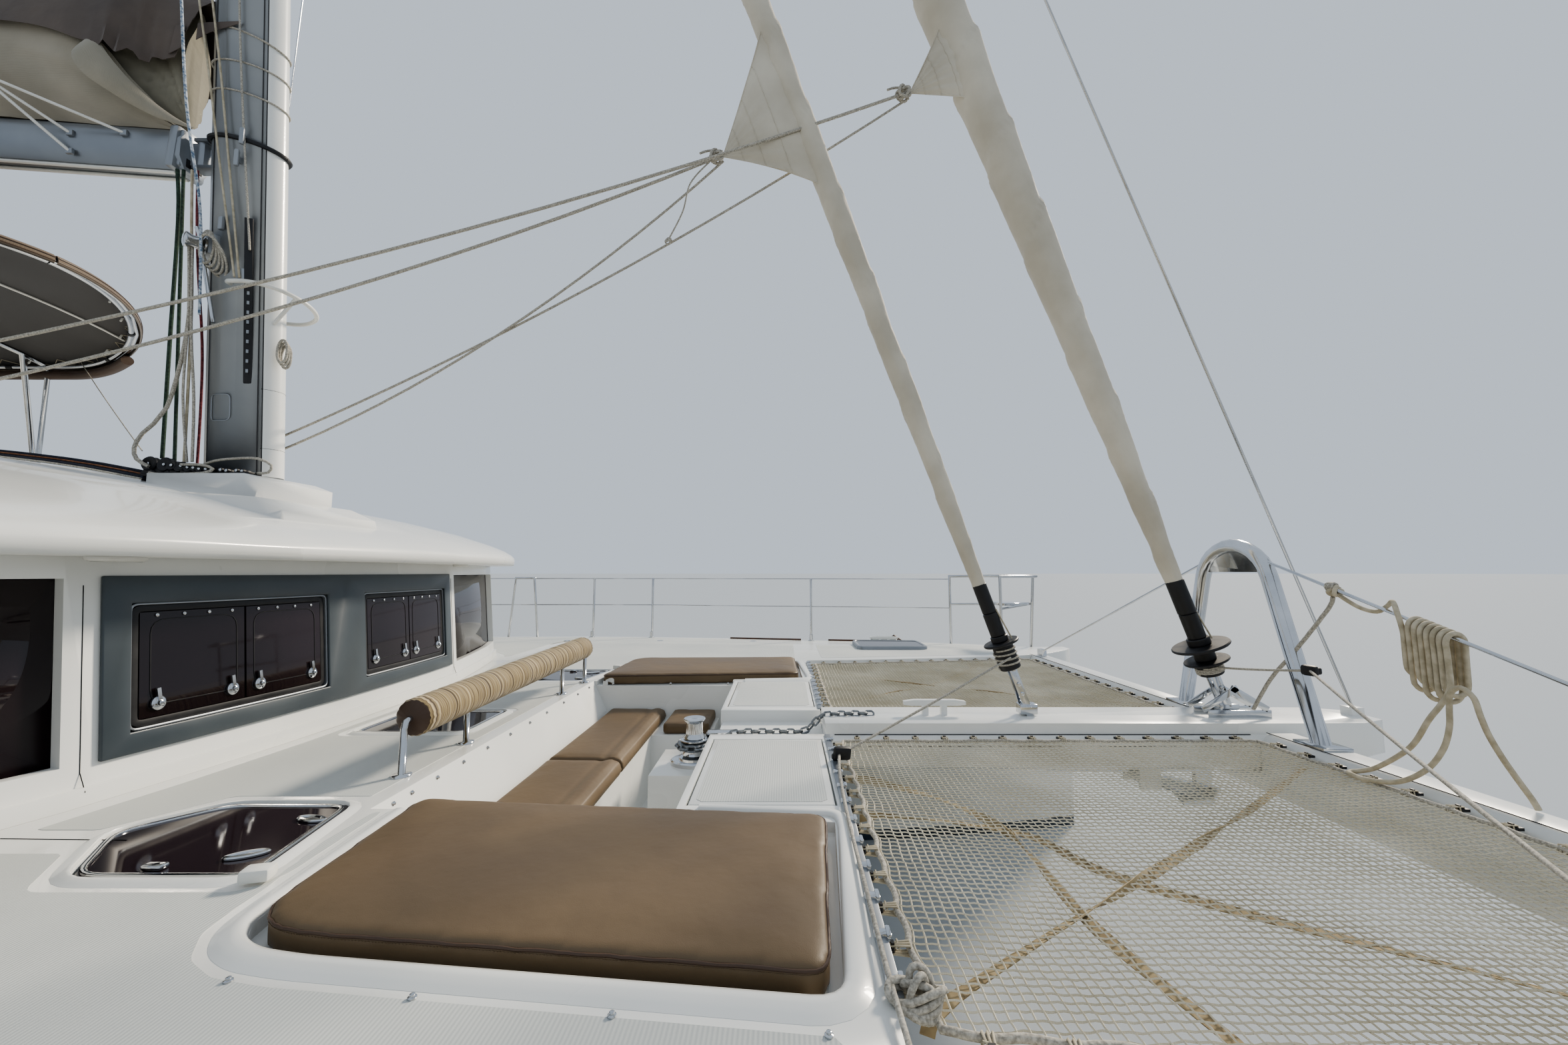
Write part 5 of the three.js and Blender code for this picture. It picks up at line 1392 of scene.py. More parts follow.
# where a point of the flat net comes to lie: waves, the pull of its lashings and its sag
def netPoint(x, y, outline, pulls, seed):
    edge = edgeDistance(x, y, outline)
    moveX = 0.0045 * rough(x, y, seed, 0.16) + 0.0016 * rough(x, y, seed + 5, 0.035)
    moveY = 0.0045 * rough(x, y, seed + 9, 0.16) + 0.0016 * rough(x, y, seed + 13, 0.035)
    if edge < 0.12:
        for px, py, ax, ay in pulls:
            if abs(px - x) < 0.13 and abs(py - y) < 0.13:
                strength = exp(-((px - x) ** 2 + (py - y) ** 2) / 0.0022)
                moveX += 0.22 * ax * strength
                moveY += 0.22 * ay * strength
    bulge = min(1.0, edge / 0.6)
    lift = -net["sag"] * bulge * (2 - bulge) + 0.003 * rough(x, y, seed + 17, 0.25)
    return x + moveX, y + moveY, net["height"] + lift


# the stretches of the line x = at (or y = at) that lie inside the outline
def insideRun(at, outline, alongX):
    cuts = []
    for i, a in enumerate(outline):
        b = outline[(i + 1) % len(outline)]
        p, q = (a[1], b[1]) if alongX else (a[0], b[0])
        if (p - at) * (q - at) < 0:
            t = (at - p) / (q - p)
            cuts.append(a[0] + (b[0] - a[0]) * t if alongX else a[1] + (b[1] - a[1]) * t)
    return sorted(cuts)


def addNet(side, sense, stride):
    outline = [(x, sense * y) for x, y in net["outline"]]
    pulls = [(x, sense * y, ax, sense * ay) for x, y, ax, ay in lashPoints(net["outline"])]
    pitch = net["pitch"]
    lines = []
    for alongX in (True, False):
        low = min(p[1 if alongX else 0] for p in outline)
        high = max(p[1 if alongX else 0] for p in outline)
        at = low + pitch * 0.5
        while at < high:
            run = insideRun(at, outline, alongX)
            if len(run) == 2:
                count = max(1, round((run[1] - run[0]) / (pitch * stride)))
                points = []
                for i in range(count + 1):
                    along = run[0] + (run[1] - run[0]) * i / count
                    x, y = (along, at) if alongX else (at, along)
                    x, y, z = netPoint(x, y, outline, pulls, sense * 3.0)
                    over = 0.0012 if (i % 2 == 0) == alongX else -0.0012
                    points.append((x, y, z + over))
                lines.append((points, net["radius"]))
            at += pitch
    cords = addTubes("trampoline_net_" + side, lines, "net_cord", "net", sides=4,
        stands=["trampoline_" + side])
    rope = []
    for x, y in spaced(outline, 0.02, closed=True):
        px, py, pz = netPoint(x, y, outline, pulls, sense * 3.0)
        rope.append((px, py, pz + 0.002))
    edging = addTubes("trampoline_rope_" + side, [(rope + rope[:1], net["rope"])], "braided_polyester", "net",
        sides=8, wobble=0.003, wave=0.05)
    # each lashing goes round the rope and out to the deck's edge, three turns of it
    turns = []
    for x, y, ax, ay in pulls:
        out = Vector((ax, ay, 0))
        along = Vector((-ay, ax, 0)).normalized()
        start = Vector((x + 0.22 * ax, y + 0.22 * ay, net["height"] + 0.002))
        reach = out * 0.76
        for k in range(3):
            shift = along * (k - 1) * 0.007
            turns.append(([start - out * 0.16 + shift + Vector((0, 0, -0.006)),
                start + shift * 1.2 + Vector((0, 0, 0.010)),
                start + reach + shift * 0.6 + Vector((0, 0, 0.008)),
                start + reach * 1.05 + shift * 0.5 + Vector((0, 0, -0.006)),
                start - out * 0.12 + shift * 1.3 + Vector((0, 0, -0.009))], 0.0023))
        turns.append(([start + reach * 0.45 + along * 0.011 + Vector((0, 0, 0.004)),
            start + reach * 0.5 - along * 0.011 + Vector((0, 0, 0.011)),
            start + reach * 0.55 - along * 0.011 + Vector((0, 0, -0.007)),
            start + reach * 0.6 + along * 0.012 + Vector((0, 0, 0.009))], 0.0023))
    ties = addTubes("trampoline_lashings_" + side, turns, "polyester_webbing", "net", sides=6)
    hooks = []
    for x, y, ax, ay in pulls:
        out = Vector((ax, ay, 0)).normalized()
        at = Vector((x + ax * 1.02, y + ay * 1.02, net["height"] + 0.004))
        hooks.append((at, out, (0, 0, 1)))
    shape = boxMesh("hook", (-0.014, 0.012, -0.009, 0.009, -0.008, 0.001),
        (-0.018, -0.012, -0.006, 0.006, -0.006, 0.012))
    addCopies("trampoline_hooks_" + side, shape, hooks, *nylon)


addNet("starboard", -1, 1)
addNet("port", 1, 2)
print("nets done")

# deck surfaces


def treeOf(names):
    corners, faces = [], []
    for name in names:
        mesh = frame["nodes"][name].data
        first = len(corners)
        corners += [vertex.co.copy() for vertex in mesh.vertices]
        faces += [[first + i for i in face.vertices] for face in mesh.polygons]
    return BVHTree.FromPolygons(corners, faces)


deckTree = treeOf(["hull_starboard", "hull_port", "bridgedeck", "locker_lid_starboard", "locker_lid_port"])
wallTree = treeOf(["coachroof_walls", "front_window_surround"])
roofTree = treeOf(["roof"])


def hitOn(tree, start, direction):
    place, normal, _, _ = tree.ray_cast(Vector(start), Vector(direction).normalized())
    return place, normal


def deckAt(x, y):
    place, _ = hitOn(deckTree, (x, y, 1.9), (0, 0, -1))
    return place.z if place else 1.62


# signed distance of many points to an outline, positive inside
def signedDistance(xs, ys, outline):
    best = np.full(xs.shape, 1e9)
    inside = np.zeros(xs.shape, dtype=bool)
    for i, (ax, ay) in enumerate(outline):
        bx, by = outline[(i + 1) % len(outline)]
        dx, dy = bx - ax, by - ay
        t = np.clip(((xs - ax) * dx + (ys - ay) * dy) / (dx * dx + dy * dy), 0, 1)
        best = np.minimum(best, np.hypot(xs - ax - dx * t, ys - ay - dy * t))
        crossing = (ay > ys) != (by > ys)
        with np.errstate(divide="ignore", invalid="ignore"):
            at = ax + (ys - ay) / (by - ay) * dx
        inside ^= crossing & (xs < at)
    return np.where(inside, best, -best)


# the part of a grid where a field is positive, cut smoothly along the field's zero line
def fieldMesh(name, xs, ys, field, heightAt):
    corners, faces = [], []
    for i in range(len(xs) - 1):
        for j in range(len(ys) - 1):
            square = [(i, j), (i + 1, j), (i + 1, j + 1), (i, j + 1)]
            values = [field[a, b] for a, b in square]
            if max(values) <= 0:
                continue
            shape = []
            for k in range(4):
                (a, b), (c, d) = square[k], square[(k + 1) % 4]
                v, w = values[k], values[(k + 1) % 4]
                if v > 0:
                    shape.append((xs[a], ys[b]))
                if (v > 0) != (w > 0):
                    t = v / (v - w)
                    shape.append((xs[a] + (xs[c] - xs[a]) * t, ys[b] + (ys[d] - ys[b]) * t))
            if len(shape) < 3:
                continue
            first = len(corners)
            corners += [(x, y, heightAt(x, y)) for x, y in shape]
            faces.append(tuple(range(first, first + len(shape))))
    data = meshFrom(name, corners, faces)
    mesh = bmesh.new()
    mesh.from_mesh(data)
    bmesh.ops.remove_doubles(mesh, verts=mesh.verts, dist=1e-4)
    rim = [edge for edge in mesh.edges if edge.is_boundary]
    skirt = bmesh.ops.extrude_edge_only(mesh, edges=rim)["geom"]
    for vertex in skirt:
        if isinstance(vertex, bmesh.types.BMVert):
            vertex.co.z -= deck["sink"]
    bmesh.ops.recalc_face_normals(mesh, faces=mesh.faces)
    mesh.to_mesh(data)
    mesh.free()
    if data.polygons and sum(face.normal.z * face.area for face in data.polygons) < 0:
        data.flip_normals()
    return data


deck = {
    "raise": 0.0012,
    "sink": 0.0035,
    "margin": 0.045,
    # outer edge of the side deck, on the starboard side, from the bow aft
    "sheer": [(6.30, -3.10), (6.0, -3.24), (5.5, -3.38), (5.0, -3.47), (4.5, -3.55), (4.0, -3.63),
              (3.5, -3.73), (3.0, -3.81), (2.5, -3.87), (1.5, -3.90), (-1.0, -3.90), (-3.0, -3.88),
              (-4.2, -3.85), (-4.95, -3.81)],
    # foot of the coachroof from the groove aft, and the corners of the deck's well and hatches
    "coachroof": [(-4.95, -2.72), (-2.5, -2.72), (0.6, -2.66), (1.1, -2.58), (1.40, -2.47), (1.60, -2.34),
                  (1.76, -2.18), (1.88, -1.84), (1.985, -1.48), (2.04, -1.255)],
    "hatch": [(2.545, -1.413), (2.370, -1.180), (2.516, -0.994), (2.888, -0.994), (2.964, -1.413)],
    "tray": [(3.092, -1.008), (3.123, -1.522), (3.135, -1.592), (3.173, -1.643), (3.234, -1.676),
             (3.336, -1.696), (4.335, -1.804), (4.385, -1.110)],
}


def mirrored(outline):
    return [(x, -y) for x, y in outline]


def addNonSkid(name, outline, holes, step, margin=deck["margin"]):
    low = np.min(np.array(outline), axis=0)
    high = np.max(np.array(outline), axis=0)
    xs = np.arange(low[0] - step, high[0] + 2 * step, step)
    ys = np.arange(low[1] - step, high[1] + 2 * step, step)
    gridX, gridY = np.meshgrid(xs, ys, indexing="ij")
    field = signedDistance(gridX, gridY, outline)
    for hole, gap in holes:
        field = np.minimum(field, -signedDistance(gridX, gridY, hole) - gap)
    field -= margin
    data = fieldMesh(name, xs, ys, field, lambda x, y: deckAt(x, y) + deck["raise"])
    return addPiece(name, data, "nonskid_gelcoat", "gelcoat", angle=30)


def addDeckPanels():
    sheer, foot = deck["sheer"], deck["coachroof"]
    groove = [(2.04, -1.255), (2.46, -1.255)]
    holes = [(deck["hatch"], 0.018), (deck["tray"], 0.028)]
    fore = [(4.365, -3.57), (4.0, -3.63), (3.5, -3.73), (3.0, -3.81), (2.5, -3.87), (1.95, -3.89),
        (1.95, -1.66), (1.985, -1.48), *groove, (2.95, -1.255), (2.95, -1.0), (4.365, -1.0)]
    side = [p for p in sheer if p[0] < 1.9] + [p for p in foot if p[0] < 1.9]
    side = [(1.93, -3.89)] + side + [(1.93, -1.68)]
    bow = [(6.30, -3.10), (6.0, -3.24), (5.5, -3.38), (5.0, -3.47), (4.50, -3.55), (4.50, -1.98),
        (5.4, -2.09), (6.30, -2.22)]
    for name, turn, step in (("starboard", list, 0.02), ("port", mirrored, 0.03)):
        addNonSkid("nonskid_fore_" + name, turn(fore), [(turn(hole), gap) for hole, gap in holes], step)
        addNonSkid("nonskid_side_" + name, turn(side), [], 0.06)
        addNonSkid("nonskid_bow_" + name, turn(bow), [], 0.04)
    middle = [(2.095, -1.2), (2.33, -1.2), (2.48, -0.96), (2.935, -0.96), (2.93, 0.96), (2.48, 0.96),
        (2.33, 1.2), (2.095, 1.2), (2.14, 0.8), (2.165, 0.35), (2.165, -0.35), (2.14, -0.8)]
    hole = [(2.29, -0.2), (2.79, -0.2), (2.79, 0.2), (2.29, 0.2)]
    addNonSkid("nonskid_middle", middle, [(hole, 0.018)], 0.02, 0.035)
    for name, sense in bothSides:
        lid = [(3.93, sense * 0.3), (4.39, sense * 0.3), (4.39, sense * 0.99), (3.93, sense * 0.99)]
        panel = addNonSkid("nonskid_locker_lid_" + name, lid, [], 0.02, 0.022)
        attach(panel, "locker_lid_%s_body" % name)


addDeckPanels()
print("non-skid done")


# a moulding that follows a level outline: profile of (distance outwards, height)
def addMoulding(name, outline, profile, height, look, slotName, body="root", closed=True, radius=0.05):
    points = [Vector(p) for p in (rounded(outline, radius) if closed else outline)]
    path = spaced(points, 0.03, closed)
    area = sum(a.x * b.y - b.x * a.y for a, b in zip(points, points[1:] + points[:1]))
    sense = 1 if area > 0 else -1
    rows = []
    count = len(path)
    for i, point in enumerate(path):
        before = path[i - 1] if closed or i else path[i]
        after = path[(i + 1) % count] if closed or i < count - 1 else path[i]
        along = (after - before).normalized()
        outward = Vector((along.y, -along.x)) * sense
        rows.append([(point.x + outward.x * out, point.y + outward.y * out, height + up) for out,
            up in profile])
    if closed:
        rows.append(rows[0])
    data = cleaned(gridMesh(name, rows, around=True), 1e-5, fill=not closed)
    return addPiece(name, data, look, slotName, body, 50)


mouldings = {
    "trayRim": [(-0.003, -0.02), (-0.003, 0.004), (0.002, 0.011), (0.012, 0.0145), (0.026, 0.013),
                (0.042, 0.006), (0.054, 0.0005), (0.054, -0.004)],
    "hatchLip": [(0.012, -0.012), (0.012, 0.004), (0.015, 0.009), (0.022, 0.009), (0.034, 0.004),
                 (0.044, 0.0004), (0.044, -0.004)],
    "hatchFrame": [(-0.014, 0.0), (-0.013, 0.003), (-0.006, 0.0045), (-0.001, 0.003), (-0.0005, -0.005),
                   (-0.005, -0.006), (-0.014, -0.003)],
}


def addDeckMouldings():
    for name, turn in (("starboard", list), ("port", mirrored)):
        # open towards the seats
        path = [(3.089, -1.045), *deck["tray"][1:-1], (4.385, -1.15), (4.38, -1.075), (3.97, -1.04)]
        smooth = [tuple(p) for p in roundedOpen([Vector(p) for p in turn(path)], 0.06)]
        if name == "port":
            smooth = smooth[::-1]
        addMoulding("tray_rim_" + name, smooth, mouldings["trayRim"], 1.62, "polyester_gelcoat", "gelcoat",
            closed=False)
        hatch = turn(deck["hatch"])
        addMoulding("hatch_lip_" + name, hatch, mouldings["hatchLip"], 1.62, "polyester_gelcoat", "gelcoat",
            radius=0.06)
        body = "deck_hatch_%s_body" % name
        addMoulding("hatch_frame_" + name, hatch, mouldings["hatchFrame"], 1.622, *stainless, body,
            radius=0.055)
    middle = [(2.29, -0.2), (2.79, -0.2), (2.79, 0.2), (2.29, 0.2)]
    addMoulding("hatch_lip_middle", middle, mouldings["hatchLip"], 1.62, "polyester_gelcoat", "gelcoat")
    addMoulding("hatch_frame_middle", middle, mouldings["hatchFrame"], 1.622, *stainless,
        "deck_hatch_middle_body")


def roundedOpen(points, radius, steps=5):
    result = [points[0]]
    for before, point, after in zip(points, points[1:], points[2:]):
        reach = min(radius, (before - point).length * 0.45, (after - point).length * 0.45)
        start = point + (before - point).normalized() * reach
        end = point + (after - point).normalized() * reach
        for step in range(steps + 1):
            t = step / steps
            result.append(start * (1 - t) ** 2 + point * 2 * t * (1 - t) + end * t ** 2)
    return result + [points[-1]]


addDeckMouldings()
print("deck mouldings done")

# front windows

window = {
    "rake": 0.088,
    "low": 1.808,
    "high": 2.235,
    "from": 0.117,
    "to": 0.885,
}


def windowPoint(y, z, out=0.0):
    x = 2.1 - 0.065 * y * y - window["rake"] * (z - 1.8)
    return Vector((x + out, y, z))


# a bar along the surround's curved face, given as points (y, z)
def faceBar(points, half, low, high, closed=True):
    rows = []
    count = len(points)
    for i, (y, z) in enumerate(points):
        before = points[i - 1] if closed or i else points[i]
        after = points[(i + 1) % count] if closed or i < count - 1 else points[i]
        along = Vector((after[0] - before[0], after[1] - before[1])).normalized()
        side = Vector((along.y, -along.x))
        row = []
        for share, out in ((-1, low), (-1, high), (-0.6, high + 0.0012), (0.6, high + 0.0012), (1, high),
                (1, low)):
            row.append(windowPoint(y + side.x * half * share, z + side.y * half * share, out))
        rows.append(row)
    if closed:
        rows.append(rows[0])
    return rows


def paneOutline(y0, y1, z0, z1, radius=0.025):
    corners = rounded([(y0, z0), (y1, z0), (y1, z1), (y0, z1)], radius, 4)
    return [tuple(point) for point in spaced(corners, 0.05, closed=True)]


def addWindows():
    studs, handles = [], []
    for sense in (-1, 1):
        name = "starboard" if sense < 0 else "port"
        y0, y1 = sorted((sense * window["from"], sense * window["to"]))
        z0, z1 = window["low"], window["high"]
        outline = paneOutline(y0 + 0.004, y1 - 0.004, z0 + 0.004, z1 - 0.004)
        rim = gridMesh("rim", faceBar(outline, 0.0035, -0.03, 0.0015), around=True)
        addPiece("window_rim_" + name, rim, *aluminium, angle=40)
        outline = paneOutline(y0 + 0.02, y1 - 0.02, z0 + 0.02, z1 - 0.02)
        seal = gridMesh("seal", faceBar(outline, 0.011, -0.04, -0.006), around=True)
        addPiece("window_seal_" + name, seal, *nylon, angle=40)
        middle = (y0 + y1) / 2
        for k, (a, b) in enumerate(((y0 + 0.034, middle - 0.004), (middle + 0.004, y1 - 0.034))):
            rows = []
            for i in range(13):
                z = z0 + 0.034 + (z1 - z0 - 0.068) * i / 12
                rows.append([windowPoint(a + (b - a) * j / 12, z, -0.005) for j in range(13)])
            data = thickened("pane", rows, 0.006, offset=-1)
            addPiece("window_pane_%s_%d" % (name, k), data, "tinted_acrylic", "glass", angle=40)
            inner = paneOutline(a + 0.03, b - 0.03, z0 + 0.075, z1 - 0.06, 0.05)
            line = gridMesh("line", faceBar(inner, 0.0018, -0.008, -0.0042), around=True)
            addPiece("window_line_%s_%d" % (name, k), line, *nylon, angle=40)
            for share in (0.14, 0.38, 0.62, 0.86):
                studs.append((windowPoint(a + (b - a) * share, z1 - 0.045, -0.0045), (0, 1, 0), (1, 0, 0.09)))
            for share in (0.15, 0.86):
                handles.append((windowPoint(a + (b - a) * share, z0 + 0.078, -0.0045), (0, 1, 0),
                    (1, 0, 0.09)))
    stud = turnedMesh("stud", [(0.0062, 0.0), (0.0062, 0.0025), (0.0035, 0.0042)], 12)
    addCopies("window_studs", stud, studs, *stainless)
    knob = turnedMesh("knob", [(0.024, 0.0), (0.024, 0.006), (0.019, 0.010), (0.011, 0.011), (0.0095, 0.018),
        (0.006, 0.02)], 20)
    addCopies("window_latches", knob, handles, *stainless)
    lever = boxMesh("lever", (-0.006, 0.006, 0.0, 0.052, 0.006, 0.013))
    levers = [(place, (0, 1, 0.12), (1, 0, 0.09)) for place, _, _ in handles]
    addCopies("window_latch_levers", lever, levers, *stainless)


addWindows()
print("windows done")

# running rigging

# the four sheets of the furled sails, taut; ends where they leave for the roof and the mast's foot
rigging = {
    "sheet": 0.008,
    "thin": 0.0042,
    "stayClew": (3.907, -0.012, 4.533),
    "genoaClew": (4.902, -0.012, 4.893),
    "mastPort": [(1.50, 0.125, 3.02), (1.50, 0.125, 2.95)],
}


def addSheets():
    stay, genoa = rigging["stayClew"], rigging["genoaClew"]
    aft = []
    for start, through in ((genoa, (0.61, -0.30, 3.535)), (stay, (0.64, -0.30, 3.325))):
        way = Vector(through) - Vector(start)
        place, _ = hitOn(roofTree, through, way)
        aft.append(place or Vector(start) + way * 1.6)
    lines = [(taut(genoa, aft[0], 0.17), rigging["sheet"]), (taut(stay, aft[1], 0.15), rigging["sheet"])]
    turnAt = rigging["mastPort"]
    for start, foot, sag in ((genoa, turnAt[0], 0.10), (stay, turnAt[1], 0.16)):
        lines.append((taut((start[0], 0.02, start[2] - 0.01), foot, sag), rigging["thin"] * 1.45))
    link = smoothPath([(3.84, -0.01, 4.50), (3.74, -0.02, 4.37), (3.70, -0.01, 4.22), (3.62, 0.02, 4.08)])
    lines.append((link, rigging["thin"]))
    addTubes("headsail_sheets", lines, *braid, sides=8)
    knots = []
    for at, size in ((stay, 0.034), (genoa, 0.038)):
        near = Vector(at) + Vector((-0.035, 0.0, -0.01))
        knots.append((knotPath(near, size, 3, 0.4), rigging["sheet"]))
        knots.append((smoothPath([near, near + Vector((0.03, 0.012, 0.04)),
            near + Vector((-0.04, 0.02, 0.05)), near + Vector((-0.085, 0.0, 0.02))]), 0.006))
    knots.append((knotPath((3.62, 0.02, 4.08), 0.02, 2, 1.1), rigging["thin"]))
    addTubes("sheet_knots", knots, *braid, sides=8, wobble=0.004, wave=0.03)
    blocks = []
    for end, start in zip(aft, (genoa, stay)):
        way = Vector(start) - end
        blocks.append(softBox("block", (0.085, 0.03, 0.05),
            end + way.normalized() * 0.03 + Vector((0, 0, 0.012)), 0.012, (0, 0, 1), way))
    for x, y, z in turnAt:
        blocks.append(softBox("block", (0.06, 0.026, 0.04), (x, y, z - 0.005), 0.01, (0, 0, 1), (1, 0, 0.3)))
    addPiece("sheet_blocks", joinedMesh("sheet_blocks", blocks), *nylon)


addSheets()

# columns: look, radius, path. The paths run on the mast's starboard side and aft of it.
halyards = [("green_braid", 0.0084, [(1.085, -0.055, 4.42), (1.12, -0.06, 4.14), (1.138, -0.06, 3.5),
    (1.157, -0.06, 2.90)]), ("green_braid", 0.0078,
    [(1.112, -0.05, 4.42), (1.14, -0.06, 4.14), (1.180, -0.06, 3.5), (1.225, -0.065, 2.88)]),
    ("polyester_webbing", 0.0062, [(1.156, -0.05, 4.42), (1.215, -0.08, 4.08), (1.269, -0.1, 3.74),
    (1.30, -0.11, 3.38), (1.31, -0.10, 2.87)]),
    ("red_braid", 0.006, [(1.18, -0.045, 4.42), (1.235, -0.075, 4.11), (1.25, -0.06, 3.85),
    (1.27, -0.03, 3.5), (1.26, 0.0, 3.2), (1.25, 0.02, 2.83)]),
    ("blue_braid", 0.006, [(0.93, -0.56, 8.65), (1.10, -0.45, 7.1), (1.27, -0.34, 5.6), (1.37, -0.30, 4.6),
    (1.38, -0.2, 4.1), (1.36, -0.14, 3.6)]), ("polyester_webbing", 0.005,
    [(1.04, -0.105, 8.5), (1.07, -0.118, 7.2), (1.10, -0.13, 5.9), (1.30, -0.13, 4.8), (1.50, -0.125, 3.80)]),
    ("polyester_webbing", 0.005, [(1.10, -0.105, 8.5), (1.135, -0.115, 7.2), (1.17, -0.125, 5.9),
    (1.35, -0.12, 4.8), (1.52, -0.12, 3.80)]), ("braided_polyester", 0.0048,
    [(1.18, -0.105, 8.5), (1.255, -0.11, 7.3), (1.33, -0.115, 6.2), (1.40, -0.115, 5.2),
    (1.55, -0.11, 3.95)]), ("braided_polyester", 0.0085,
    [(1.27, -0.13, 4.0), (1.285, -0.12, 3.735), (1.285, -0.125, 3.455), (1.222, -0.12, 3.14),
    (1.115, -0.12, 3.01), (1.083, -0.12, 2.94), (1.10, -0.12, 2.885), (1.15, -0.11, 2.85)]),
    ("braided_polyester", 0.006, [(1.28, -0.13, 4.0), (1.31, -0.125, 3.53), (1.355, -0.125, 3.18),
    (1.375, -0.125, 2.87)]), ("braided_polyester", 0.0055,
    [(1.27, -0.14, 4.0), (1.295, -0.13, 3.6), (1.30, -0.125, 3.2), (1.345, -0.12, 2.87)])]


def addHalyards():
    byLook = {}
    for look, radius, points in halyards:
        byLook.setdefault(look, []).append((smoothPath(points, 0.08), radius))
    for look, lines in byLook.items():
        addTubes("halyards_" + look, lines, look, "canvas", sides=8)


addHalyards()


def mastPoint(z, angle, out=0.0):
    a = radians(angle)
    return Vector((mastX(z) + (0.18 + out) * cos(a), (0.1 + out) * sin(a), z))


def mastOut(z, angle):
    return mastPoint(z, angle, 0.1) - mastPoint(z, angle)


# what is on the mast: angles go round it from its front, starboard being -90
mastFittings = {
    "track": (-60, 3.27, 4.12),
    "strips": [-38, -45, -128],
    "plate": (-101, 3.147, 17, 0.066),
    "strap": [(1.29, -0.125, 4.06), (1.318, -0.128, 3.985), (1.372, -0.128, 3.756), (1.41, -0.12, 3.568)],
    # lashings round it: heights aft and in front, radius of the line
    "wraps": [(5.23, 5.10, 0.005), (5.02, 4.95, 0.0045), (4.86, 4.78, 0.0045), (4.60, 4.52, 0.011)],
    "bands": [3.25, 2.95],
    # height and angle
    "cleats": ((4.55, -70), (4.43, -76)),
    "eyes": ((4.09, -100), (3.82, -66)),
    "winch": (3.98, -128),
    "longCoil": (3.95, -106),
    "shortCoil": (3.45, -12),
    # the guard loop in front, between its two ends on the mast
    "guard": [(1.60, -0.155, 3.76), (1.69, -0.135, 3.745), (1.745, -0.08, 3.73), (1.765, 0.0, 3.715),
              (1.745, 0.08, 3.70), (1.69, 0.135, 3.69), (1.60, 0.155, 3.68)],
}


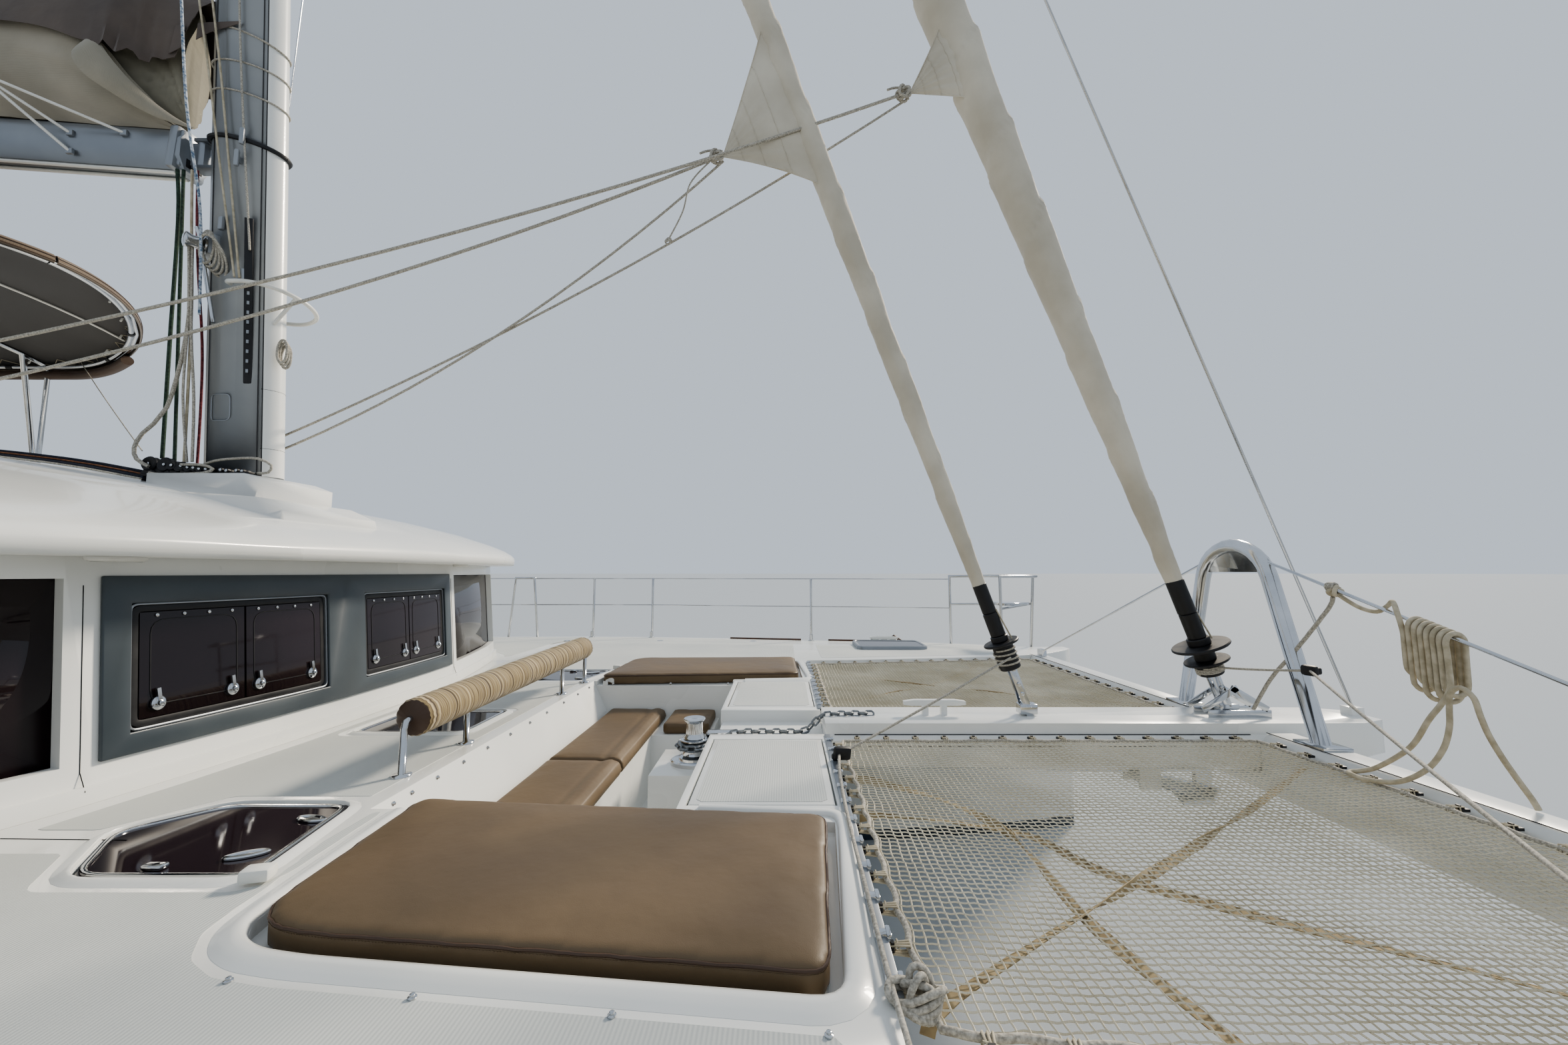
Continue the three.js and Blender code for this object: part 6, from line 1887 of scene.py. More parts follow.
def addMastFittings():
    angle, low, high = mastFittings["track"]
    strips = []
    for edge in mastFittings["strips"]:
        path = [mastPoint(2.81 + i * 0.35, edge, 0.0006) for i in range(40)]
        strips.append((path, 0.0028))
    addTubes("mast_seams", strips, *nylon, sides=4)
    # a white strip down the mast's front: painted highlight where the sun falls on the metal
    front = [[mastPoint(2.81 + i * 0.24, a, 0.0015) for a in range(-37, 38, 6)] for i in range(60)]
    addPiece("mast_front_strip", thickened("strip", front, 0.002), "polyester_gelcoat", "alloy", angle=60)
    middle = (low + high) / 2
    at, ahead = mastPoint(middle, angle, 0.008), mastPoint(high, angle) - mastPoint(low, angle)
    out = mastOut(middle, angle)
    bar = softBox("track", (high - low, 0.034, 0.014), at, 0.003, out, ahead)
    addPiece("mast_track", bar, *nylon)
    slots = [(mastPoint(low + 0.06 + k * 0.05, angle, 0.0152), ahead, out) for k in range(15)]
    slot = softBox("slot", (0.018, 0.010, 0.003), (0, 0, 0), 0.001)
    addCopies("mast_track_slots", slot, slots, *aluminium)
    plateAngle, z, halfAngle, halfZ = mastFittings["plate"]
    rim = []
    for i in range(49):
        a = i / 48 * 2 * pi
        along, up = (copysign(abs(f) ** 0.35, f) for f in (cos(a), sin(a)))
        rim.append(mastPoint(z + halfZ * up, plateAngle + halfAngle * along, 0.0005))
    addTubes("mast_inspection_plate", [(rim, 0.0024)], *aluminium, sides=5)
    addTubes("mast_side_strap", [(smoothPath(mastFittings["strap"]), 0.0085)], *stainless, sides=8)
    wraps = []
    for aft, fore, radius in mastFittings["wraps"]:
        ring = []
        for i in range(41):
            a = i / 40 * 2 * pi
            z = (aft + fore) / 2 + (fore - aft) / 2 * cos(a)
            ring.append(mastPoint(z, degrees(a), 0.004 + radius * 0.5))
        wraps.append((ring, radius))
    addTubes("mast_lashings", wraps[:3], *braid, sides=6)
    addTubes("mast_strap", wraps[3:], *nylon, sides=6)
    bands = [([mastPoint(z, a, 0.0012) for a in range(-40, 41, 8)], 0.0022) for z in mastFittings["bands"]]
    addTubes("mast_bands", bands, *nylon, sides=4)
    rows = []
    for z, side in mastFittings["cleats"]:
        rows.append(softBox("cleat", (0.09, 0.022, 0.018), mastPoint(z, side, 0.03), 0.008, mastOut(z, side),
            (0, 0, 1)))
        rows.append(softBox("cleat_foot", (0.03, 0.018, 0.034), mastPoint(z, side, 0.014), 0.004,
            mastOut(z, side), (0, 0, 1)))
    for z, side in mastFittings["eyes"]:
        rows.append(softBox("eye", (0.07, 0.03, 0.02), mastPoint(z, side, 0.012), 0.008, mastOut(z, side),
            (0, 0, 1)))
    addPiece("mast_cleats", joinedMesh("cleats", rows), *aluminium)
    # winch on its pad, aft on the starboard side
    way = Vector((-0.55, -0.83, 0.0))
    at = mastPoint(*mastFittings["winch"])
    drum = turnedMesh("drum", [(0.05, 0.0), (0.05, 0.012), (0.033, 0.02), (0.03, 0.055), (0.038, 0.07),
        (0.038, 0.078), (0.024, 0.084), (0.0, 0.084)], 24)
    addPiece("mast_winch", placed(drum, at + way * 0.02, way), *stainless)
    pad = softBox("pad", (0.11, 0.11, 0.05), at, 0.01, way, (0, 0, 1))
    addPiece("mast_winch_pad", pad, *aluminium)
    loop = smoothPath([mastPoint(3.78, -88), mastPoint(3.775, -82, 0.035), *mastFittings["guard"],
        mastPoint(3.67, 80)], 0.015)
    strut = taut((1.755, -0.055, 3.725), mastPoint(3.60, -20, 0.0), 0, 6)
    addTubes("mast_guard_loop", [(loop, 0.0105), (strut, 0.009)], "white_plastic", "alloy", sides=10)
    coils = []
    hook = mastPoint(*mastFittings["longCoil"], 0.03)
    for k in range(5):
        ring = []
        for i in range(25):
            a = i / 24 * 2 * pi
            ring.append(hook + Vector((0.035 * sin(a) * (1 + 0.12 * k) + 0.01 * k - 0.02,
                -0.012 * k * cos(a) - 0.012, 0.085 * cos(a) - 0.012 * k)))
        coils.append((ring, 0.0058))
    hook = mastPoint(*mastFittings["shortCoil"], 0.03)
    for k in range(3):
        ring = [hook + Vector((0.025 * sin(i / 8 * pi) + 0.02, -0.02 + 0.012 * k,
            0.06 * cos(i / 8 * pi) - 0.01 * k)) for i in range(17)]
        coils.append((ring, 0.0065))
    addTubes("mast_line_coils", coils, *braid, sides=7, wobble=0.004, wave=0.06)


addMastFittings()


def roofHeight(x, y):
    place, _ = hitOn(roofTree, (x, y, 3.6), (0, 0, -1))
    return place.z if place else 2.8


# blocks in a row beside the mast's foot: x, y, length, height, radius of the sheaves
footBlocks = [(1.175, -0.075, 0.155, 0.128, 0.037), (1.295, -0.10, 0.08, 0.085, 0.026),
    (1.372, -0.13, 0.07, 0.07, 0.022), (1.440, -0.14, 0.06, 0.052, 0.017), (1.505, -0.145, 0.06, 0.04, 0.014),
    (1.575, -0.145, 0.06, 0.034, 0.012), (1.645, -0.14, 0.06, 0.03, 0.011)]


def addMastFoot():
    blocks, pins = [], []
    for x, y, long, high, sheave in footBlocks:
        z = roofHeight(x, y)
        cheeks = [(-0.25, 0.29), (0.25, 0.29), (-0.25, 0.74), (0.25, 0.70)] if high > 0.1 else [(-0.22, 0.6),
            (0.24, 0.5)]
        blocks.append(softBox("cheek", (long, 0.036, high * 0.8), (x, y, z + high * 0.42), 0.016,
            (0.05, 0, 1), (1, 0.02, 0)))
        for along, up in cheeks:
            at = Vector((x + along * long, y - 0.012, z + high * up))
            profile = [(0.3, 0.012), (0.55, 0.016), (0.86, 0.017), (1.0, 0.010), (0.9, 0.0), (1.0, -0.012),
                (0.86, -0.02)]
            wheel = turnedMesh("sheave", [(r * sheave, h) for r, h in profile], 20)
            blocks.append(placed(wheel, at, (0.04 * along, -1, 0.08)))
            pins.append((at + Vector((0, -0.014, 0.001)), (1, 0, 0), (0, -1, 0.08)))
    rail = softBox("rail", (0.62, 0.06, 0.012), (1.40, -0.118, roofHeight(1.40, -0.118) + 0.005), 0.004,
        (0, 0, 1), (1, -0.11, 0))
    addPiece("mast_foot_blocks", joinedMesh("blocks", blocks), *nylon)
    addPiece("mast_foot_rail", rail, *nylon)
    addCopies("mast_foot_pins", turnedMesh("pin", [(0.007, 0.0), (0.007, 0.003), (0.004, 0.005)], 10), pins,
        *stainless)
    # halyard tails that run aft over the roof, side by side
    tails = {"dark_braid": [], "teak_braid": [], "braided_polyester": []}
    for look, y, low, radius in (("dark_braid", -0.115, 0.006, 0.009), ("dark_braid", -0.095, 0.010, 0.009),
            ("dark_braid", -0.075, 0.012, 0.009), ("dark_braid", -0.05, 0.030, 0.010),
            ("teak_braid", -0.092, 0.028, 0.004), ("braided_polyester", -0.128, 0.004, 0.005)):
        path = []
        for i in range(34):
            t = i / 33
            x = 1.14 - t * 2.2
            path.append(Vector((x, y - 0.05 * t, roofHeight(x, y - 0.05 * t) + low + radius)))
        tails[look].append((path, radius))
    for look, lines in tails.items():
        addTubes("roof_tails_" + look, lines, look, "canvas", sides=7)
    near = [(1.432, -0.15, 2.84), (1.52, -0.16, 2.868), (1.62, -0.165, 2.878), (1.716, -0.155, 2.88),
        (1.772, -0.14, 2.85), (1.76, -0.14, 2.815), (1.71, -0.14, 2.812)]
    pale = [(1.36, -0.16, 2.85), (1.47, -0.175, 2.846), (1.535, -0.18, 2.826), (1.50, -0.185, 2.806),
        (1.40, -0.185, 2.80), (1.28, -0.18, 2.80), (1.22, -0.165, 2.81)]
    addTubes("mast_foot_lines", [(smoothPath(near, 0.03), 0.006), (smoothPath(pale, 0.03), 0.0065)], *braid,
        sides=7)
    lead = taut((-0.921, 1.19, 3.90), (1.10, -0.10, 2.93), 0.01)
    addTubes("bimini_lead", [(lead, 0.003)], *braid, sides=6)


addMastFoot()
print("running rigging done")

# boom fittings

boomFittings = {
    "strutTop": (0.24, -0.235, 4.80),
    "strutFeet": ((0.551, 4.50), (0.543, 4.60), (0.822, 4.60)),  # x and height on the boom's side
    "track": (1.05, -4.2, 5.25, 4.4215),  # front end, aft end, length along the slope, height in front
    "end": (1.067, 4.538),  # x and height of the casting
}


def addBoomFittings():
    struts, feet = [], []
    top = Vector(boomFittings["strutTop"])
    for x, z in boomFittings["strutFeet"]:
        foot = Vector((x, -0.083, z))
        struts.append((taut(top + Vector((0.0, 0.0, 0.004)), foot, 0, 4), 0.0075))
        feet.append(softBox("foot", (0.035, 0.016, 0.03), foot + Vector((0, 0.002, 0)), 0.004))
    struts.append((taut(top, top + Vector((-2.2, 0.01, 0.16)), 0.03, 14), 0.006))
    addTubes("boom_bag_struts", struts, "white_plastic", "alloy", boom["body"], sides=8)
    addPiece("boom_strut_feet", joinedMesh("feet", feet), *aluminium, boom["body"])
    lashing = smoothPath([top + Vector((0.02, -0.01, 0.01)), top + Vector((0.06, 0.0, 0.05)),
        top + Vector((-0.02, 0.01, 0.07)), top + Vector((-0.03, -0.01, 0.0))], 0.02)
    addTubes("boom_strut_lashing", [(lashing, 0.004)], *braid, boom["body"], sides=6)
    fore, aft, run, height = boomFittings["track"]
    groove = [(taut((fore, -0.03 + 0.06 * k, height), (aft, -0.03 + 0.06 * k, height + run * boom["rise"]), 0,
        4), 0.009) for k in range(2)]
    addTubes("boom_tracks", groove, "white_plastic", "alloy", boom["body"], sides=8)
    x, z = boomFittings["end"]
    cap = [softBox("cap", (0.05, 0.168, 0.232), (x, 0.0, z), 0.018, (0.06, 0, 1), (1, 0, -0.06)),
        softBox("nose", (0.03, 0.13, 0.2), (1.092, 0.0, z), 0.012, (0.06, 0, 1), (1, 0, -0.06))]
    addPiece("boom_end_casting", joinedMesh("cap", cap), *aluminium, boom["body"])
    mouth = [softBox("mouth", (0.012, 0.045, 0.07), (1.104, 0.034 * s, 4.60 - 0.002), 0.01) for s in (-1, 1)]
    mouth.append(softBox("mouth_low", (0.012, 0.085, 0.05), (1.106, 0.0, 4.47), 0.01))
    addPiece("boom_end_sheaves", joinedMesh("mouth", mouth), *nylon, boom["body"])


addBoomFittings()
print("boom fittings done")

# furlers

# rings on the stay: columns lowest height, highest height, radius
furler = {
    "staysail": [(1.872, 1.99, 0.05), (1.99, 2.002, 0.085), (2.002, 2.03, 0.042), (2.03, 2.14, 0.036),
                 (2.14, 2.28, 0.034)],
    "genoa": [(1.845, 1.905, 0.054), (1.905, 1.915, 0.098), (1.915, 1.975, 0.046), (1.975, 1.988, 0.125),
              (1.988, 2.02, 0.05), (2.02, 2.14, 0.04), (2.14, 2.3, 0.041)],
    "linkHalf": 0.024,
}


def addFurler(name):
    sail = sails[name]
    axis = (stayAt(sail, 3) - stayAt(sail, 2)).normalized()
    side, up = across(axis, (0, 1, 0))
    black, bright, bolts = [], [], []
    for low, high, radius in furler[name]:
        start = stayAt(sail, low)
        length = (stayAt(sail, high) - start).length
        edge = min(0.004, length * 0.3)
        profile = [(radius - edge, 0.0), (radius, edge), (radius, length - edge), (radius - edge, length)]
        black.append(placed(turnedMesh("ring", profile, 28), start, axis))
    foot = stayAt(sail, sail["foot"][1] + 0.012)
    neck = stayAt(sail, furler[name][0][0] + 0.01)
    for sense in (-1, 1):
        low = foot + Vector((0, sense * furler["linkHalf"] * 0.75, 0))
        high = neck + Vector((0, sense * furler["linkHalf"] * 1.35, 0))
        way = high - low
        bright.append(softBox("link", (way.length + 0.05, 0.036, 0.005), (low + high) / 2, 0.002, (0, 1, 0),
            way))
        for t in (0.06, 0.4, 0.62, 0.95):
            bolts.append((low.lerp(high, t) + Vector((0, sense * 0.0025, 0)), way, (0, sense, 0)))
    bright.append(softBox("shoe", (0.085, 0.06, 0.05), foot + Vector((0, 0, 0.01)), 0.006))
    pin = turnedMesh("bolt", [(0.0095, 0.0), (0.0095, 0.005), (0.006, 0.007)], 12)
    addPiece(name + "_furler_drum", joinedMesh("drum", black), *nylon, angle=40, stands=[name + "_furler"])
    addPiece(name + "_furler_links", joinedMesh("links", bright), *stainless)
    addCopies(name + "_furler_bolts", pin, bolts, *stainless)
    turns = []
    low, high, radius = furler[name][0]
    for k in range(48):
        a = k / 12 * 2 * pi
        z = low + 0.012 + (high - low - 0.03) * k / 48
        centre = stayAt(sail, z)
        turns.append(centre + side * (radius + 0.004) * cos(a) + up * (radius + 0.004) * sin(a))
    addTubes(name + "_furler_line", [(turns, 0.0045)], *braid, sides=6)
    tack = taut(stayAt(sail, 2.16) + Vector((0.03, -0.02, 0)), stayAt(sail, 2.02) + Vector((0.05, -0.03, 0)))
    addTubes(name + "_tack_lashing", [(tack, 0.004)], "polyester_webbing", "canvas", sides=6)


for name in sails:
    addFurler(name)


# the genoa's foot stands in a stainless bracket between the beam's cheeks
def addGenoaFoot():
    foot = Vector((6.385, 0, 1.652))
    pieces = []
    for sense in (-1, 1):
        pieces.append(softBox("cheek", (0.30, 0.008, 0.04), foot + Vector((0.02, sense * 0.05, 0.012)), 0.002,
            (0, 0, 1), (1, 0, 0)))
        pieces.append(softBox("stay", (0.20, 0.008, 0.03), foot + Vector((-0.07, sense * 0.05, 0.085)), 0.002,
            (-0.6, 0, 1), (1, 0, 0.75)))
        pieces.append(softBox("stay", (0.20, 0.008, 0.03), foot + Vector((0.07, sense * 0.05, 0.085)), 0.002,
            (0.6, 0, 1), (1, 0, -0.75)))
    addPiece("genoa_foot_bracket", joinedMesh("bracket", pieces), *stainless)


addGenoaFoot()
print("furlers done")

# furling lines

furlingLines = {
    "radius": 0.0052,
    "foredeckBlock": (4.452, -0.585, 1.650),
    "archBlock": (6.43, -0.405, 1.93),
    "deckPath": [(4.44, -0.60, 1.648), (4.426, -0.75, 1.643), (4.416, -1.0, 1.6415), (4.412, -1.25, 1.6415),
                 (4.412, -1.5, 1.6415), (4.412, -1.75, 1.6415), (4.42, -2.05, 1.629), (4.41, -2.6, 1.629),
                 (4.36, -3.1, 1.628), (4.2, -3.5, 1.615), (3.8, -3.62, 1.612), (2.0, -3.80, 1.61),
                 (-0.5, -3.83, 1.61), (-3.0, -3.82, 1.61), (-4.9, -3.75, 1.612)],
}


# the striker wire's height on the starboard side
def wireZ(y):
    return 2.40 - (y + 0.165) / (-2.18 + 0.165) * (2.40 - 1.646)


def addFurlingLines():
    radius = furlingLines["radius"]
    block = Vector(furlingLines["foredeckBlock"])
    drum = stayAt(sails["staysail"], 1.93) + Vector((0, -0.052, 0))
    lines = [(taut(drum, block, 0.004), radius), (smoothPath(furlingLines["deckPath"], 0.08), radius)]
    archBlock = Vector(furlingLines["archBlock"])
    drum = stayAt(sails["genoa"], 1.885) + Vector((0, -0.056, 0))
    lines.append((taut(drum, archBlock, 0.004), radius))
    lines.append((taut(archBlock, (4.53, -3.50, 1.74), 0.03), radius))
    addTubes("furling_lines", lines, *braid, sides=8)
    blocks = [softBox("block", (0.07, 0.03, 0.05), block, 0.012, (0.1, 0, 1), drum - block),
        softBox("swivel", (0.034, 0.022, 0.03), block + Vector((-0.024, -0.005, -0.014)), 0.008),
        softBox("block", (0.06, 0.028, 0.045), archBlock, 0.012, (0, 0, 1), (0.3, -1, 0)),
        softBox("strap", (0.03, 0.05, 0.03), archBlock + Vector((0.018, 0.0, 0.0)), 0.008),
        softBox("block", (0.05, 0.026, 0.04), (4.53, -3.505, 1.74), 0.01)]
    addPiece("furling_blocks", joinedMesh("blocks", blocks), *nylon)
    tie = [(smoothPath([(6.43, -0.10, 1.70), (6.44, -0.20, 1.86), (6.452, -0.32, 2.00), (6.468, -0.47, 2.19),
        (6.462, -0.50, 2.238)]), 0.008)]
    ring = []
    for k in range(33):
        a = k / 8 * 2 * pi
        ring.append(Vector((6.46 + 0.014 * cos(a), -0.485 - 0.008 * k / 8, wireZ(-0.485) + 0.014 * sin(a))))
    tie.append((ring, 0.0065))
    addTubes("bow_tie_line", tie, *braid, sides=8, wobble=0.003, wave=0.05)


addFurlingLines()
print("furling lines done")

# windlass

windlass = {
    "at": (3.8, -0.02),
    "base": 1.4303,
    "link": (0.052, 0.036, 0.0055),  # length, width and half thickness of a link
    "chain": [(3.87, -0.058, 1.522), (3.94, -0.05, 1.560), (4.02, -0.035, 1.578), (4.2, -0.028, 1.578),
              (4.32, -0.024, 1.580), (4.375, -0.022, 1.618), (4.42, -0.02, 1.652), (4.52, -0.014, 1.658),
              (4.68, -0.004, 1.657)],
}


def linkMesh(length, width, half):
    straight = (length - width) / 2
    rows = []
    for i in range(14):
        a = i / 14 * 2 * pi
        centre = Vector((straight * (1 if cos(a) > 0 else -1) if abs(cos(a)) > 1e-6 else 0.0, 0, 0))
        out = Vector((cos(a), sin(a), 0))
        middle = centre + out * (width / 2 - half)
        rows.append([middle + out * half * cos(b) + Vector((0, 0, half * sin(b)))
            for b in [k / 5 * 2 * pi for k in range(5)]])
    rows.append(rows[0])
    return cleaned(gridMesh("link", rows, around=True), 1e-6)


# a turned form with flutes round it, from rows of height, radius and depth of the flutes
def fluted(name, x, y, base, flutes, count, profile):
    rows = []
    for z, radius, depth in profile:
        rows.append([(x + (radius + depth * cos(flutes * a)) * cos(a),
            y + (radius + depth * cos(flutes * a)) * sin(a), base + z)
            for a in [i / count * 2 * pi for i in range(count)]])
    return gridMesh(name, rows, around=True, caps=True)


def addWindlass():
    x, y = windlass["at"]
    base = windlass["base"]
    # polished oval base plate, with the bell of the gearbox on it
    plate = stepped("plate", ellipse(0.125, 0.092, 48, x + 0.012, y),
        [(0, base), (0, base + 0.016), (0.006, base + 0.022), (0.05, base + 0.026)])
    bell = placed(turnedMesh("bell", [(0.075, 0.02), (0.072, 0.034), (0.056, 0.044), (0.05, 0.06),
        (0.05, 0.072)], 40), (x, y, base))
    crown = placed(turnedMesh("crown", [(0.058, 0.104), (0.066, 0.108), (0.066, 0.113), (0.05, 0.1165)], 40),
        (x, y, base))
    addPiece("windlass_body", joinedMesh("windlass", [plate, bell, crown]), *stainless, stands=["windlass"])
    # wildcat with pockets for the chain
    wildcat = fluted("wildcat", x, y, base, 10, 80,
        [(0.068, 0.05, 0), (0.07, 0.074, 0.002), (0.078, 0.078, 0.004), (0.086, 0.064, 0.006),
        (0.094, 0.078, 0.004), (0.1, 0.074, 0.002), (0.104, 0.05, 0)])
    addPiece("windlass_wildcat", wildcat, "galvanised_steel", "steel")
    drum = fluted("drum", x, y, base + 0.117, 26, 130,
        [(0.0, 0.048, 0), (0.003, 0.052, 0), (0.008, 0.05, 0), (0.02, 0.041, 0), (0.024, 0.0392, 0.0013),
        (0.07, 0.0375, 0.0013), (0.074, 0.039, 0), (0.084, 0.05, 0), (0.089, 0.052, 0), (0.093, 0.05, 0),
        (0.094, 0.018, 0), (0.092, 0.012, 0)])
    addPiece("windlass_drum", drum, *stainless, "capstan_body", 30, ["windlass_capstan"])
    length, width, half = windlass["link"]
    spots = []
    count = 0
    total = [0.0]
    line = smoothPath(windlass["chain"], 0.01)
    for a, b in zip(line, line[1:]):
        total.append(total[-1] + (b - a).length)
    reach = 0.0
    while reach < total[-1] - 0.02:
        i = max(k for k in range(len(total)) if total[k] <= reach)
        i = min(i, len(line) - 2)
        t = (reach - total[i]) / max(1e-9, total[i + 1] - total[i])
        at = line[i].lerp(line[i + 1], t)
        along = (line[i + 1] - line[i]).normalized()
        face = Vector((0, 0.55, 0.84)) if count % 2 else Vector((0, 0.84, -0.55))
        spots.append((at, along, face))
        reach += length - 4 * half * 0.82
        count += 1
    around = []
    for k in range(9):
        a = radians(-38 - k * 27)
        at = Vector((x + 0.076 * cos(a), y + 0.076 * sin(a), base + 0.086))
        along = Vector((-sin(a), cos(a), 0))
        around.append((at, along, Vector((0, 0, 1)) if k % 2 else Vector((cos(a), sin(a), 0))))
    addCopies("anchor_chain", linkMesh(length, width, half), spots + around, "galvanised_steel", "steel",
        angle=60)
    cover = softBox("cover", (0.15, 0.075, 0.022), (3.925, 0.055, 1.553), 0.01, (0, 0.15, 1), (1, 0.15, 0.1))
    arm = softBox("arm", (0.06, 0.03, 0.05), (3.875, 0.06, 1.53), 0.008)
    addPiece("chain_stopper", joinedMesh("stopper", [cover, arm]), *stainless)


addWindlass()
print("windlass done")

# fittings of the foredeck

deckFittings = {
    # the side hatches: their handles as x, y and turn, a hinge and a clip
    "handles": ((2.863, 1.311, 0.5), (2.854, 1.101, -0.2)),
    "hinge": (2.70, 1.375, 1.627),
    "clip": (3.005, 1.435, 1.642),
    "filler": (3.695, -1.985),
    # snap studs on the wall aft of the well, along the trays and on the seat's front
    "wallSnaps": [(3.008, -1.351), (2.996, -1.184), (2.99, -0.93), (2.979, -0.839), (2.973, -0.698),
                  (2.972, -0.53), (2.972, -0.35), (2.97, -0.15), (2.97, 0.05), (2.97, 0.25), (2.97, 0.48),
                  (2.97, 0.7), (2.972, 0.9)],
    "traySnaps": (3.25, 3.6, 3.95, 4.3),
    "seatSnaps": (3.10, 3.48, 3.86),
    "strips": ((3.62, 4.42), (4.72, 5.6)),  # teak along the gunwales, from x to x
    "bowHatch": [(4.95, 3.02), (5.55, 2.98), (5.55, 2.56), (4.95, 2.56)],
    "bowHinges": (5.1, 5.4),
    "vents": (1.0, 1.9, 2.9, 3.9, 5.9),
    "stanchions": (-5.3, -3.9, -2.5, -1.1, 0.1, 2.0, 2.7, 4.53),
    # the gunwale's line on the port side
    "sheer": [(-5.3, 3.745), (-4.2, 3.805), (-1.0, 3.855), (1.5, 3.86), (2.5, 3.835), (3.0, 3.775),
              (3.5, 3.695), (4.0, 3.595), (4.5, 3.515), (5.0, 3.435), (5.5, 3.345), (6.0, 3.2)],
}


def addDeckFittings():
    steel, white, snaps, teak = [], [], [], []
    # handles, clip and hinge of the side hatches
    for name, sense in bothSides:
        own = []
        for hx, hy, turn in deckFittings["handles"]:
            handle = stepped("handle", ellipse(0.048, 0.02, 28),
                [(0, 0.0), (0, 0.004), (0.003, 0.007), (0.009, 0.008), (0.012, 0.0045)])
            own.append(placed(handle, (hx, sense * hy, 1.6215), (0, 0, 1), (1, turn, 0)))
        x, y, z = deckFittings["hinge"]
        own.append(softBox("lug", (0.05, 0.024, 0.014), (x, sense * y, z), 0.005))
        addPiece("hatch_handles_" + name, joinedMesh("handles", own), *stainless, "deck_hatch_%s_body" % name)
        x, y, z = deckFittings["clip"]
        white.append(softBox("clip", (0.062, 0.045, 0.03), (x, sense * y, z), 0.008, (0, 0, 1),
            (1, -0.25 * sense, 0)))
    # the filler cap in the side deck
    cx, cy = deckFittings["filler"]
    cz = deckAt(cx, cy)
    ring = placed(turnedMesh("ring", [(0.041, -0.002), (0.041, 0.004), (0.038, 0.0058), (0.031, 0.0058),
        (0.03, 0.002), (0.0, 0.002)], 40), (cx, cy, cz))
    cap = placed(turnedMesh("cap", [(0.0285, 0.0), (0.0285, 0.0045), (0.026, 0.0056), (0.012, 0.0056),
        (0.011, 0.004), (0.0, 0.004)], 32), (cx, cy, cz))
    slots = [softBox("slot", (0.03, 0.003, 0.002), (cx, cy, cz + 0.0052), 0.0008, (0, 0, 1), (1, 0.6, 0)),
        softBox("slot", (0.03, 0.003, 0.002), (cx, cy, cz + 0.0052), 0.0008, (0, 0, 1), (-0.6, 1, 0))]
    steel += [ring, cap]
    # snap studs along the tray rims, the well and the seats
    for x, y in deckFittings["wallSnaps"]:
        place, normal = hitOn(deckTree, (x + 0.5, y, 1.60), (-1, 0, 0))
        if place:
            snaps.append((place, (0, 0, 1), normal))
    for sense in (-1, 1):
        for x in deckFittings["traySnaps"]:
            snaps.append((Vector((x, sense * (1.755 + (x - 3.25) * 0.112), 1.6215)), (1, 0, 0), (0, 0, 1)))
        snaps.append((Vector((4.345, sense * 1.90, 1.615)), (0, 0, 1), (0.8, sense * -0.2, 0.5)))
    for x in deckFittings["seatSnaps"]:
        snaps.append((Vector((x, 1.007, 1.605)), (1, 0, 0), (0, -1, 0)))
    # teak strips along the gunwales
    for x0, x1 in deckFittings["strips"]:
        rows = []
        for x in [x0 + (x1 - x0) * i / 10 for i in range(11)]:
            y = sheerY(x) + 0.045
            z = deckAt(x, sheerY(x) - 0.03)
            rows.append([(x, y - 0.02, z - 0.006), (x, y - 0.02, z + 0.008), (x, y - 0.012, z + 0.014),
                (x, y + 0.02, z + 0.012), (x, y + 0.026, z - 0.02)])
        for sense in (1, -1):
            teak.append(gridMesh("strip", [[(px, sense * py, pz) for px, py, pz in row] for row in rows],
                around=True, caps=True))
    addPiece("gunwale_strips", joinedMesh("strips", teak), "oiled_teak", "black", angle=40)
    for sense in (-1, 1):
        hatch = [(x, sense * y) for x, y in deckFittings["bowHatch"]]
        frameName = "bow_hatch_%s" % ("port" if sense > 0 else "starboard")
        addMoulding(frameName + "_frame", hatch,
            [(0.0, -0.006), (0.0, 0.028), (0.008, 0.034), (0.026, 0.03), (0.032, 0.018), (0.032, -0.006)],
            1.62, *aluminium, radius=0.05)
        pane = slab(rounded(shrunk(hatch, 0.001), 0.05), 1.62, 1.647)
        addPiece(frameName + "_pane", meshFrom("pane", *pane), "tinted_acrylic", "glass")
        steel += [softBox("lug", (0.03, 0.05, 0.02), (x, sense * 3.035, 1.64), 0.006)
            for x in deckFittings["bowHinges"]]
        for x in deckFittings["vents"]:
            steel.append(placed(turnedMesh("vent",
                [(0.036, -0.001), (0.036, 0.003), (0.03, 0.005), (0.0, 0.005)], 24),
                (x, sense * 3.35, deckAt(x, sense * 3.35))))
    # stanchion feet
    for x in deckFittings["stanchions"]:
        for sense in (-1, 1):
            y = sense * sheerY(x)
            steel.append(placed(turnedMesh("foot",
                [(0.034, -0.004), (0.034, 0.006), (0.02, 0.01), (0.019, 0.07), (0.014, 0.072)], 16),
                (x, y, deckAt(x, y))))
    addPiece("deck_steel", joinedMesh("steel", steel), *stainless)
    addPiece("filler_slots", joinedMesh("slots", slots), *nylon)
    addPiece("awning_clips", joinedMesh("clips", white), "white_plastic", "gelcoat")
    snap = turnedMesh("snap", [(0.0075, 0.0), (0.0075, 0.0022), (0.0045, 0.0035), (0.0045, 0.0065),
        (0.003, 0.0075)], 12)
    addCopies("snap_studs", snap, snaps, *stainless)


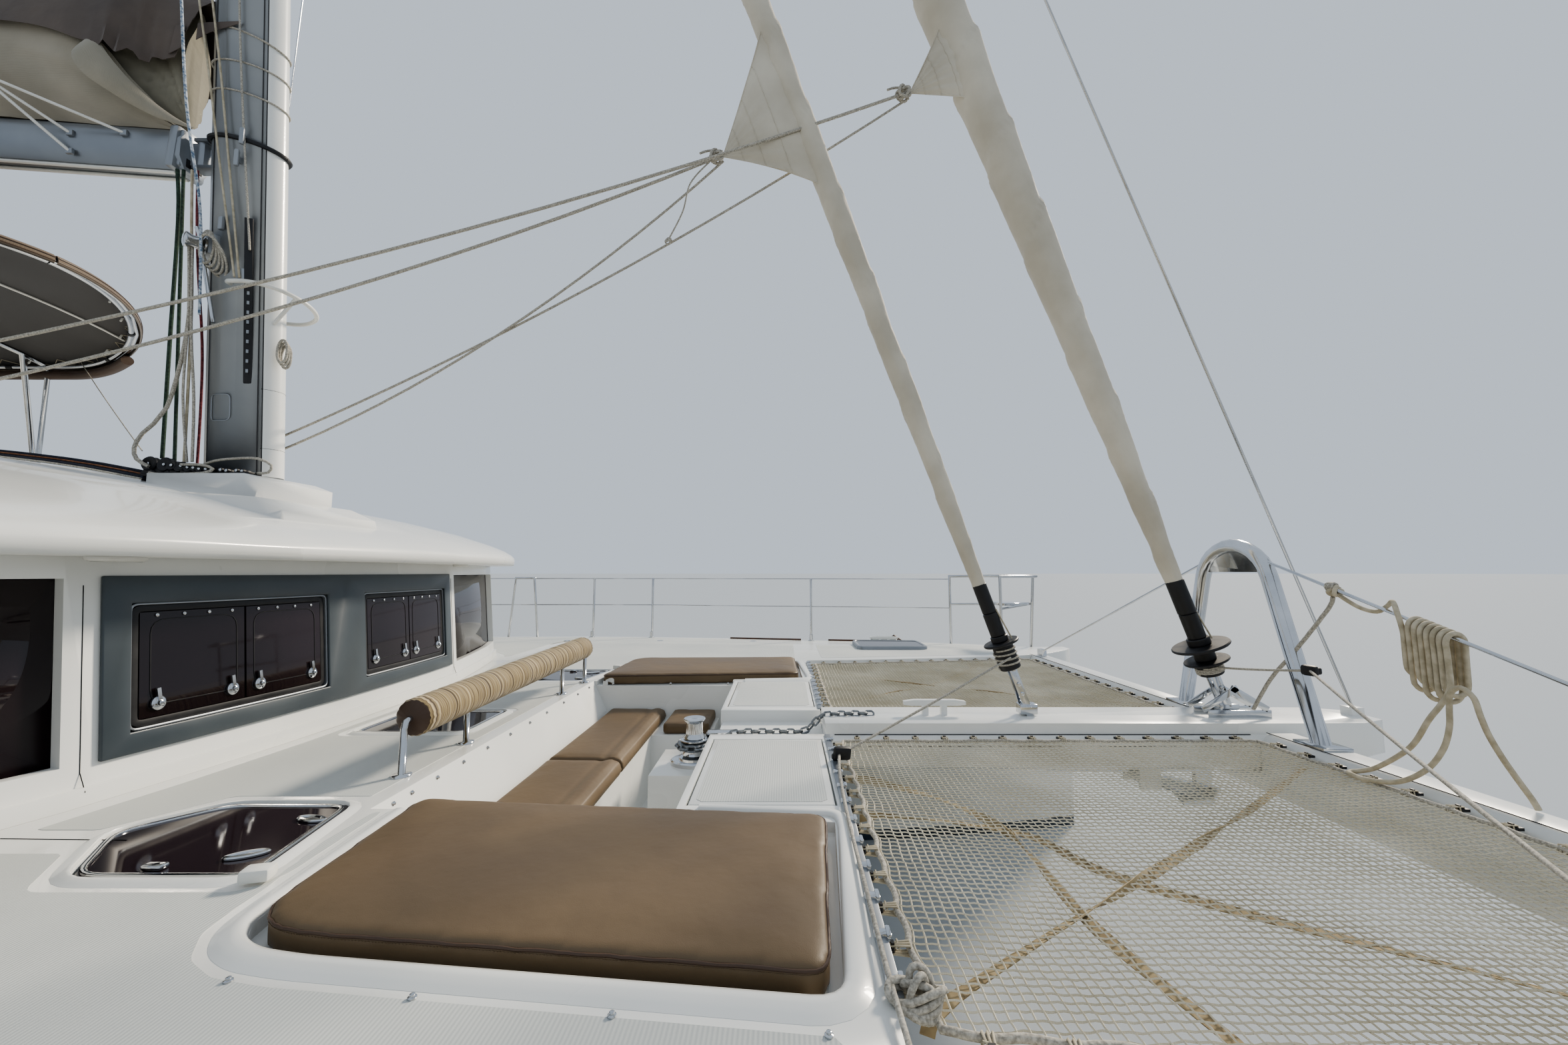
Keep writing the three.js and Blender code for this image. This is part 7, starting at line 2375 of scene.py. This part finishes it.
def sheerY(x):
    table = deckFittings["sheer"]
    for (x0, y0), (x1, y1) in zip(table, table[1:]):
        if x <= x1:
            return y0 + (y1 - y0) * (x - x0) / (x1 - x0)
    return table[-1][1]


addDeckFittings()


# webbing bands that hang under the net, twisted in places
def addBands():
    bands = {"starboard": [[(4.47, -1.80), (4.532, -1.735), (4.893, -1.478), (5.092, -1.348), (5.75, -0.90),
        (6.31, -0.50)], [(4.47, -0.62), (4.74, -0.806), (4.893, -1.058), (4.902, -1.459), (4.921, -1.626),
        (4.98, -1.90)], [(4.47, -0.95), (4.918, -1.069), (5.101, -1.333), (5.7, -1.75), (5.95, -2.04)]],
        "port": [[(4.47, 1.60), (5.2, 1.1), (6.3, 0.45)], [(4.48, 0.5), (5.3, 1.2), (5.9, 2.0)]]}
    for side, paths in bands.items():
        meshes = []
        for n, points in enumerate(paths):
            path = smoothPath([(x, y, 1.566) for x, y in points], 0.03)
            rows = []
            for i, point in enumerate(path):
                along = (path[min(i + 1, len(path) - 1)] - path[max(0, i - 1)]).normalized()
                twist = 0.35 * sin(i * 0.11 + n) + (pi * max(0.0, sin(i * 0.045 + n)) ** 8)
                flat = along.cross(Vector((0, 0, 1))).normalized()
                wide = flat * cos(twist) + Vector((0, 0, 1)) * sin(twist)
                thin = along.cross(wide).normalized()
                ends = 0.014 * min(1, i / 3, (len(path) - 1 - i) / 3)
                point = point + Vector((0, 0, -0.012 * sin(i / len(path) * pi) + ends))
                half = 0.0135 + 0.003 * rough(point.x, point.y, n, 0.1)
                rows.append([point + wide * half + thin * 0.0012, point - wide * half + thin * 0.0012,
                    point - wide * half - thin * 0.0012, point + wide * half - thin * 0.0012])
            meshes.append(gridMesh("band", rows, around=True, caps=True))
        addPiece("net_bands_" + side, joinedMesh("bands", meshes), "net_webbing", "net", angle=40)


addBands()
print("deck fittings done")


# the lashing line's coil at the net's corner, and the track with its slides
def addNetEnds():
    coil = []
    at = Vector((4.452, -1.80, 1.625))
    for k in range(4):
        ring = []
        for i in range(22):
            a = i / 21 * 2 * pi + k
            ring.append(at + Vector(((0.036 + 0.004 * k) * cos(a), (0.03 - 0.003 * k) * sin(a),
                0.008 * sin(2 * a + k) + 0.008 * k - 0.012)))
        coil.append((ring, 0.0065))
    coil.append((knotPath(at + Vector((0.006, 0.004, 0.012)), 0.026, 3, 0.7), 0.0065))
    addTubes("net_corner_knot", coil, "braided_polyester", "net", sides=8, wobble=0.005, wave=0.03)
    track = []
    for sense in (-1, 1):
        low, high = sorted((sense * 0.24, sense * 1.80))
        track.append(softBox("track", (0.026, high - low, 0.006), (4.421, (low + high) / 2, 1.6235), 0.002))
    addPiece("net_track", joinedMesh("track", track), *aluminium)
    slides = []
    for _, y, ax, _ in lashPoints(net["outline"]):
        if ax == -0.06:
            for sense in (-1, 1):
                slides.append((Vector((4.424, sense * y, 1.628)), (1, 0, 0), (0, 0, 1)))
    shape = joinedMesh("slide", [softBox("slide", (0.034, 0.022, 0.012), (0, 0, 0), 0.004),
        softBox("horn", (0.01, 0.034, 0.006), (0.012, 0, 0.005), 0.003)])
    addCopies("net_slides", shape, slides, *stainless)


addNetEnds()


# oval lamps under the roof's edge, and the roof's own seam
def addRoofDetails():
    lamps = []
    for y in (-0.98, 0.98):
        x = 2.1 - 0.065 * y * y + 0.03
        place, _ = hitOn(roofTree, (x, y, 2.2), (0, 0, 1))
        z = (place.z if place else 2.33) - 0.001
        lamp = stepped("lamp", ellipse(0.03, 0.095, 32),
            [(0, 0.0), (0, -0.008), (0.006, -0.014), (0.02, -0.016)])
        lamps.append(placed(lamp, (x, y, z), (0, 0, 1), (1, 0.1, 0)))
    addPiece("roof_edge_lamps", joinedMesh("lamps", lamps), "white_plastic", "gelcoat", angle=40)
    joints = []
    for sense in (-1, 1):
        points = []
        for i in range(12):
            place, normal = hitOn(wallTree, (3.4, sense, 1.66 + i * 0.058), (-1, 0, 0))
            if place:
                points.append(place + normal * 0.0004)
        joints.append((points, 0.0016))
    addTubes("wall_joints", joints, *nylon, sides=4)


addRoofDetails()
print("roof details done")

# joints, lashings and the mooring rope

# dark joints along the longeron's ledge, the beam's top and the bridgedeck's lockers
def addDeckJoints():
    lines = []
    for sense in (-1, 1):
        lines.append((taut((4.46, sense * 0.1595, 1.6005), (6.36, sense * 0.1595, 1.6005), 0, 2), 0.0022))
        lines.append((taut((4.46, sense * 0.2003, 1.560), (6.36, sense * 0.2003, 1.560), 0, 2), 0.0014))
        lines.append((taut((6.4005, sense * 0.20, 1.6205), (6.4005, sense * 2.26, 1.6205), 0, 2), 0.0018))
        lines.append((taut((2.107, sense * 1.217, 1.6205), (2.459, sense * 1.225, 1.6205), 0, 2), 0.0014))
    addTubes("deck_joints", lines, *nylon, sides=4)


addDeckJoints()

# a mooring rope made up into a hank that hangs from the striker wire: points of its free parts
hank = {
    "radius": 0.008,
    "start": (6.46, -0.786),
    "round": 0.036,
    "drops": [0.205, 0.245, 0.215, 0.255, 0.22, 0.24, 0.21, 0.2],
    "pitch": 0.0185,
    "lead": [(6.464, -0.517, 2.252), (6.480, -0.580, 2.205), (6.484, -0.645, 2.190), (6.478, -0.692, 2.215),
             (6.460, -0.728, 2.232), (6.436, -0.762, 2.195)],
    "bight": [(6.412, -0.925, 1.960), (6.396, -0.908, 1.905), (6.380, -0.882, 1.850), (6.360, -0.836, 1.748),
              (6.342, -0.745, 1.655), (6.328, -0.695, 1.622), (6.306, -0.675, 1.613), (6.284, -0.695, 1.612),
              (6.285, -0.755, 1.612), (6.315, -0.830, 1.632), (6.345, -0.890, 1.690), (6.364, -0.928, 1.765),
              (6.371, -0.947, 1.840), (6.373, -0.951, 1.905), (6.374, -0.957, 1.952), (6.375, -0.986, 1.975),
              (6.378, -1.015, 1.950), (6.388, -1.020, 1.895), (6.413, -1.016, 1.835), (6.447, -1.018, 1.765),
              (6.475, -1.030, 1.700), (6.492, -1.042, 1.655), (6.500, -1.048, 1.627)],
}


# each turn goes down on the near side, up on the far side and over the wire
def hankPath():
    x, y = hank["start"]
    r, coil = hank["round"], []
    for k, drop in enumerate(hank["drops"]):
        steps = [(-r, -0.25 * drop), (-r, -0.5 * drop), (-r, r - drop)]
        steps += [(-r * cos(i / 6 * pi), r - drop - r * sin(i / 6 * pi)) for i in range(1, 7)]
        steps += [(r, -0.6 * drop), (r, -0.35 * drop), (r, -r)]
        steps += [(r * cos(i / 6 * pi), -r + r * sin(i / 6 * pi)) for i in range(1, 7)]
        if k == len(hank["drops"]) - 1:
            steps = steps[:2]
        for i, (out, down) in enumerate(steps):
            at = y - hank["pitch"] * (k + i / 18)
            coil.append(Vector((x + out, at, wireZ(at) + 0.016 + down)))
    points = [Vector(p) for p in hank["lead"]] + coil + [Vector(p) for p in hank["bight"]]
    return smoothPath(points, 0.012)


def addHank():
    path = hankPath()
    rope = addTubes("mooring_rope", [(path, hank["radius"])], "polyester_webbing", "canvas", sides=10)
    knot = addTubes("mooring_rope_knot", [(knotPath((6.46, -0.512, 2.262), 0.02, 3, 0.7), hank["radius"])],
        "polyester_webbing", "canvas", sides=8)


addHank()
print("mooring rope done")
